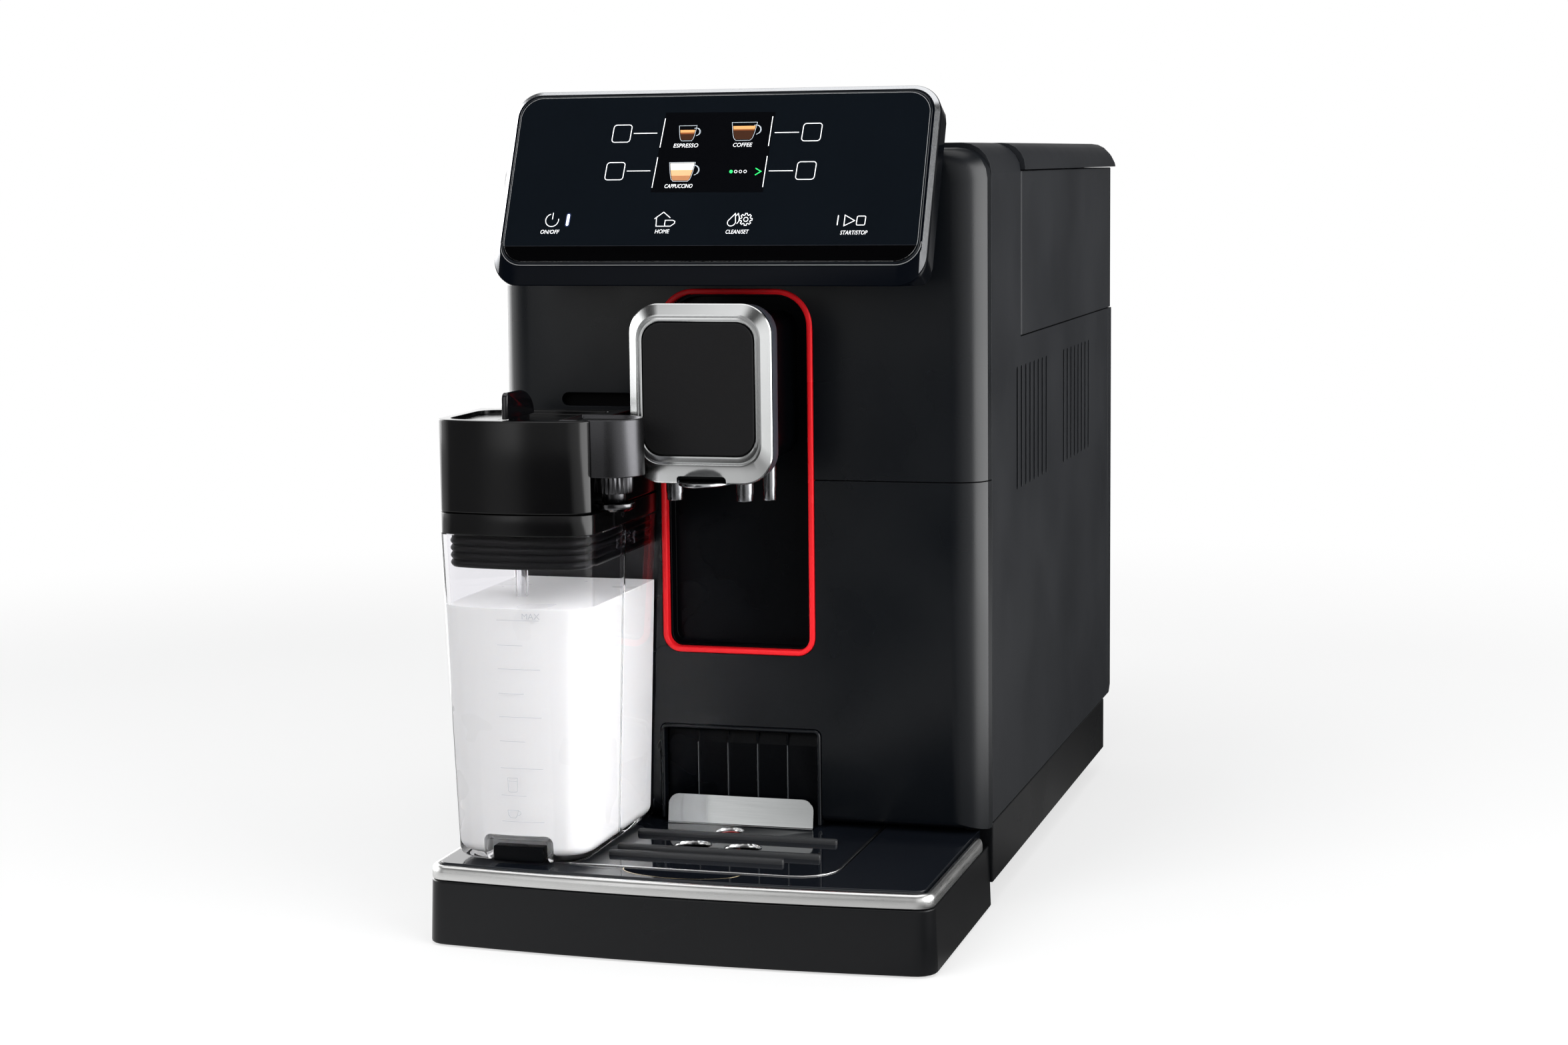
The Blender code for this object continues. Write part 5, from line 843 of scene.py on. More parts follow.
class Marks:
    """Thin printed shapes that make up one piece, in millimetres on their sheet."""

    def __init__(self, sheet: PrintedSheet, level: float = 0.0, thickness: float = 0.05) -> None:
        """Start without marks.

        Args:
            sheet: place that carries them.
            level: height of their underside above it.
            thickness: thickness of the print.
        """
        self.sheet = sheet
        self.level = level
        self.thickness = thickness
        self.shape = bmesh.new()

    def fill(self, points: Sequence[Flat]) -> None:
        """Add a filled outline."""
        levels = (self.level, self.level + self.thickness)
        skin(self.shape, [self.sheet.ring(points, out) for out in levels])

    def line(self, points: Sequence[Flat], width: float, closed: bool = False) -> None:
        """Add a line with mitred bends.

        Args:
            points: its middle line.
            width: its width.
            closed: whether its end joins its start.
        """
        rings = []
        for k, point in enumerate(points):
            before = points[k - 1] if k or closed else point
            after = points[(k + 1) % len(points)] if closed or k + 1 < len(points) else point
            ahead = (Vector(after) - Vector(point)).normalized()
            behind = (Vector(point) - Vector(before)).normalized()
            along = (ahead + behind).normalized()
            edge = ahead if ahead.length else behind
            spread = width / 2 / max(along.dot(edge), 0.4)
            off = Vector((-along.y, along.x)) * spread
            left, right = Vector(point) + off, Vector(point) - off
            top = self.level + self.thickness
            rings.append([self.sheet.place(*left, self.level), self.sheet.place(*right, self.level),
                          self.sheet.place(*right, top), self.sheet.place(*left, top)])
        skin(self.shape, rings, closed)

    def words(self, text: str, left: float, foot: float, width: float, height: float,
              lean: float = 0.0) -> None:
        """Add lettering.

        Args:
            text: the letters.
            left: where they start.
            foot: their foot line.
            width: their whole width.
            height: height of the capitals.
            lean: how far they lean to the right, as a share of their height.
        """
        drawn, upright = letters(text), letters("H")
        tall = max(vert.co.y for vert in upright.verts)
        upright.free()
        start = min(vert.co.x for vert in drawn.verts)
        wide = max(vert.co.x for vert in drawn.verts) - start
        for vert in drawn.verts:
            rise = vert.co.y / tall * height
            across = left + (vert.co.x - start) / wide * (width - lean * height) + lean * rise
            vert.co = self.sheet.place(across, foot + rise, self.level + (vert.co.z + 0.5) * self.thickness)
        mesh = bpy.data.meshes.new("words")
        drawn.to_mesh(mesh)
        drawn.free()
        self.shape.from_mesh(mesh)
        bpy.data.meshes.remove(mesh)

    def piece(self, name: str, finish: Finish) -> None:
        """Close the piece, which rides with the sheet's node."""
        carry(mesh_piece(name, self.shape, finish), self.sheet.node, stands_for=False)


def letters(text: str) -> Shape:
    """Letters of Blender's own font, one unit thick.

    Args:
        text: the letters.

    Returns:
        Their shape, lying flat.
    """
    data = bpy.data.curves.new("letters", "FONT")
    data.body = text
    data.extrude = 0.5
    data.resolution_u = 3
    item = new_object("letters", data)
    mesh = applied_mesh(item)
    build = bmesh.new()
    build.from_mesh(mesh)
    bpy.data.objects.remove(item)
    bpy.data.meshes.remove(mesh)
    bmesh.ops.remove_doubles(build, verts=build.verts, dist=0.0001)
    return build


def arc(centre: Flat, radius: float, start: float, end: float, steps: int) -> list[Flat]:
    """Points of an arc with both ends, between two angles in degrees anticlockwise from the right."""
    turns = [radians(start + (end - start) * k / steps) for k in range(steps + 1)]
    return [(centre[0] + radius * cos(turn), centre[1] + radius * sin(turn)) for turn in turns]


def leaned(points: Iterable[Flat], centre: Flat, lean: float) -> list[Flat]:
    """Move an outline to a centre and let it lean to the right."""
    return [(centre[0] + x + lean * y, centre[1] + y) for x, y in points]


@dataclass(frozen=True)
class SoftBox:
    """Lamp that lights the machine and shows in no gloss.

    Attributes:
        name: its name.
        place: its middle.
        size: its width and height.
        power: its power in watts.
    """

    name: str
    place: Point
    size: Flat
    power: float


@dataclass
class Studio:
    """Camera at the photograph's view, pale floor, soft lamps and the cards that gloss shows.

    Attributes:
        camera_place: place of the camera.
        yaw: how far it looks to the left, in radians.
        pitch: how far it looks down, in radians.
        roll: how far it leans, in radians.
        lens: its lens in millimetres.
        sensor: width of its sensor in millimetres.
        clip: nearest and farthest distance that it sees.
        soft_boxes: lamps round the machine.
        lamp_aim: point that they face.
        floor_reach: half the floor's width.
        paper: shade of the floor.
        paper_lift: share of plain white in what the camera sees of it.
        shadow_reach: distance up to which the floor shows shadows.
        fade_reach: distance from which it is as white as the backdrop.
        near_reach: distances between which the near floor in gloss gives way to the far one.
        ring: light that gloss shows above the floor, by angle from the front.
        far_ring: light that it shows on the far floor.
        near_ring: light that it shows on the floor near the machine.
        clear_ring: light that shows through clear pieces.
        ring_top: upward share of the direction between which the ring gives way to the light high up.
        high_top: upward share of the direction between which that gives way to the light overhead.
        high: light that gloss shows high up, and overhead.
        fill_level: light of the surroundings on matt surfaces.
    """

    camera_place: Point = (0.354, -1.2834, 0.3262)
    yaw: float = 0.2771
    pitch: float = 0.1278
    roll: float = -0.0114
    lens: float = 64.89
    sensor: float = 36.0
    clip: Flat = (0.05, 30.0)
    soft_boxes: tuple[SoftBox, ...] = (
        SoftBox("key", (-0.9, -1.7, 1.2), (1.4, 1.2), 24),
        SoftBox("fill", (1.5, -1.0, 0.9), (1.2, 1.0), 22),
        SoftBox("top_box", (-0.15, -0.45, 1.5), (1.1, 0.8), 8),
        SoftBox("back_box", (0.6, 1.4, 1.0), (1.2, 0.8), 6),
    )
    lamp_aim: Point = (0, -0.05, 0.18)
    floor_reach: float = 6.0
    paper: float = 0.86
    paper_lift: float = 0.62
    shadow_reach: float = 0.62
    fade_reach: float = 1.15
    near_reach: Flat = (0.36, 0.55)
    ring: tuple[Flat, ...] = (
        (-180, 0.2), (-170, 0.5), (-158, 1.7), (-148, 2.0), (-140, 5.0), (-98, 5.0), (-91, 2.1), (-76, 1.8),
        (-60, 0.8), (-48, 0.2), (-32, 0.2), (-26, 0.9), (-17, 1.6), (-13, 0.25), (8, 0.4), (28, 0.8),
        (62, 1.1), (72, 4.8), (112, 4.8), (128, 1.0), (142, 0.08), (175, 0.08), (180, 0.2))
    far_ring: tuple[Flat, ...] = (
        (-180, 0.2), (-170, 0.5), (-158, 1.7), (-148, 2.0), (-140, 4.6), (-106, 4.6), (-94, 1.0), (-76, 1.0),
        (-60, 0.8), (-48, 0.2), (-32, 0.2), (-26, 0.45), (-18, 0.4), (-13, 0.04), (12, 0.04), (28, 0.6),
        (62, 1.0), (72, 4.8), (112, 4.8), (128, 1.0), (142, 0.05), (175, 0.05), (180, 0.2))
    near_ring: tuple[Flat, ...] = (
        (-180, 0.02), (-150, 0.7), (-25, 0.7), (-12, 0.6), (20, 0.5), (34, 0.08), (75, 0.05), (105, 0.12),
        (135, 0.12), (160, 0.02), (180, 0.02))
    clear_ring: tuple[Flat, ...] = (
        (-180, 1.0), (-90, 1.0), (-62, 0.1), (58, 0.1), (73, 8.2), (115, 8.2), (138, 1.0), (180, 1.0))
    ring_top: Flat = (0.45, 0.66)
    high_top: Flat = (0.80, 0.85)
    high: Flat = (0.04, 1.35)
    fill_level: float = 0.42

    def build(self) -> None:
        """Make the camera, the lamps, the floor and the world."""
        self.camera()
        self.lamps()
        self.floor()
        self.world()
        bpy.context.scene.view_settings.view_transform = "Standard"
        log.info("studio ready")

    def camera(self) -> None:
        """Stand the camera where the photograph was taken from."""
        data = bpy.data.cameras.new("camera")
        data.lens = self.lens
        data.sensor_width = self.sensor
        data.clip_start, data.clip_end = self.clip
        item = new_object("camera", data)
        ahead = Vector((-sin(self.yaw), cos(self.yaw), 0))
        side = Vector((cos(self.yaw), sin(self.yaw), 0))
        up = Vector((0, 0, 1))
        view = ahead * cos(self.pitch) - up * sin(self.pitch)
        rise = up * cos(self.pitch) + ahead * sin(self.pitch)
        right = side * cos(self.roll) + rise * sin(self.roll)
        top = rise * cos(self.roll) - side * sin(self.roll)
        turn = Matrix((right, top, -view)).transposed()
        item.matrix_world = Matrix.Translation(self.camera_place) @ turn.to_4x4()
        bpy.context.scene.camera = item

    def lamps(self) -> None:
        """Hang the soft boxes."""
        for box in self.soft_boxes:
            data = bpy.data.lights.new(box.name, "AREA")
            data.shape = "RECTANGLE"
            data.size, data.size_y = box.size
            data.energy = box.power
            item = new_object(box.name, data)
            item.location = box.place
            item.rotation_euler = (Vector(self.lamp_aim) - item.location).to_track_quat("-Z", "Y").to_euler()
            item.visible_glossy = False
            item.visible_camera = False

    def floor(self) -> None:
        """Pale floor that keeps the machine's shadow and fades into the backdrop."""
        build = bmesh.new()
        bmesh.ops.create_grid(build, x_segments=8, y_segments=8, size=self.floor_reach)
        sheet = NodeSheet(bpy.data.materials.new("floor_paper"))
        distance = sheet.add("ShaderNodeVectorMath", {0: sheet.place}, operation="LENGTH").outputs["Value"]
        away = sheet.ramp(distance, self.shadow_reach, self.fade_reach)
        path = sheet.add("ShaderNodeLightPath").outputs
        plain = sheet.combine("MAXIMUM", path["Is Camera Ray"], path["Is Transmission Ray"])
        fibre = sheet.tint(sheet.noise(3 * MM, 3), (self.paper,) * 3, 0.01)
        paper = sheet.add("ShaderNodeBsdfDiffuse", {"Color": fibre}).outputs[0]
        white = sheet.glow(1.0)
        shown = sheet.between(away, sheet.between(self.paper_lift, paper, white), white)
        near, far = (sheet.glow(sheet.around(ring)) for ring in (self.near_ring, self.far_ring))
        mirrored = sheet.between(sheet.ramp(distance, *self.near_reach), near, far)
        others = sheet.between(path["Is Glossy Ray"], paper, mirrored)
        look = sheet.between(plain, others, shown)
        mesh = bpy.data.meshes.new("floor")
        build.to_mesh(mesh)
        build.free()
        mesh.materials.append(sheet.close(look))
        new_object("floor", mesh)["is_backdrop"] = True

    def world(self) -> None:
        """White backdrop, and the cards that gloss shows round the machine."""
        sheet = NodeSheet(bpy.data.worlds.new("studio"))
        path = sheet.add("ShaderNodeLightPath").outputs
        height = sheet.add("ShaderNodeSeparateXYZ", {0: sheet.place}).outputs[2]
        lower = sheet.blend(sheet.ramp(height, *self.ring_top), sheet.around(self.ring), self.high[0])
        cards = sheet.blend(sheet.ramp(height, *self.high_top), lower, self.high[1])
        cast = sheet.blend(path["Is Glossy Ray"], self.fill_level, cards)
        through = sheet.blend(path["Is Transmission Ray"], cast, sheet.around(self.clear_ring))
        level = sheet.blend(path["Is Camera Ray"], through, 1.0)
        shade = sheet.add("ShaderNodeBackground", {"Color": (1, 1, 1, 1), "Strength": level})
        bpy.context.scene.world = sheet.close(shade.outputs[0])


@dataclass(frozen=True)
class TouchField:
    """Printed square with its leader line and the bar beside the display, in millimetres on the glass.

    Attributes:
        centre: middle of the square.
        leader: left and right end of the leader line.
        bar: top and foot of the bar.
    """

    centre: Flat
    leader: Flat
    bar: tuple[Flat, Flat]


@dataclass(frozen=True)
class CupPicture:
    """Plain picture of a glass cup, in millimetres on the glass.

    Attributes:
        middle: middle of the bowl.
        foot: height of its foot.
        width: width of its mouth.
        height: height of the bowl.
        layers: finish, and the shares of the height between which each layer of the drink lies.
    """

    middle: float
    foot: float
    width: float
    height: float
    layers: tuple[tuple[Finish, float, float], ...]

    def side(self, share: float, inset: float) -> Flat:
        """Place on the right side of the bowl at a share of its height."""
        half = self.width / 2 * (0.56 + 0.44 * share ** 0.45) - inset
        return half, self.foot + share * self.height

    def bowl(self, low: float, high: float, inset: float = 0.0, steps: int = 10) -> list[Flat]:
        """Outline of the bowl between two shares of its height.

        Args:
            low: lower share.
            high: upper share.
            inset: distance to the bowl's own outline.
            steps: steps up each side.

        Returns:
            The outline, anticlockwise.
        """
        sides = [self.side(low + (high - low) * k / steps, inset) for k in range(steps + 1)]
        right = [(self.middle + half, level) for half, level in sides]
        left = [(self.middle - half, level) for half, level in reversed(sides)]
        return right + left

    def handle(self) -> list[Flat]:
        """Middle line of the handle."""
        half, level = self.side(0.58, 0)
        return arc((self.middle + half, level), self.height * 0.26, 112, -78, 12)


@dataclass(frozen=True)
class KeyLine:
    """One line of a key's picture, in millimetres from the picture's middle.

    Attributes:
        points: its middle line.
        closed: whether its end joins its start.
        lean: how far it leans to the right.
        weight: its width as a share of the panel's stroke.
    """

    points: Sequence[Flat]
    closed: bool = False
    lean: float = 0.0
    weight: float = 1.0


def wheel() -> list[Flat]:
    """Outline of a small toothed wheel round its hub."""
    teeth = 8
    tooth = ((-15, 2.05), (-9, 2.75), (9, 2.75), (15, 2.05))
    corners = [(radians(360 * k / teeth + off), radius) for k in range(teeth) for off, radius in tooth]
    return [(radius * cos(turn), radius * sin(turn)) for turn, radius in corners]


@dataclass
class ControlPanel:
    """Leaning panel with its printed glass and lit display.

    Measures are in millimetres: right from the middle of the glass, and up from its foot.

    Attributes:
        stroke: width of a printed line.
        lean: how far the lettering leans to the right, as a share of its height.
        tilt: how far the squares and lights lean.
        square: width and height of a touch field's square.
        square_radius: radius of its corners.
        strip_top: height of the black strip along the foot of the glass.
        strip_inset: distance of the strip from the edge of the glass.
        rim_section: inset at the sides and top, inset at the foot, height over the glass, and corner
            radius of each ring of the panel's front.
        bezel_section: the same of each ring of the bezel.
        mitre: height over the panel's foot at which the bezel's pointed ends stop.
        screen: corners of the display.
        fields: printed fields beside the display.
        drink_words: name of each drink, with its left end, foot line and width.
        key_words: the same of each key.
        key_lines: middle and lines of each picture: ring and bar, house and cup, one and a half drops, wheel,
            bar and triangle, square.
        word_height: height of the capitals.
        sheet: front face of the glass, with its foot in the middle of the lower edge.
        outline: outline of that face.
        reach: half width, foot and top of the panel on it.
    """

    stroke: float = 0.33
    lean: float = 0.17
    tilt: float = 0.05
    square: Flat = (8.1, 8.0)
    square_radius: float = 1.3
    strip_top: float = 7.7
    strip_inset: float = 0.25
    rim_section: Section = (
        (0, 0, -3.9, 12.5), (0, 0, -2.4, 12.5), (0.1, 0.12, -2.12, 12.4), (0.3, 0.5, -1.9, 12.2),
        (2.5, 7.6, -0.56, 10.2), (2.8, 8.4, -0.45, 10.0))
    bezel_section: Section = ((0.32, 0.6, -1.8, 12.2), (2.3, 6.9, -0.58, 10.4), (2.3, 6.9, -1.4, 10.4),
                              (0.32, 0.6, -2.6, 12.2))
    mitre: float = 14.0
    screen: tuple[Flat, ...] = ((-27.4, 32.0), (22.0, 31.6), (23.7, 68.3), (-24.8, 68.8))
    fields: tuple[TouchField, ...] = (
        TouchField((-43.5, 59.3), (-38.2, -27.7), ((-24.8, 66.1), (-25.7, 52.6))),
        TouchField((-44.5, 41.9), (-39.2, -28.7), ((-26.1, 48.1), (-27.0, 34.1))),
        TouchField((40.5, 58.8), (24.3, 34.9), ((22.7, 66.3), (22.2, 52.7))),
        TouchField((39.7, 41.3), (23.6, 34.1), ((22.2, 48.1), (21.7, 34.0))),
    )
    drink_words: Words = (("ESPRESSO", -19.7, 52.5, 11.1), ("COFFEE", 6.5, 52.5, 8.6),
                          ("CAPPUCCINO", -21.6, 33.9, 12.6))
    key_words: Words = (("ON/OFF", -74.6, 13.3, 8.6), ("HOME", -23.3, 13.3, 6.4),
                        ("CLEAN/SET", 7.7, 13.0, 10.2), ("START/STOP", 57.2, 12.4, 11.7))
    key_lines: tuple[tuple[Flat, tuple[KeyLine, ...]], ...] = (
        ((-69.9, 19.5), (KeyLine(arc((0, 0), 2.9, 108, 372, 30)), KeyLine(((0.05, 0.4), (0.2, 3.4))))),
        ((-20.4, 16.4), (
            KeyLine(((-3.7, 3.5), (0, 6.5), (3.2, 3.9))),
            KeyLine(((-2.9, 4.1), (-2.7, 0.1), (3.6, 0.1), (4.4, 0.7), (5.3, 1.4), (5.4, 2.3), (4.4, 2.8),
                     (1.1, 2.8), (1.0, 0.9), (1.3, 0.1))))),
        ((9.9, 18.3), (
            KeyLine([(0.9, 3.8)] + arc((0, -0.1), 1.75, 160, 380, 14), closed=True, lean=0.1),
            KeyLine(((1.6, 2.7), (2.6, 3.8), (3.2, 1.9), (3.1, 0.2), (2.3, -0.8))))),
        ((9.9 + 6.1, 18.3 + 1.1), (
            KeyLine(wheel(), closed=True), KeyLine(arc((0, 0), 0.95, 0, 345, 15), closed=True))),
        ((61.3, 18.7), (
            KeyLine(((-5.5, 2.3), (-5.7, -2.1)), weight=1.3),
            KeyLine(((-2.7, 2.4), (1.6, -0.1), (-2.8, -2.4)), closed=True))),
        ((61.3 + 4.3, 18.7 - 0.1), (KeyLine(rounded(-1.8, 1.8, -2.0, 2.0, 0.5, 3), closed=True, lean=0.05),)),
    )
    word_height: float = 1.75
    sheet: PrintedSheet = field(init=False)
    outline: list[Flat] = field(init=False)
    reach: Point = field(init=False)

    def build(self) -> None:
        """Dress the panel's nodes and print its glass."""
        soft_copy("panel_glass", PANEL_GLASS, 0.35 * MM)
        soft_copy("display_screen", SCREEN_BLACK, 0.2 * MM)
        self.glass()
        self.measure()
        self.housing()
        self.bezel()
        self.fine_lines()
        self.strip()
        self.touch_marks()
        self.keys()
        self.display()

    def glass(self) -> None:
        """Find the front face of the glass."""
        shape = node_shape("panel_glass")
        face = max(shape.faces, key=lambda each: -each.normal.y * each.calc_area())
        normal = face.normal.copy()
        right = Vector((1, 0, 0))
        up = normal.cross(right)
        low = min((vert.co for vert in face.verts), key=lambda point: point.dot(up)).copy()
        self.outline = [(vert.co.x / MM, (vert.co - low).dot(up) / MM) for vert in face.verts]
        self.sheet = PrintedSheet(Vector((0, low.y, low.z)), "panel_glass", right, up)
        shape.free()

    def measure(self) -> None:
        """Find how far the panel reaches on its sheet."""
        sheet = self.sheet
        points = []
        for node in ("panel_housing", "panel_bezel"):
            shape = node_shape(node)
            points += [(vert.co - sheet.foot) / MM for vert in shape.verts]
            shape.free()
        normal = sheet.right.cross(sheet.up)
        front = [point for point in points if point.dot(normal) > self.rim_section[0][2]]
        levels = [point.dot(sheet.up) for point in front]
        self.reach = (max(point.x for point in front), min(levels), max(levels))

    def rim(self, section: Section) -> list[Ring]:
        """Outlines round the panel, one for each row of a section.

        Args:
            section: rows of inset, inset at the foot, height and corner radius.

        Returns:
            The rings.
        """
        half, foot, top = self.reach
        outlines = [(rounded(-half + inset, half - inset, foot + chin, top - inset, radius, 16), out)
                    for inset, chin, out, radius in section]
        return [self.sheet.ring(outline, out) for outline, out in outlines]

    def block(self, half: float, foot: float, top: float, low: float, high: float) -> Piece:
        """Block of a half width, from foot to top, between a low and a high level over the glass."""
        outline = rounded(-half, half, foot, top, 0)
        return loft("block", [self.sheet.ring(outline, out) for out in (low, high)], PIANO_BLACK)

    def housing(self) -> None:
        """Round the panel's front with its chin, over a level underside."""
        half, foot, top = self.reach
        over = 30
        depth = self.rim_section[0][2]
        cap = loft("panel_front", self.rim(self.rim_section), PIANO_BLACK, sharp=24)
        back = mesh_piece("panel_back", node_shape("panel_housing"), PIANO_BLACK)
        shape_with(back, self.block(half + over, foot - over, top + over, depth + 0.1, over))
        level = self.sheet.place(0, foot, self.rim_section[1][2]).z
        low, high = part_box("panel_housing")
        margin = over * MM
        under = rounded(low.x - margin, high.x + margin, low.y - margin, high.y + margin, 0)
        for part in (cap, back):
            tool = prism("under", under, Axis.Z, level - margin, level, PIANO_BLACK)
            shape_with(part, tool, sharp=24)
        ease_edges(back, 0.5 * MM)
        carry(back, "panel_housing")
        carry(cap, "panel_housing", stands_for=False)

    def bezel(self) -> None:
        """Lay the silver bezel on the rim, with a pointed end at each side of the chin."""
        half, foot, _ = self.reach
        inner = half - 2.85
        rings = self.rim(self.bezel_section)
        ring = loft("panel_bezel_ring", rings, BEZEL_SILVER, closed=True, sharp=24)
        shape_with(ring, self.block(inner, foot - 5, foot + self.mitre, -5, 5), sharp=24)
        carry(ring, "panel_bezel")

    def fine_lines(self) -> None:
        """Draw a painted highlight as a fine silver line round the glass's edge, and the bright silver line
        over the chin.
        """
        wide = max(x for x, _ in self.outline)
        tall = max(y for _, y in self.outline)
        marks = Marks(self.sheet, -0.02, 0.05)
        # Painted highlight: this line stands in for the glint on the glass's chamfered edge.
        marks.line(rounded(-wide + 0.5, wide - 0.5, 0.6, tall - 0.5, 9.5, 14), 0.24, closed=True)
        marks.piece("glass_edge_highlight", EDGE_SILVER_AND_GLINT)
        chin = Marks(self.sheet, -0.5, 0.25)
        steps = 14
        chin.line(rounded(-wide - 0.95, wide + 0.95, -0.95, tall, 10.3, steps)[:2 * (steps + 1)], 0.3)
        chin.piece("chin_edge_line", EDGE_SILVER_AND_GLINT)

    def strip(self) -> None:
        """Lay a darker strip along the foot of the glass, with the glass's round corners, and a dim line
        along its top.
        """
        inset = self.strip_inset
        top = self.strip_top
        low = sorted((x, y) for x, y in self.outline if y < top)
        inner = [(x - copysign(inset, x), y + inset) for x, y in low]
        wide = max(x for x, _ in inner)
        marks = Marks(self.sheet, 0.0, 0.03)
        marks.fill([(-wide, top)] + inner + [(wide, top)])
        marks.piece("panel_strip", PANEL_STRIP)
        edge = Marks(self.sheet, 0.0, 0.04)
        edge.line([(-wide, top), (wide, top)], 0.12)
        edge.piece("panel_strip_line", DIM_LINE)

    def touch_marks(self) -> None:
        """Print the four squares, their leader lines and the bars beside the display."""
        marks = Marks(self.sheet)
        half, tall = self.square[0] / 2, self.square[1] / 2
        frame_line = rounded(-half, half, -tall, tall, self.square_radius, 5)
        for each in self.fields:
            marks.line(leaned(frame_line, each.centre, self.tilt), self.stroke, closed=True)
            level = each.centre[1]
            marks.line([(each.leader[0], level), (each.leader[1], level)], self.stroke)
            marks.line(each.bar, self.stroke)
        marks.piece("touch_field_marks", PRINT_WHITE)

    def keys(self) -> None:
        """Print the row of keys with their words, and light the power key."""
        marks = Marks(self.sheet)
        for centre, lines in self.key_lines:
            for line in lines:
                marks.line(leaned(line.points, centre, line.lean), self.stroke * line.weight, line.closed)
        marks.piece("key_marks", PRINT_WHITE)
        written = Marks(self.sheet)
        for text, left, foot, width in self.key_words:
            written.words(text, left, foot, width, self.word_height, self.lean)
        written.piece("key_words", PRINT_WHITE)
        lit = (-62.8, 19.6)
        light = Marks(self.sheet, 0.02)
        light.fill(leaned(rounded(-0.55, 0.55, -2.6, 2.6, 0.5, 4), lit, self.tilt))
        light.piece("power_light", LED_WHITE)
        halo = Marks(self.sheet, 0.0, 0.02)
        halo.fill(leaned(rounded(-1.0, 1.0, -3.1, 3.1, 0.95, 6), lit, self.tilt))
        halo.piece("power_light_halo", LED_HALO)

    def display(self) -> None:
        """Show the drinks, their names and the page dots."""
        screen = Marks(self.sheet, 0.0, 0.03)
        screen.fill(self.screen)
        screen.piece("display_field", DISPLAY_BLACK)
        names = Marks(self.sheet, 0.03)
        for text, left, foot, width in self.drink_words:
            names.words(text, left, foot, width, self.word_height, self.lean)
        names.piece("drink_names", PRINT_WHITE)
        self.cups()
        dots = Marks(self.sheet, 0.03)
        first, level, pitch = 7.1, 41.15, 2.06
        for k in range(1, 4):
            dots.line(arc((first + pitch * k, level), 0.62, 0, 330, 11), 0.2, closed=True)
        dots.piece("page_dots", PRINT_WHITE)
        page = Marks(self.sheet, 0.03)
        page.fill(arc((first, level), 0.78, 0, 330, 11))
        page.line([(17.7, 42.6), (20.2, 41.1), (17.8, 39.5)], 0.42)
        page.piece("page_arrow", LED_GREEN)

    def cups(self) -> None:
        """Show a glass cup for each drink."""
        cups = {
            "espresso": CupPicture(-14.2, 55.5, 8.0, 7.0, (
                (DRINK_DARK, 0.07, 0.45), (DRINK_WARM, 0.45, 0.55), (CREMA, 0.55, 0.72))),
            "coffee": CupPicture(10.7, 55.4, 11.3, 8.3, (
                (DRINK_DARK, 0.06, 0.55), (DRINK_WARM, 0.55, 0.62), (CREMA, 0.62, 0.8))),
            "cappuccino": CupPicture(-14.8, 36.9, 11.6, 8.7, (
                (LATTE_DEEP, 0.05, 0.3), (LATTE, 0.3, 0.6), (FOAM, 0.6, 0.96))),
        }
        for name, cup in cups.items():
            for k, (finish, low, high) in enumerate(cup.layers):
                layer = Marks(self.sheet, 0.03)
                layer.fill(cup.bowl(low, high, 0.45))
                layer.piece(f"{name}_layer_{k}", finish)
            wall = Marks(self.sheet, 0.08, 0.03)
            wall.line(cup.bowl(0.0, 1.0, 0.08), 0.16, closed=True)
            wall.line(cup.handle(), 0.22)
            wall.line([(x + 0.35, y) for x, y in cup.handle()][1:-2], 0.14)
            wall.piece(f"{name}_glass", CUP_GLASS)


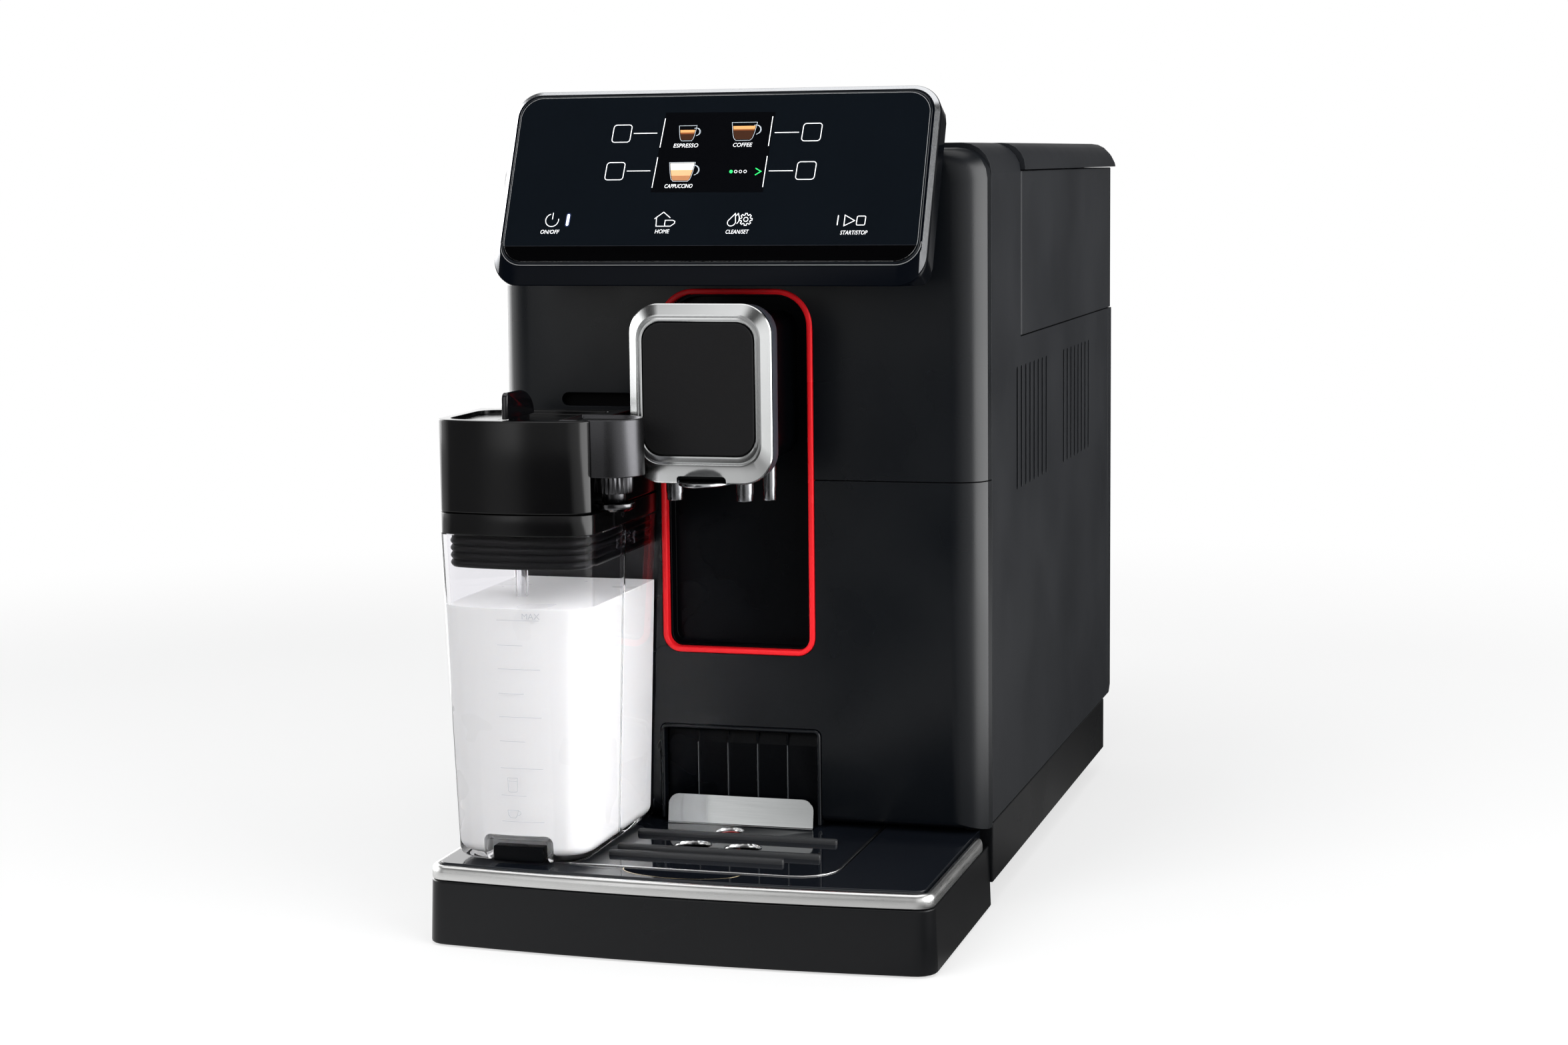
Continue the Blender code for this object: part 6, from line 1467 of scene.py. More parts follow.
@dataclass
class CoffeeSpout:
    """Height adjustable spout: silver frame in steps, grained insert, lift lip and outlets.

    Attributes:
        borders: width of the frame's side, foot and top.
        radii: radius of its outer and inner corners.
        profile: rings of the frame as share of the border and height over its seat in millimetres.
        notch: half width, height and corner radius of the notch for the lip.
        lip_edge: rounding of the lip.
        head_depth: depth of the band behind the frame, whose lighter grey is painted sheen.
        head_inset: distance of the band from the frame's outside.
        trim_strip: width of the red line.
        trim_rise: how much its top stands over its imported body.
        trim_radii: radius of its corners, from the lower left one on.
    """

    borders: Point = (6.6 * MM, 12 * MM, 7.6 * MM)
    radii: Flat = (13 * MM, 8 * MM)
    profile: tuple[Flat, ...] = ((0, 0), (0, 0.7), (0.015, 1.15), (0.06, 1.6), (0.3, 2.75), (0.6, 4.2),
                                 (0.69, 4.4), (0.715, 4.05), (0.75, 4.05), (0.775, 4.35), (0.85, 4.5),
                                 (0.93, 4.5), (0.975, 4.3), (1.0, 3.9), (1.0, 0))
    notch: Point = (10.7 * MM, 3.2 * MM, 1.5 * MM)
    lip_edge: float = 0.7 * MM
    head_depth: float = 10.5 * MM
    head_inset: float = 0.8 * MM
    trim_strip: float = 2.4 * MM
    trim_rise: float = 0.3 * MM
    trim_radii: tuple[float, ...] = (8 * MM, 8 * MM, 16 * MM, 16 * MM)

    def build(self) -> None:
        """Make the frame and the outlets, and dress the rest."""
        self.frame_ring()
        soft_copy("spout_body", SLIDE_BLACK, 0.9 * MM, segments=4)
        self.head_band()
        self.trim()
        soft_copy("spout_insert", INSERT_SATIN, 0.3 * MM)
        soft_copy("spout_finger_lip", LIP_SILVER, self.lip_edge, segments=4)
        for node in ("coffee_nozzle_left", "coffee_nozzle_right", "hot_water_nozzle"):
            self.outlet(node)

    def frame_ring(self) -> None:
        """Loft the stepped frame and cut its notch."""
        low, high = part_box("spout_frame")
        side, foot, top = self.borders
        rings = []
        for share, rise in self.profile:
            radius = self.radii[0] + share * (self.radii[1] - self.radii[0])
            outline = rounded(low.x + share * side, high.x - share * side, low.z + share * foot,
                              high.z - share * top, radius, 14)
            rings.append(lay(outline, Axis.Y, high.y - rise * MM))
        ring = loft("spout_frame_ring", rings, SATIN_SILVER, closed=True, sharp=12)
        self.cut_notch(ring, high.y + self.notch[1], 12)
        ease_edges(ring, 0.15 * MM, 50, 2)
        carry(ring, "spout_frame")

    def cut_notch(self, piece: Piece, rear: float, sharp: float = SHARP) -> None:
        """Cut the notch for the lip into a piece.

        Args:
            piece: piece to change.
            rear: how far back the notch runs.
            sharp: angle in degrees above which an edge stays sharp.
        """
        low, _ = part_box("spout_frame")
        half, height, radius = self.notch
        hole = rounded(-half, half, low.z - height, low.z + height, (0, 0, radius, radius), 6)
        shape_with(piece, prism("notch", hole, Axis.Y, low.y - height, rear, SLIDE_BLACK), sharp=sharp)

    def head_band(self) -> None:
        """Wrap the spout's head behind the frame in a band of lighter bluish grey, painted sheen for its
        glossy black sides.
        """
        low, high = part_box("spout_frame")

        def outline(inset: float) -> list[Flat]:
            """Outline of the band at an inset."""
            drawn = self.head_inset + inset
            return rounded(low.x + drawn, high.x - drawn, low.z + drawn, high.z - drawn,
                           self.radii[0] - drawn, 14)

        band = slab("spout_head_band", outline, Axis.Y, high.y - 0.2 * MM, high.y + self.head_depth, 0.5 * MM,
                    HEAD_SHEEN)
        self.cut_notch(band, high.y + 6 * MM)
        carry(band, "spout_body", stands_for=False)

    def trim(self) -> None:
        """Bend the red line round the slide."""
        low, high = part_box("red_trim")
        ease = 0.6 * MM
        width = self.trim_strip
        section = [(0, high.y), (0, low.y + ease), (0.3 * ease, low.y + 0.3 * ease), (ease, low.y),
                   (width - ease, low.y), (width - 0.3 * ease, low.y + 0.3 * ease), (width, low.y + ease),
                   (width, high.y)]
        rings = []
        for inset, level in section:
            radii = [radius - inset for radius in self.trim_radii]
            top = high.z + self.trim_rise - inset
            outline = rounded(low.x + inset, high.x - inset, low.z + inset, top, radii, 14)
            rings.append(lay(outline, Axis.Y, level))
        carry(loft("red_trim_line", rings, TRIM_RED, closed=True, sharp=50), "red_trim")

    def outlet(self, node: str) -> None:
        """Turn one outlet tube with a rolled lip and a bore.

        Args:
            node: packed outlet that it stands for.
        """
        low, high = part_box(node)
        centre, radius = footprint(node)
        tall = high.z - low.z
        bore = 0.62 * radius
        round_over = 0.35 * MM
        tip = 0.93 * radius
        profile = [(radius, high.z), (radius, low.z + 0.4 * tall), (tip, low.z + 0.28 * tall),
                   (tip, low.z + round_over), (tip - 0.3 * round_over, low.z + 0.3 * round_over),
                   (tip - round_over, low.z), (bore + round_over, low.z), (bore, low.z + round_over),
                   (bore, high.z - 0.3 * tall)]
        carry(turned(f"{node}_tube", profile, centre, OUTLET_STEEL), node)


@dataclass
class DripTray:
    """Drip tray: round steel band, mirror black cover, ribbed grille and upright steel lip.

    Attributes:
        corner: radius of the band's front corners.
        bow: how far the front edge bows forward.
        band_width: width of the band, seen from above.
        band_profile: outline of the band as shares of its width and height, from its rear foot round
            the front.
        slot_edge: width and height of the bright edge of the finger slot.
        rib_size: width and height of a rib over the grille.
        rib_places: place of each rib along the grille, and of its right end across it, as shares.
        rib_section: section of a rib with its two fine grooves, as shares of its width and height.
        rib_left: left end of the ribs, as a share of half the grille.
        rib_end: distance from a rib's end in millimetres, and size of its section there.
        holes: place of each hole, across and along the grille, as shares.
        hole_radius: radius of those holes.
        float_radius: radius of the float's hole.
        hole_rim: width of the polished edge of a hole.
        slot_size: half the width and the depth of the finger slot.
        crests: number of ridges of the container, and the distance between them.
        crest: half the width of a crest, its edge and its thickness.
    """

    corner: float = 8 * MM
    bow: float = 4.6 * MM
    band_width: float = 3.6 * MM
    band_profile: tuple[Flat, ...] = ((1, 0), (0.2, 0), (0.09, 0.03), (0.02, 0.1), (0.0, 0.2), (0.0, 0.52),
                                      (0.03, 0.66), (0.1, 0.79), (0.21, 0.9), (0.35, 0.97), (0.52, 1),
                                      (0.72, 0.985), (0.88, 0.93), (1, 0.82))
    slot_edge: Flat = (0.55 * MM, 0.25 * MM)
    rib_size: Flat = (3.2 * MM, 2.2 * MM)
    rib_places: tuple[Flat, ...] = ((0.597, 0.822), (0.311, 0.822), (0.195, 0.613))
    rib_section: tuple[Flat, ...] = (
        (-0.5, 0), (-0.5, 0.55), (-0.42, 0.85), (-0.3, 1), (-0.2, 1), (-0.16, 0.86), (-0.1, 0.86), (-0.06, 1),
        (0.06, 1), (0.1, 0.86), (0.16, 0.86), (0.2, 1), (0.3, 1), (0.42, 0.85), (0.5, 0.55), (0.5, 0))
    rib_left: float = -0.63
    rib_end: tuple[Flat, ...] = ((0, 0.3), (0.15, 0.62), (0.5, 0.88), (1.4, 1))
    holes: tuple[Flat, ...] = ((-0.148, 0.441), (0.216, 0.433))
    hole_radius: float = 7.7 * MM
    float_radius: float = 6 * MM
    hole_rim: float = 0.55 * MM
    slot_size: Flat = (25 * MM, 11.5 * MM)
    crests: tuple[int, float] = (4, 13.7 * MM)
    crest: Point = (0.32 * MM, 0.25 * MM, 0.6 * MM)

    def build(self) -> None:
        """Make the band, ribs and bright edges, and dress the rest."""
        soft_copy("drip_tray", TRAY_SATIN, 0.7 * MM, segments=4)
        soft_copy("tray_cover", COVER_GLOSS, 0.35 * MM)
        self.grille()
        soft_copy("grille_rim", MIRROR_STEEL, 0.3 * MM)
        soft_copy("tray_float", FLOAT_RED, 0.3 * MM)
        soft_copy("inner_tray", TRAY_SATIN, 0.4 * MM)
        self.band()
        self.lip()
        self.slot_rim()
        self.ribs()
        self.hole_rims()
        self.container()

    def plan(self, inset: float, steps: int = 12) -> list[Flat]:
        """Front and sides of the tray, seen from above, from the left rear to the right rear.

        Args:
            inset: distance to the band's outer edge.
            steps: steps in each corner.

        Returns:
            The open outline.
        """
        low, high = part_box("tray_band")
        half = high.x - inset
        front = low.y + inset
        corner = max(self.corner - inset, 3 * MM)
        reach = half - corner
        level = front + self.bow + corner
        left = arc((-reach, level), corner, 180, 270, steps)
        right = arc((reach, level), corner, 270, 360, steps)
        count = 2 * steps
        middle = [(reach * (2 * k / count - 1), front + self.bow * (2 * k / count - 1) ** 2)
                  for k in range(1, count)]
        return [(-half, high.y)] + left + middle + right + [(half, high.y)]

    def band(self) -> None:
        """Bend the round steel band along the tray's front and sides."""
        low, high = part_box("tray_band")
        tall = high.z - low.z
        lines = [[(x, y, low.z + rise * tall) for x, y in self.plan(across * self.band_width)]
                 for across, rise in self.band_profile]
        rings = [[line[k] for line in lines] for k in range(len(lines[0]))]
        carry(loft("tray_band_rail", rings, BAND_STEEL, sharp=40), "tray_band")

    def grille(self) -> None:
        """Dress the grille, whose ribs are pieces of their own."""
        plate = mesh_piece("cup_grille_plate", node_shape("cup_grille"), GRILLE_GLOSS)
        low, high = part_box("cup_grille")
        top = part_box("tray_cover")[1].z
        over = 5 * MM
        ribs = rounded(low.x - over, high.x + over, low.y - over, high.y + over, 0)
        shape_with(plate, prism("ribs", ribs, Axis.Z, top, high.z + over, COVER_GLOSS))
        ease_edges(plate, 0.25 * MM)
        carry(plate, "cup_grille")

    def lip(self) -> None:
        """Bend the upright lip out of one sheet, with a foot that runs under the cups, in steel darkened with
        painted shade.
        """
        low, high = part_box("splash_plate")
        wall = 1.0 * MM
        front, rear, foot, top = low.y, high.y, low.z, high.z
        half = high.x
        corner = 5 * MM
        over = 10 * MM
        profile = [(front, foot), (front + 1.6 * MM, foot), (rear, top), (rear - wall, top),
                   (front + 0.7 * MM, foot + 2 * MM), (front + 0.45 * MM, foot + 1.3 * MM),
                   (front, foot + wall)]
        # Painted shade: the steel's darker colour stands in for the dark reflections in the plate.
        sheet = prism("splash_lip", profile, Axis.X, -half, half, SHADED_PLATE_STEEL)
        rim = rounded(-half, half, foot - over, top, (0, 0, corner, corner), 10)
        shape_with(sheet, prism("rim", rim, Axis.Y, front - over, rear + over, SHADED_PLATE_STEEL), Shaping.MEET)
        ease_edges(sheet, 0.2 * MM, 50, 2)
        carry(sheet, "splash_plate")

    def slot_rim(self) -> None:
        """Lay the bright edge round the finger slot."""
        _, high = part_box("tray_cover")
        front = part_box("grille_rim")[0].y
        half, depth = self.slot_size
        rear = front - 1.2 * MM
        width, rise = self.slot_edge
        turns = [pi * k / 28 for k in range(29)]
        inner, outer = ([((half + grow) * cos(turn), rear - (depth + grow) * sin(turn))
                         for turn in turns] for grow in (0, width))
        foot, top = high.z - rise, high.z + 0.3 * rise
        rings = [[(*a, foot), (*b, foot), (*b, top), (*a, top)] for a, b in zip(inner, outer)]
        carry(loft("finger_slot_edge", rings, SLOT_BRASS), "tray_cover", stands_for=False)

    def ribs(self) -> None:
        """Lay a satin shell with two fine grooves over each rib of the grille."""
        low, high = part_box("cup_grille")
        width, rise = self.rib_size
        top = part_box("tray_cover")[1].z
        half = (high.x - low.x) / 2
        depth = high.y - low.y
        left = self.rib_left * half
        for k, (along_share, right_share) in enumerate(self.rib_places):
            middle = low.y + along_share * depth
            right = right_share * half
            ends = [(left + away * MM, scale) for away, scale in self.rib_end]
            ends += [(right - away * MM, scale) for away, scale in reversed(self.rib_end)]
            rings = [[(place, middle + across * width * scale,
                       top - 0.05 * MM + height * rise * min(scale + 0.1, 1))
                      for across, height in self.rib_section] for place, scale in ends]
            carry(loft(f"grille_rib_{k}", rings, RIB_SATIN, sharp=40), "cup_grille", stands_for=False)

    def hole_rims(self) -> None:
        """Set a polished rim in each hole of the grille."""
        low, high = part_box("cup_grille")
        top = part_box("tray_cover")[1].z
        half = (high.x - low.x) / 2
        depth = high.y - low.y
        holes = [((share * half, low.y + along * depth), self.hole_radius) for share, along in self.holes]
        holes.append((footprint("tray_float")[0], self.float_radius))
        width = self.hole_rim
        for k, (centre, radius) in enumerate(holes):
            profile = [(radius - 0.1 * MM, top - 2 * MM), (radius - 0.1 * MM, top - 0.3 * MM),
                       (radius + 0.1 * MM, top + 0.05 * MM), (radius + width / 2, top + 0.12 * MM),
                       (radius + width, top + 0.02 * MM), (radius + width, top - 0.3 * MM),
                       (radius + 0.2 * MM, top - 0.6 * MM), (radius + 0.2 * MM, top - 2 * MM)]
            carry(turned(f"grille_hole_rim_{k}", profile, centre, HOLE_STEEL, closed=True), "cup_grille",
                  stands_for=False)

    def container(self) -> None:
        """Dress the grounds container and lay a lighter glossy strip on each ridge of its face, a painted
        highlight with some real gloss.
        """
        soft_copy("grounds_container", SLIDE_BLACK, 0.3 * MM)
        low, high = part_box("grounds_container")
        count, pitch = self.crests
        width, edge, deep = self.crest
        section = [(-width, edge), (-width / 2, 0), (width / 2, 0), (width, edge), (width, deep),
                   (-width, deep)]
        slope = 5.5 * MM
        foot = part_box("cup_grille")[1].z
        face = low.y - 0.15 * MM
        for k in range(count):
            middle = (k - (count - 1) / 2) * pitch
            rings = [[(middle + x, face + out, level) for x, out in section]
                     for level in (foot, high.z - slope)]
            # Painted highlight on each ridge, with real gloss on top.
            carry(loft(f"container_crest_glint_{k}", rings, CREST_GLINT), "grounds_container", stands_for=False)


@dataclass
class MilkCarafe:
    """Clear jug with milk, ribbed gasket, dark lid and its drawn-out milk head.

    Attributes:
        wall: thickness of the jug's wall.
        floor: thickness of its floor.
        taper: how much each side draws in towards the foot.
        lean: how much the front draws in towards the foot.
        radius: radius of the front corners.
        bow_turn: angle in degrees at which each corner runs into the bowed front.
        step: depth of the groove in the right side.
        step_back: distance of the groove from the front.
        foot_round: rounding of the foot.
        notch: half width, height and depth of the finger notch at the foot.
        bay_width: width of the bay in the lid that the head stands in.
        bar_half: half width of the head's bar.
        bar_height: height of the bar under the lid's top.
        recess_depth: depth of the lid's sunk floor.
        deck_depth: length of the lower rear deck.
        deck_drop: how much lower it lies.
        milk_overlap: how far the milk reaches into the wall, so that no dark film shows between them.
        milk_rise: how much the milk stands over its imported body.
        rim_rise: how much the jug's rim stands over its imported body.
        seam_rise: how much the seam between collar and cover does.
        gasket_ribs: ribs of the lid's seal.
        fin: length and height of the tab, and length of its long rear curve.
        low: lower corner of the jug.
        high: upper corner of the jug.
        wall_shape: outside of the jug, on which marks are laid.
    """

    wall: float = 2 * MM
    floor: float = 3 * MM
    taper: float = 4.8 * MM
    lean: float = 2 * MM
    radius: float = 11 * MM
    bow_turn: float = 12
    step: float = 1.2 * MM
    step_back: float = 50 * MM
    foot_round: float = 4 * MM
    notch: Point = (13.5 * MM, 9.6 * MM, 5 * MM)
    bay_width: float = 14.5 * MM
    bar_half: float = 10 * MM
    bar_height: float = 10 * MM
    recess_depth: float = 1.6 * MM
    deck_depth: float = 36 * MM
    deck_drop: float = 6 * MM
    milk_overlap: float = 0.25 * MM
    milk_rise: float = 4 * MM
    rim_rise: float = 3.5 * MM
    seam_rise: float = 1.8 * MM
    gasket_ribs: int = 4
    fin: Point = (31 * MM, 11 * MM, 16 * MM)
    low: Vector = field(init=False)
    high: Vector = field(init=False)
    wall_shape: BVHTree = field(init=False)

    def build(self) -> None:
        """Make every piece of the carafe."""
        self.low, self.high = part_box("carafe_jug")
        self.high.z += self.rim_rise
        self.jug()
        self.milk()
        self.gasket()
        self.tube()
        self.lid()
        self.head()
        self.scale()
        self.latch()
        self.stop()

    def plan(self, inset: float = 0.0, taper: float = 0.0, lean: float = 0.0, groove: float = 0.0,
             steps: int = 12) -> list[Flat]:
        """Outline of the carafe, seen from above.

        Args:
            inset: distance to the outer wall.
            taper: how much each side is drawn in.
            lean: how much the front is drawn in.
            groove: depth of the groove in the right side.
            steps: steps in each corner and along the bow.

        Returns:
            The closed outline, which starts at the right rear.
        """
        left = self.low.x + inset + taper
        right = self.high.x - inset - taper
        rear = self.high.y - inset
        radius = self.radius - inset / 2
        turn = radians(self.bow_turn)
        reach = (right - left) / 2 - radius * (1 - sin(turn))
        bow = tan(turn) * reach / 2
        level = self.low.y + inset + lean + bow + radius * cos(turn)
        bend = self.low.y + self.step_back
        middle = (left + right) / 2
        points = [(right, rear), (left, rear)]
        points += arc((left + radius, level), radius, 180, 270 - self.bow_turn, steps)
        for k in range(1, steps):
            across = 2 * k / steps - 1
            points.append((middle + reach * across, self.low.y + inset + lean + bow * across * across))
        points += arc((right - radius, level), radius, 270 + self.bow_turn, 360, steps)
        return points + [(right, bend - groove / 2), (right - groove, bend), (right, bend + groove / 2)]

    def shell(self, name: str, inset: float, low: float, top: float, finish: Finish) -> Piece:
        """Loft a body that follows the jug's wall.

        Args:
            name: name of the piece.
            inset: distance to the outer wall.
            low: height of its foot.
            top: height of its top.
            finish: its finish.

        Returns:
            The closed body.
        """
        tall = self.high.z - self.low.z

        def ring(level: float, draw: float) -> Ring:
            """Ring at a level, drawn in from the wall."""
            share = (self.high.z - level) / tall
            outline = self.plan(inset + draw, self.taper * share, self.lean * share, self.step)
            return lay(outline, Axis.Z, level)

        turns = [radians(18 * k) for k in range(6)]
        rings = [ring(low + self.foot_round * (1 - cos(turn)), self.foot_round * (1 - sin(turn)))
                 for turn in turns]
        return loft(name, rings + [ring(top, 0)], finish)

    def notch_block(self, grow: float) -> Piece:
        """Make the block that forms the finger notch, grown by a wall.

        Args:
            grow: thickness of that wall.

        Returns:
            The block.
        """
        half, height, depth = self.notch
        middle = (self.low.x + self.high.x) / 2
        radius = 1.5 * MM + grow
        outline = rounded(middle - half - grow, middle + half + grow, self.low.z - height,
                          self.low.z + height + grow, (0, 0, radius, radius), 6)
        rear = self.low.y + 3 * MM + self.lean + depth + grow
        return prism("notch", outline, Axis.Y, self.low.y - depth, rear, CLEAR)

    def jug(self) -> None:
        """Hollow out the jug and round its edges."""
        body = self.shell("carafe_jug_clear", 0, self.low.z, self.high.z, CLEAR)
        hollow = self.shell("hollow", self.wall, self.low.z + self.floor, self.high.z + self.floor, CLEAR)
        shape_with(hollow, self.notch_block(self.wall))
        shape_with(body, hollow)
        shape_with(body, self.notch_block(0))
        self.wall_shape = BVHTree.FromPolygons([vert.co for vert in body.data.vertices],
                                               [face.vertices for face in body.data.polygons])
        ease_edges(body, 0.35 * MM, 50, 3)
        carry(body, "carafe_jug")

    def milk(self) -> None:
        """Fill the jug, with a thin raised edge where the milk wets the wall."""
        inset = self.wall - self.milk_overlap
        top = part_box("milk")[1].z + self.milk_rise
        body = self.shell("milk_body", inset, self.low.z + self.floor - self.milk_overlap, top, MILK)
        shape_with(body, self.notch_block(inset))
        ease_edges(body, 0.3 * MM, 60, 2)
        carry(body, "milk")

    def gasket(self) -> None:
        """Stack the ribs of the lid's seal."""
        low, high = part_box("lid_gasket")
        bulge = 0.9 * MM
        deep = low.x - self.low.x + bulge
        pitch = (high.z - low.z) / self.gasket_ribs
        steps = 6
        rings = []
        for k in range(self.gasket_ribs):
            for part in range(steps):
                turn = pi * part / steps
                rings.append(lay(self.plan(deep - bulge * sin(turn)), Axis.Z,
                                 low.z + self.seam_rise + pitch * (k + part / steps)))
        rings.append(lay(self.plan(deep), Axis.Z, self.high.z))
        carry(loft("lid_gasket_ribs", rings, SEAL_RUBBER, sharp=80), "lid_gasket")

    def tube(self) -> None:
        """Draw the clear suction tube down into the milk."""
        low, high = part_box("suction_tube")
        centre, radius = footprint("suction_tube")
        bore = 0.6 * radius
        profile = [(radius, high.z), (radius, low.z), (bore, low.z), (bore, high.z)]
        carry(turned("suction_tube_clear", profile, centre, TUBE_CLEAR, closed=True), "suction_tube")

    def lid(self) -> None:
        """Make the collar and the cover with its sunk floor, bay and rear deck."""
        low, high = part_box("carafe_collar")
        collar = slab("carafe_collar_ring", self.plan, Axis.Z, low.z + self.rim_rise, high.z + self.seam_rise,
                      0.45 * MM, LID_METAL)
        carry(collar, "carafe_collar")
        low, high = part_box("carafe_cover")
        cover = slab("carafe_cover_shell", self.plan, Axis.Z, low.z + self.seam_rise, high.z, 0.8 * MM,
                     LID_METAL)
        top = high.z
        over = 8 * MM
        head_low, head_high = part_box("milk_arm")
        middle = (head_low.y + head_high.y) / 2
        reach = (head_high.y - head_low.y) / 2 + 0.3 * MM
        bay = high.x - self.bay_width
        deck = high.y - self.deck_depth
        floor = top - self.recess_depth
        track = middle - self.bar_half - 0.3 * MM, middle + self.bar_half + 0.3 * MM
        cuts = (
            (rounded(bay, high.x + over, middle - reach, middle + reach, (1.5 * MM, 0, 0, 1.5 * MM), 4),
             low.z - over, top + over),
            (rounded(low.x + 5 * MM, bay + over, low.y + 6.5 * MM, deck - 7.6 * MM,
                     (9 * MM, 2 * MM, 2 * MM, 9 * MM), 8), floor, top + over),
            (rounded(head_low.x - 0.3 * MM, bay + over, *track, 0.6 * MM, 3),
             top - self.bar_height - 0.3 * MM, floor + over),
            (rounded(low.x - over, high.x + over, deck, high.y + over, 0), top - self.deck_drop, top + over),
        )
        for outline, foot, head in cuts:
            shape_with(cover, prism("lid_cut", outline, Axis.Z, foot, head, LID_METAL))
        ease_edges(cover, 0.35 * MM, 50, 3)
        carry(cover, "carafe_cover")
        for k, place in enumerate((-66 * MM, -46 * MM)):
            self.deck_latch(k, place, top - self.deck_drop, deck)

    def deck_latch(self, number: int, place: float, level: float, front: float) -> None:
        """Set a small latch on the rear deck.

        Args:
            number: number of the latch.
            place: its middle along X.
            level: height of the deck.
            front: front edge of the deck.
        """
        def outline(inset: float) -> list[Flat]:
            """Outline of the latch at an inset."""
            return rounded(place - 5 * MM + inset, place + 5 * MM - inset, front + 3 * MM + inset,
                           front + 6 * MM - inset, 1.2 * MM - inset / 2, 5)

        latch = slab(f"lid_latch_{number}", outline, Axis.Z, level - 0.1 * MM, level + 1.4 * MM, 0.4 * MM,
                     LID_METAL)
        carry(latch, "carafe_cover", stands_for=False)

    def head(self) -> None:
        """Make the drawn-out head with its dished top, its bar and the tab."""
        low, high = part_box("milk_arm")
        radius = (high.y - low.y) / 2
        middle = (low.y + high.y) / 2
        start = self.high.x - self.bay_width + 0.3 * MM
        top = high.z
        bar_top = top - self.recess_depth + 0.15 * MM

        def round_end(inset: float) -> list[Flat]:
            """Outline of the head at an inset."""
            size = radius - inset
            return [(start + inset, middle + size), (start + inset, middle - size)] + arc(
                (high.x - radius, middle), size, -90, 90, 32)

        def bar_end(inset: float) -> list[Flat]:
            """Outline of the bar at an inset."""
            return rounded(low.x + inset, start + 4 * MM - inset, middle - self.bar_half + inset,
                           middle + self.bar_half - inset, 0.5 * MM, 3)

        head = slab("milk_head", round_end, Axis.Z, low.z, top, 0.5 * MM, HEAD_METAL)
        dish = [lay(round_end(rim * MM), Axis.Z, top + rise * MM) for rim, rise in ((1.6, -1.5), (1.1, 0.4))]
        shape_with(head, loft("dish", dish, HEAD_METAL))
        ease_edges(head, 0.25 * MM, 50, 2)
        carry(head, "milk_arm")
        bar = slab("milk_head_bar", bar_end, Axis.Z, top - self.bar_height, bar_top, 0.4 * MM, LID_METAL)
        carry(bar, "milk_arm", stands_for=False)
        self.tab(bar_top)
        self.nozzle()
        self.cap()

    def tab(self, level: float) -> None:
        """Stand the thin tab on the head's bar.

        Args:
            level: top of the bar.
        """
        low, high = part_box("slide_tab")
        length, height, long = self.fin
        rear = low.y + length
        crest = low.z + height
        lift, nose = 0.6 * MM, 2.5 * MM

        def fin(inset: float) -> list[Flat]:
            """Outline of the tab at an inset."""
            tall = crest - low.z - lift
            turns = [pi / 2 * k / 16 for k in range(17)]
            back = [(rear - long + (long - inset) * cos(turn),
                     low.z + lift + (tall - inset) * sin(turn)) for turn in turns]
            front = arc((low.y + nose, crest - nose), nose - inset, 90, 180, 8)
            return [(low.y + inset, low.z + inset), (rear - inset, low.z + inset)] + back + front

        def web(inset: float) -> list[Flat]:
            """Outline of the tab's foot at an inset."""
            return rounded(low.y + 7 * MM + inset, rear - 5 * MM - inset, level - 0.1 * MM, low.z + 1 * MM, 0)

        carry(slab("slide_tab_fin", fin, Axis.X, low.x, high.x, 0.7 * MM, TAB_BLACK), "slide_tab")
        foot = slab("slide_tab_web", web, Axis.X, low.x + 0.3 * MM, high.x - 0.3 * MM, 0.2 * MM, TAB_BLACK)
        carry(foot, "slide_tab", stands_for=False)

    def nozzle(self) -> None:
        """Form the ribbed outlet."""
        low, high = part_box("milk_nozzle")
        (x, y), radius = footprint("milk_nozzle")
        ribs = 26
        shoulder = high.z - 7 * MM
        rings = []
        for size, depth, level in ((4.6 * MM, 0, low.z), (5 * MM, 0, low.z + 0.4 * MM), (5 * MM, 0, shoulder),
                                   (radius - 0.6 * MM, 0.1, shoulder), (radius, 0.5, shoulder + 0.6 * MM),
                                   (radius, 0.5, high.z)):
            ring = []
            for k in range(4 * ribs):
                turn = 2 * pi * k / (4 * ribs)
                cut = depth * MM * (0.0, 0.5, 1.0, 0.5)[k % 4]
                ring.append((x + (size - cut) * cos(turn), y + (size - cut) * sin(turn), level))
            rings.append(ring)
        carry(loft("milk_nozzle_ribs", rings, RIB_STEEL, sharp=50), "milk_nozzle")

    def cap(self) -> None:
        """Turn the dished cap under the outlet, on the raised seam."""
        low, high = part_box("parking_cap")
        centre, radius = footprint("parking_cap")
        foot, top = low.z + self.seam_rise, high.z + self.seam_rise
        tall = top - foot
        profile = [(radius - 2 * MM, foot), (radius - 0.3 * MM, foot + 0.35 * tall),
                   (radius, foot + 0.6 * tall), (radius, top - 0.3 * MM), (radius - 0.3 * MM, top),
                   (radius - 1.0 * MM, top), (radius - 1.4 * MM, top - 0.3 * MM),
                   (radius - 3 * MM, top - 1.6 * MM), (2 * MM, top - 1.9 * MM), (1.4 * MM, top - 0.9 * MM)]
        carry(turned("parking_cap_dish", profile, centre, DARK_CHROME), "parking_cap")

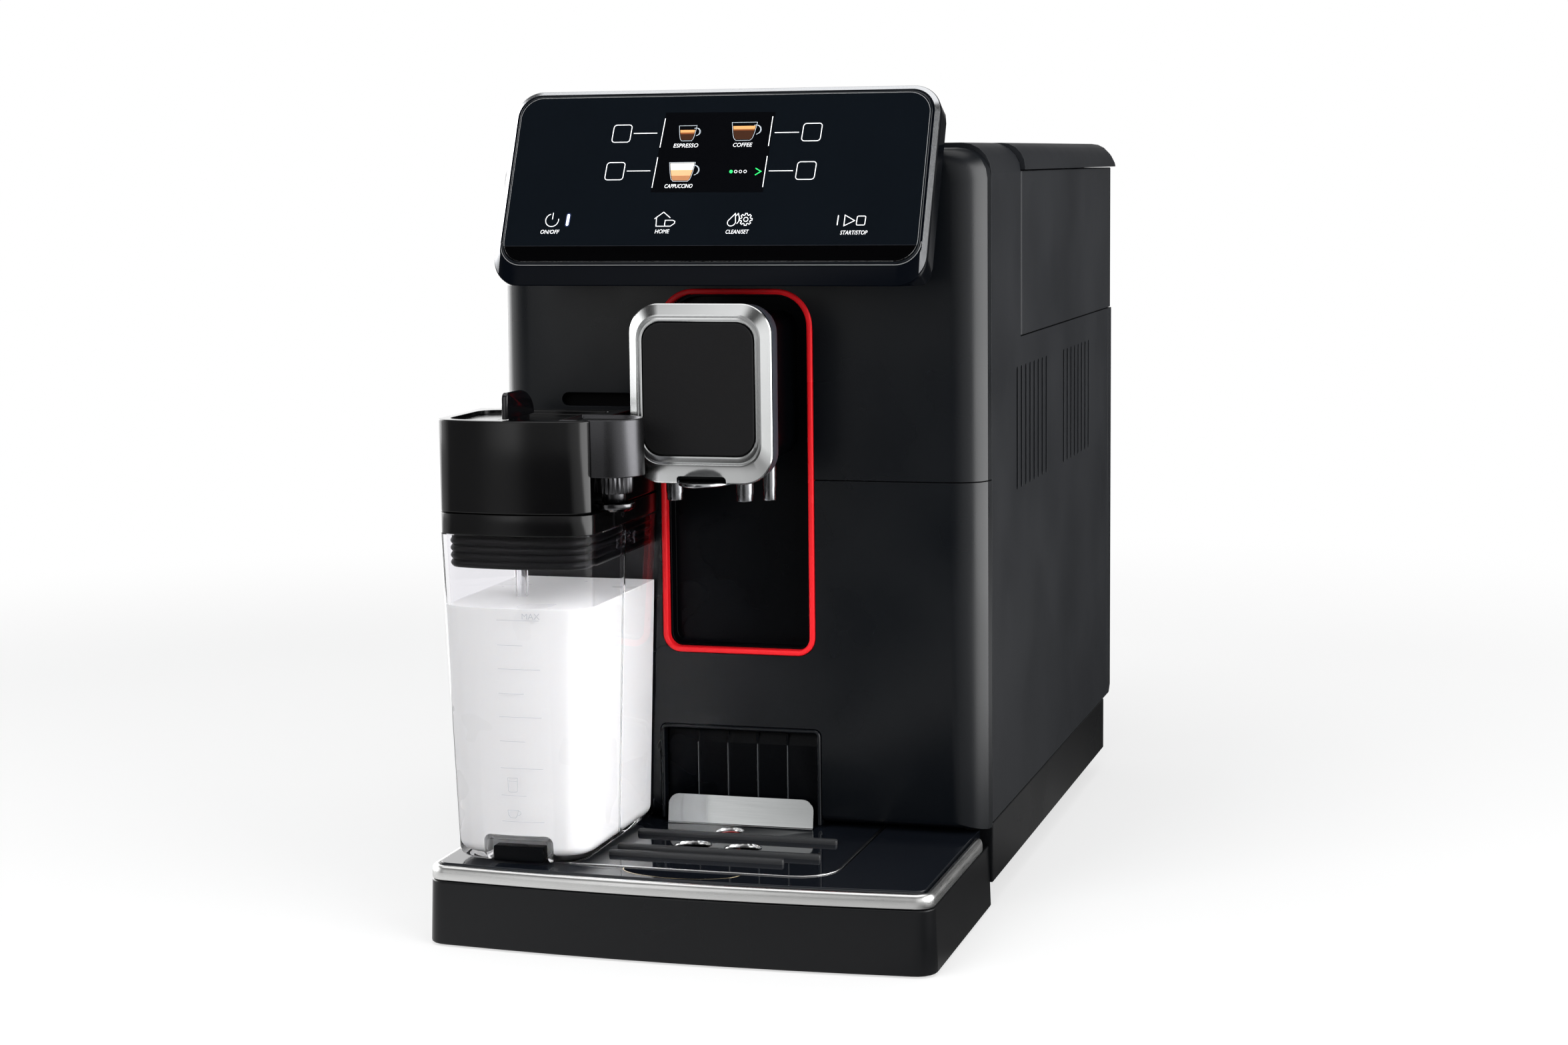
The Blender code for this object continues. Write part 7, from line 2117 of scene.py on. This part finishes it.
    def scale(self) -> None:
        """Mould the fill marks into the front of the jug."""
        sheet = PrintedSheet(Vector((0, self.low.y, 0)), "carafe_jug", wall=self.wall_shape)
        marks = Marks(sheet, -0.02, 0.1)
        left = -76.0
        long_lines = ((0, 6, 12, 18.5), (138.9, 118.4, 98.2, 76.5, 53.8))
        short_lines = ((0, 5.5, 11.2), (128.4, 108.1, 87.9, 64.9))
        for steps, levels in (long_lines, short_lines):
            for level in levels:
                marks.line([(left + step, level) for step in steps], 0.2)
        marks.words("MAX", -64.8, 139.5, 7.6, 2.4)
        glass = [(-2.2, 3.0), (-2.0, -2.6), (-1.5, -3.0), (1.5, -3.0), (2.0, -2.6), (2.2, 3.0)]
        marks.line(leaned(glass, (-70.8, 69.4), 0), 0.2, closed=True)
        marks.line([(-72.8, 71.0), (-68.8, 71.0)], 0.16)
        cup = [(-2.3, 1.6), (-2.0, -0.4), (-1.1, -1.6), (1.1, -1.6), (2.0, -0.4), (2.3, 1.6)]
        marks.line(leaned(cup, (-71.0, 57.0), 0), 0.2, closed=True)
        marks.line(arc((-68.5, 57.5), 0.95, 110, -110, 8), 0.18)
        marks.piece("fill_marks", MARK_GREY)

    def stop(self) -> None:
        """Set the black stop into the finger notch."""
        half, height, depth = self.notch
        middle = (self.low.x + self.high.x) / 2
        rear = self.low.y + 3 * MM + self.lean + depth

        def outline(inset: float) -> list[Flat]:
            """Outline of the stop at an inset."""
            return rounded(middle - half + 2.5 * MM + inset, middle + half - 2.5 * MM - inset,
                           self.low.z + 0.2 * MM + inset, self.low.z + height - 3 * MM - inset, 0.6 * MM, 3)

        block = slab("jug_stop", outline, Axis.Y, rear - 6 * MM, rear - 0.2 * MM, 0.5 * MM, SLIDE_BLACK)
        carry(block, "carafe_jug", stands_for=False)

    def latch(self) -> None:
        """Frame the latch lug under the collar on the jug's right side."""
        right, up = Vector((0, 1, 0)), Vector((0, 0, 1))
        sheet = PrintedSheet(Vector((self.high.x, 0, 0)), "carafe_jug", right, up, self.wall_shape)
        marks = Marks(sheet, -0.1, 0.7)
        low, high = 164.2, 169.2
        front, rear = -169.5, -147.5
        bend = (self.low.y + self.step_back) / MM
        marks.line([(bend - 0.2, low), (front, low), (front, high), (bend - 0.2, high)], 0.6)
        marks.line([(bend + 1.2, high), (rear, high), (rear, low), (bend + 1.2, low)], 0.6)
        marks.line([(front + 1.4, low + 2), (bend - 0.2, low + 2)], 0.5)
        marks.line([(bend + 1.9, low + 2), (rear - 1, low + 2)], 0.5)
        marks.piece("latch_frame", LATCH_CLEAR)
        ledge = PrintedSheet(Vector((self.high.x, 0, 0)), "carafe_collar", right, up)
        parts = Marks(ledge, -0.2, 0.5)
        parts.line([(-172.6, 174.2), (-172.6, 182.0)], 0.5)
        parts.line(arc((-161.6, 178.4), 1.3, 0, 345, 23), 0.5, closed=True)
        parts.piece("collar_catch", HEAD_METAL)


@dataclass
class CarriedPieces:
    """Nodes whose shape is right as it is and only get eased edges and a finish.

    Attributes:
        dressed: finish, width of the rounding, and names of the nodes that get them.
    """

    dressed: tuple[tuple[Finish, float, tuple[str, ...]], ...] = (
        (RUBBER, 0.8 * MM, ("foot_front_left", "foot_front_right", "foot_rear_left", "foot_rear_right")),
        (SIDE_SATIN, 0.5 * MM, ("main_housing", "water_tank", "tank_lid", "top_cover")),
        (SIDE_SATIN, 0.4 * MM, ("service_door", "rear_panel")),
        (COVER_SATIN, 0.4 * MM, ("front_cover_upper", "front_cover_lower")),
        (COVER_SATIN, 0.5 * MM, ("container_surround",)),
        (SLIDE_BLACK, 0.3 * MM, ("slide_channel",)),
        (SLOT_BLACK, 0.3 * MM, ("docking_port", "power_inlet", "switch_well")),
        (TRAY_SATIN, 0.6 * MM, ("base_chassis",)),
        (TRAY_SATIN, 0.4 * MM, ("power_switch", "grind_knob")),
        (TRAY_SATIN, 0.3 * MM, ("chute_funnel",)),
        (PIANO_BLACK, 0.4 * MM, ("chute_lid",)),
        (SMOKE, 0.5 * MM, ("hopper_lid",)),
        (SMOKE, 0.4 * MM, ("bean_hopper",)),
        (INNER_PLASTIC, 0.4 * MM, ("inner_frame",)),
        (INNER_PLASTIC, 0.5 * MM, ("grinder", "water_pump")),
        (BREW_PLASTIC, 0.6 * MM, ("brew_group",)),
        (BOILER_STEEL, 0.5 * MM, ("boiler",)),
    )

    def build(self) -> None:
        """Dress every node that no finer piece stands for."""
        looks = {node: (finish, edge) for finish, edge, nodes in self.dressed for node in nodes}
        shown = [node for node, item in frame["nodes"].items() if not item.hide_render]
        for node in shown:
            soft_copy(node, *looks[node])


def corners(pair: Iterable[Vector]) -> list[list[float]]:
    """Plain lists of a pair of corners."""
    return [[float(part) for part in corner] for corner in pair]


def main() -> None:
    """Build the studio and every sub-assembly."""
    logging.basicConfig(level=logging.INFO, format="%(name)s: %(message)s")
    model_box = corners(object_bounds())
    Studio().build()
    for part in (ControlPanel(), CoffeeSpout(), DripTray(), MilkCarafe(), CarriedPieces()):
        part.build()
        log.info("%s built", type(part).__name__)
    bpy.context.view_layer.update()
    {"cad": model_box, "visual": corners(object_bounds())}


if __name__ == "__main__":
    main()
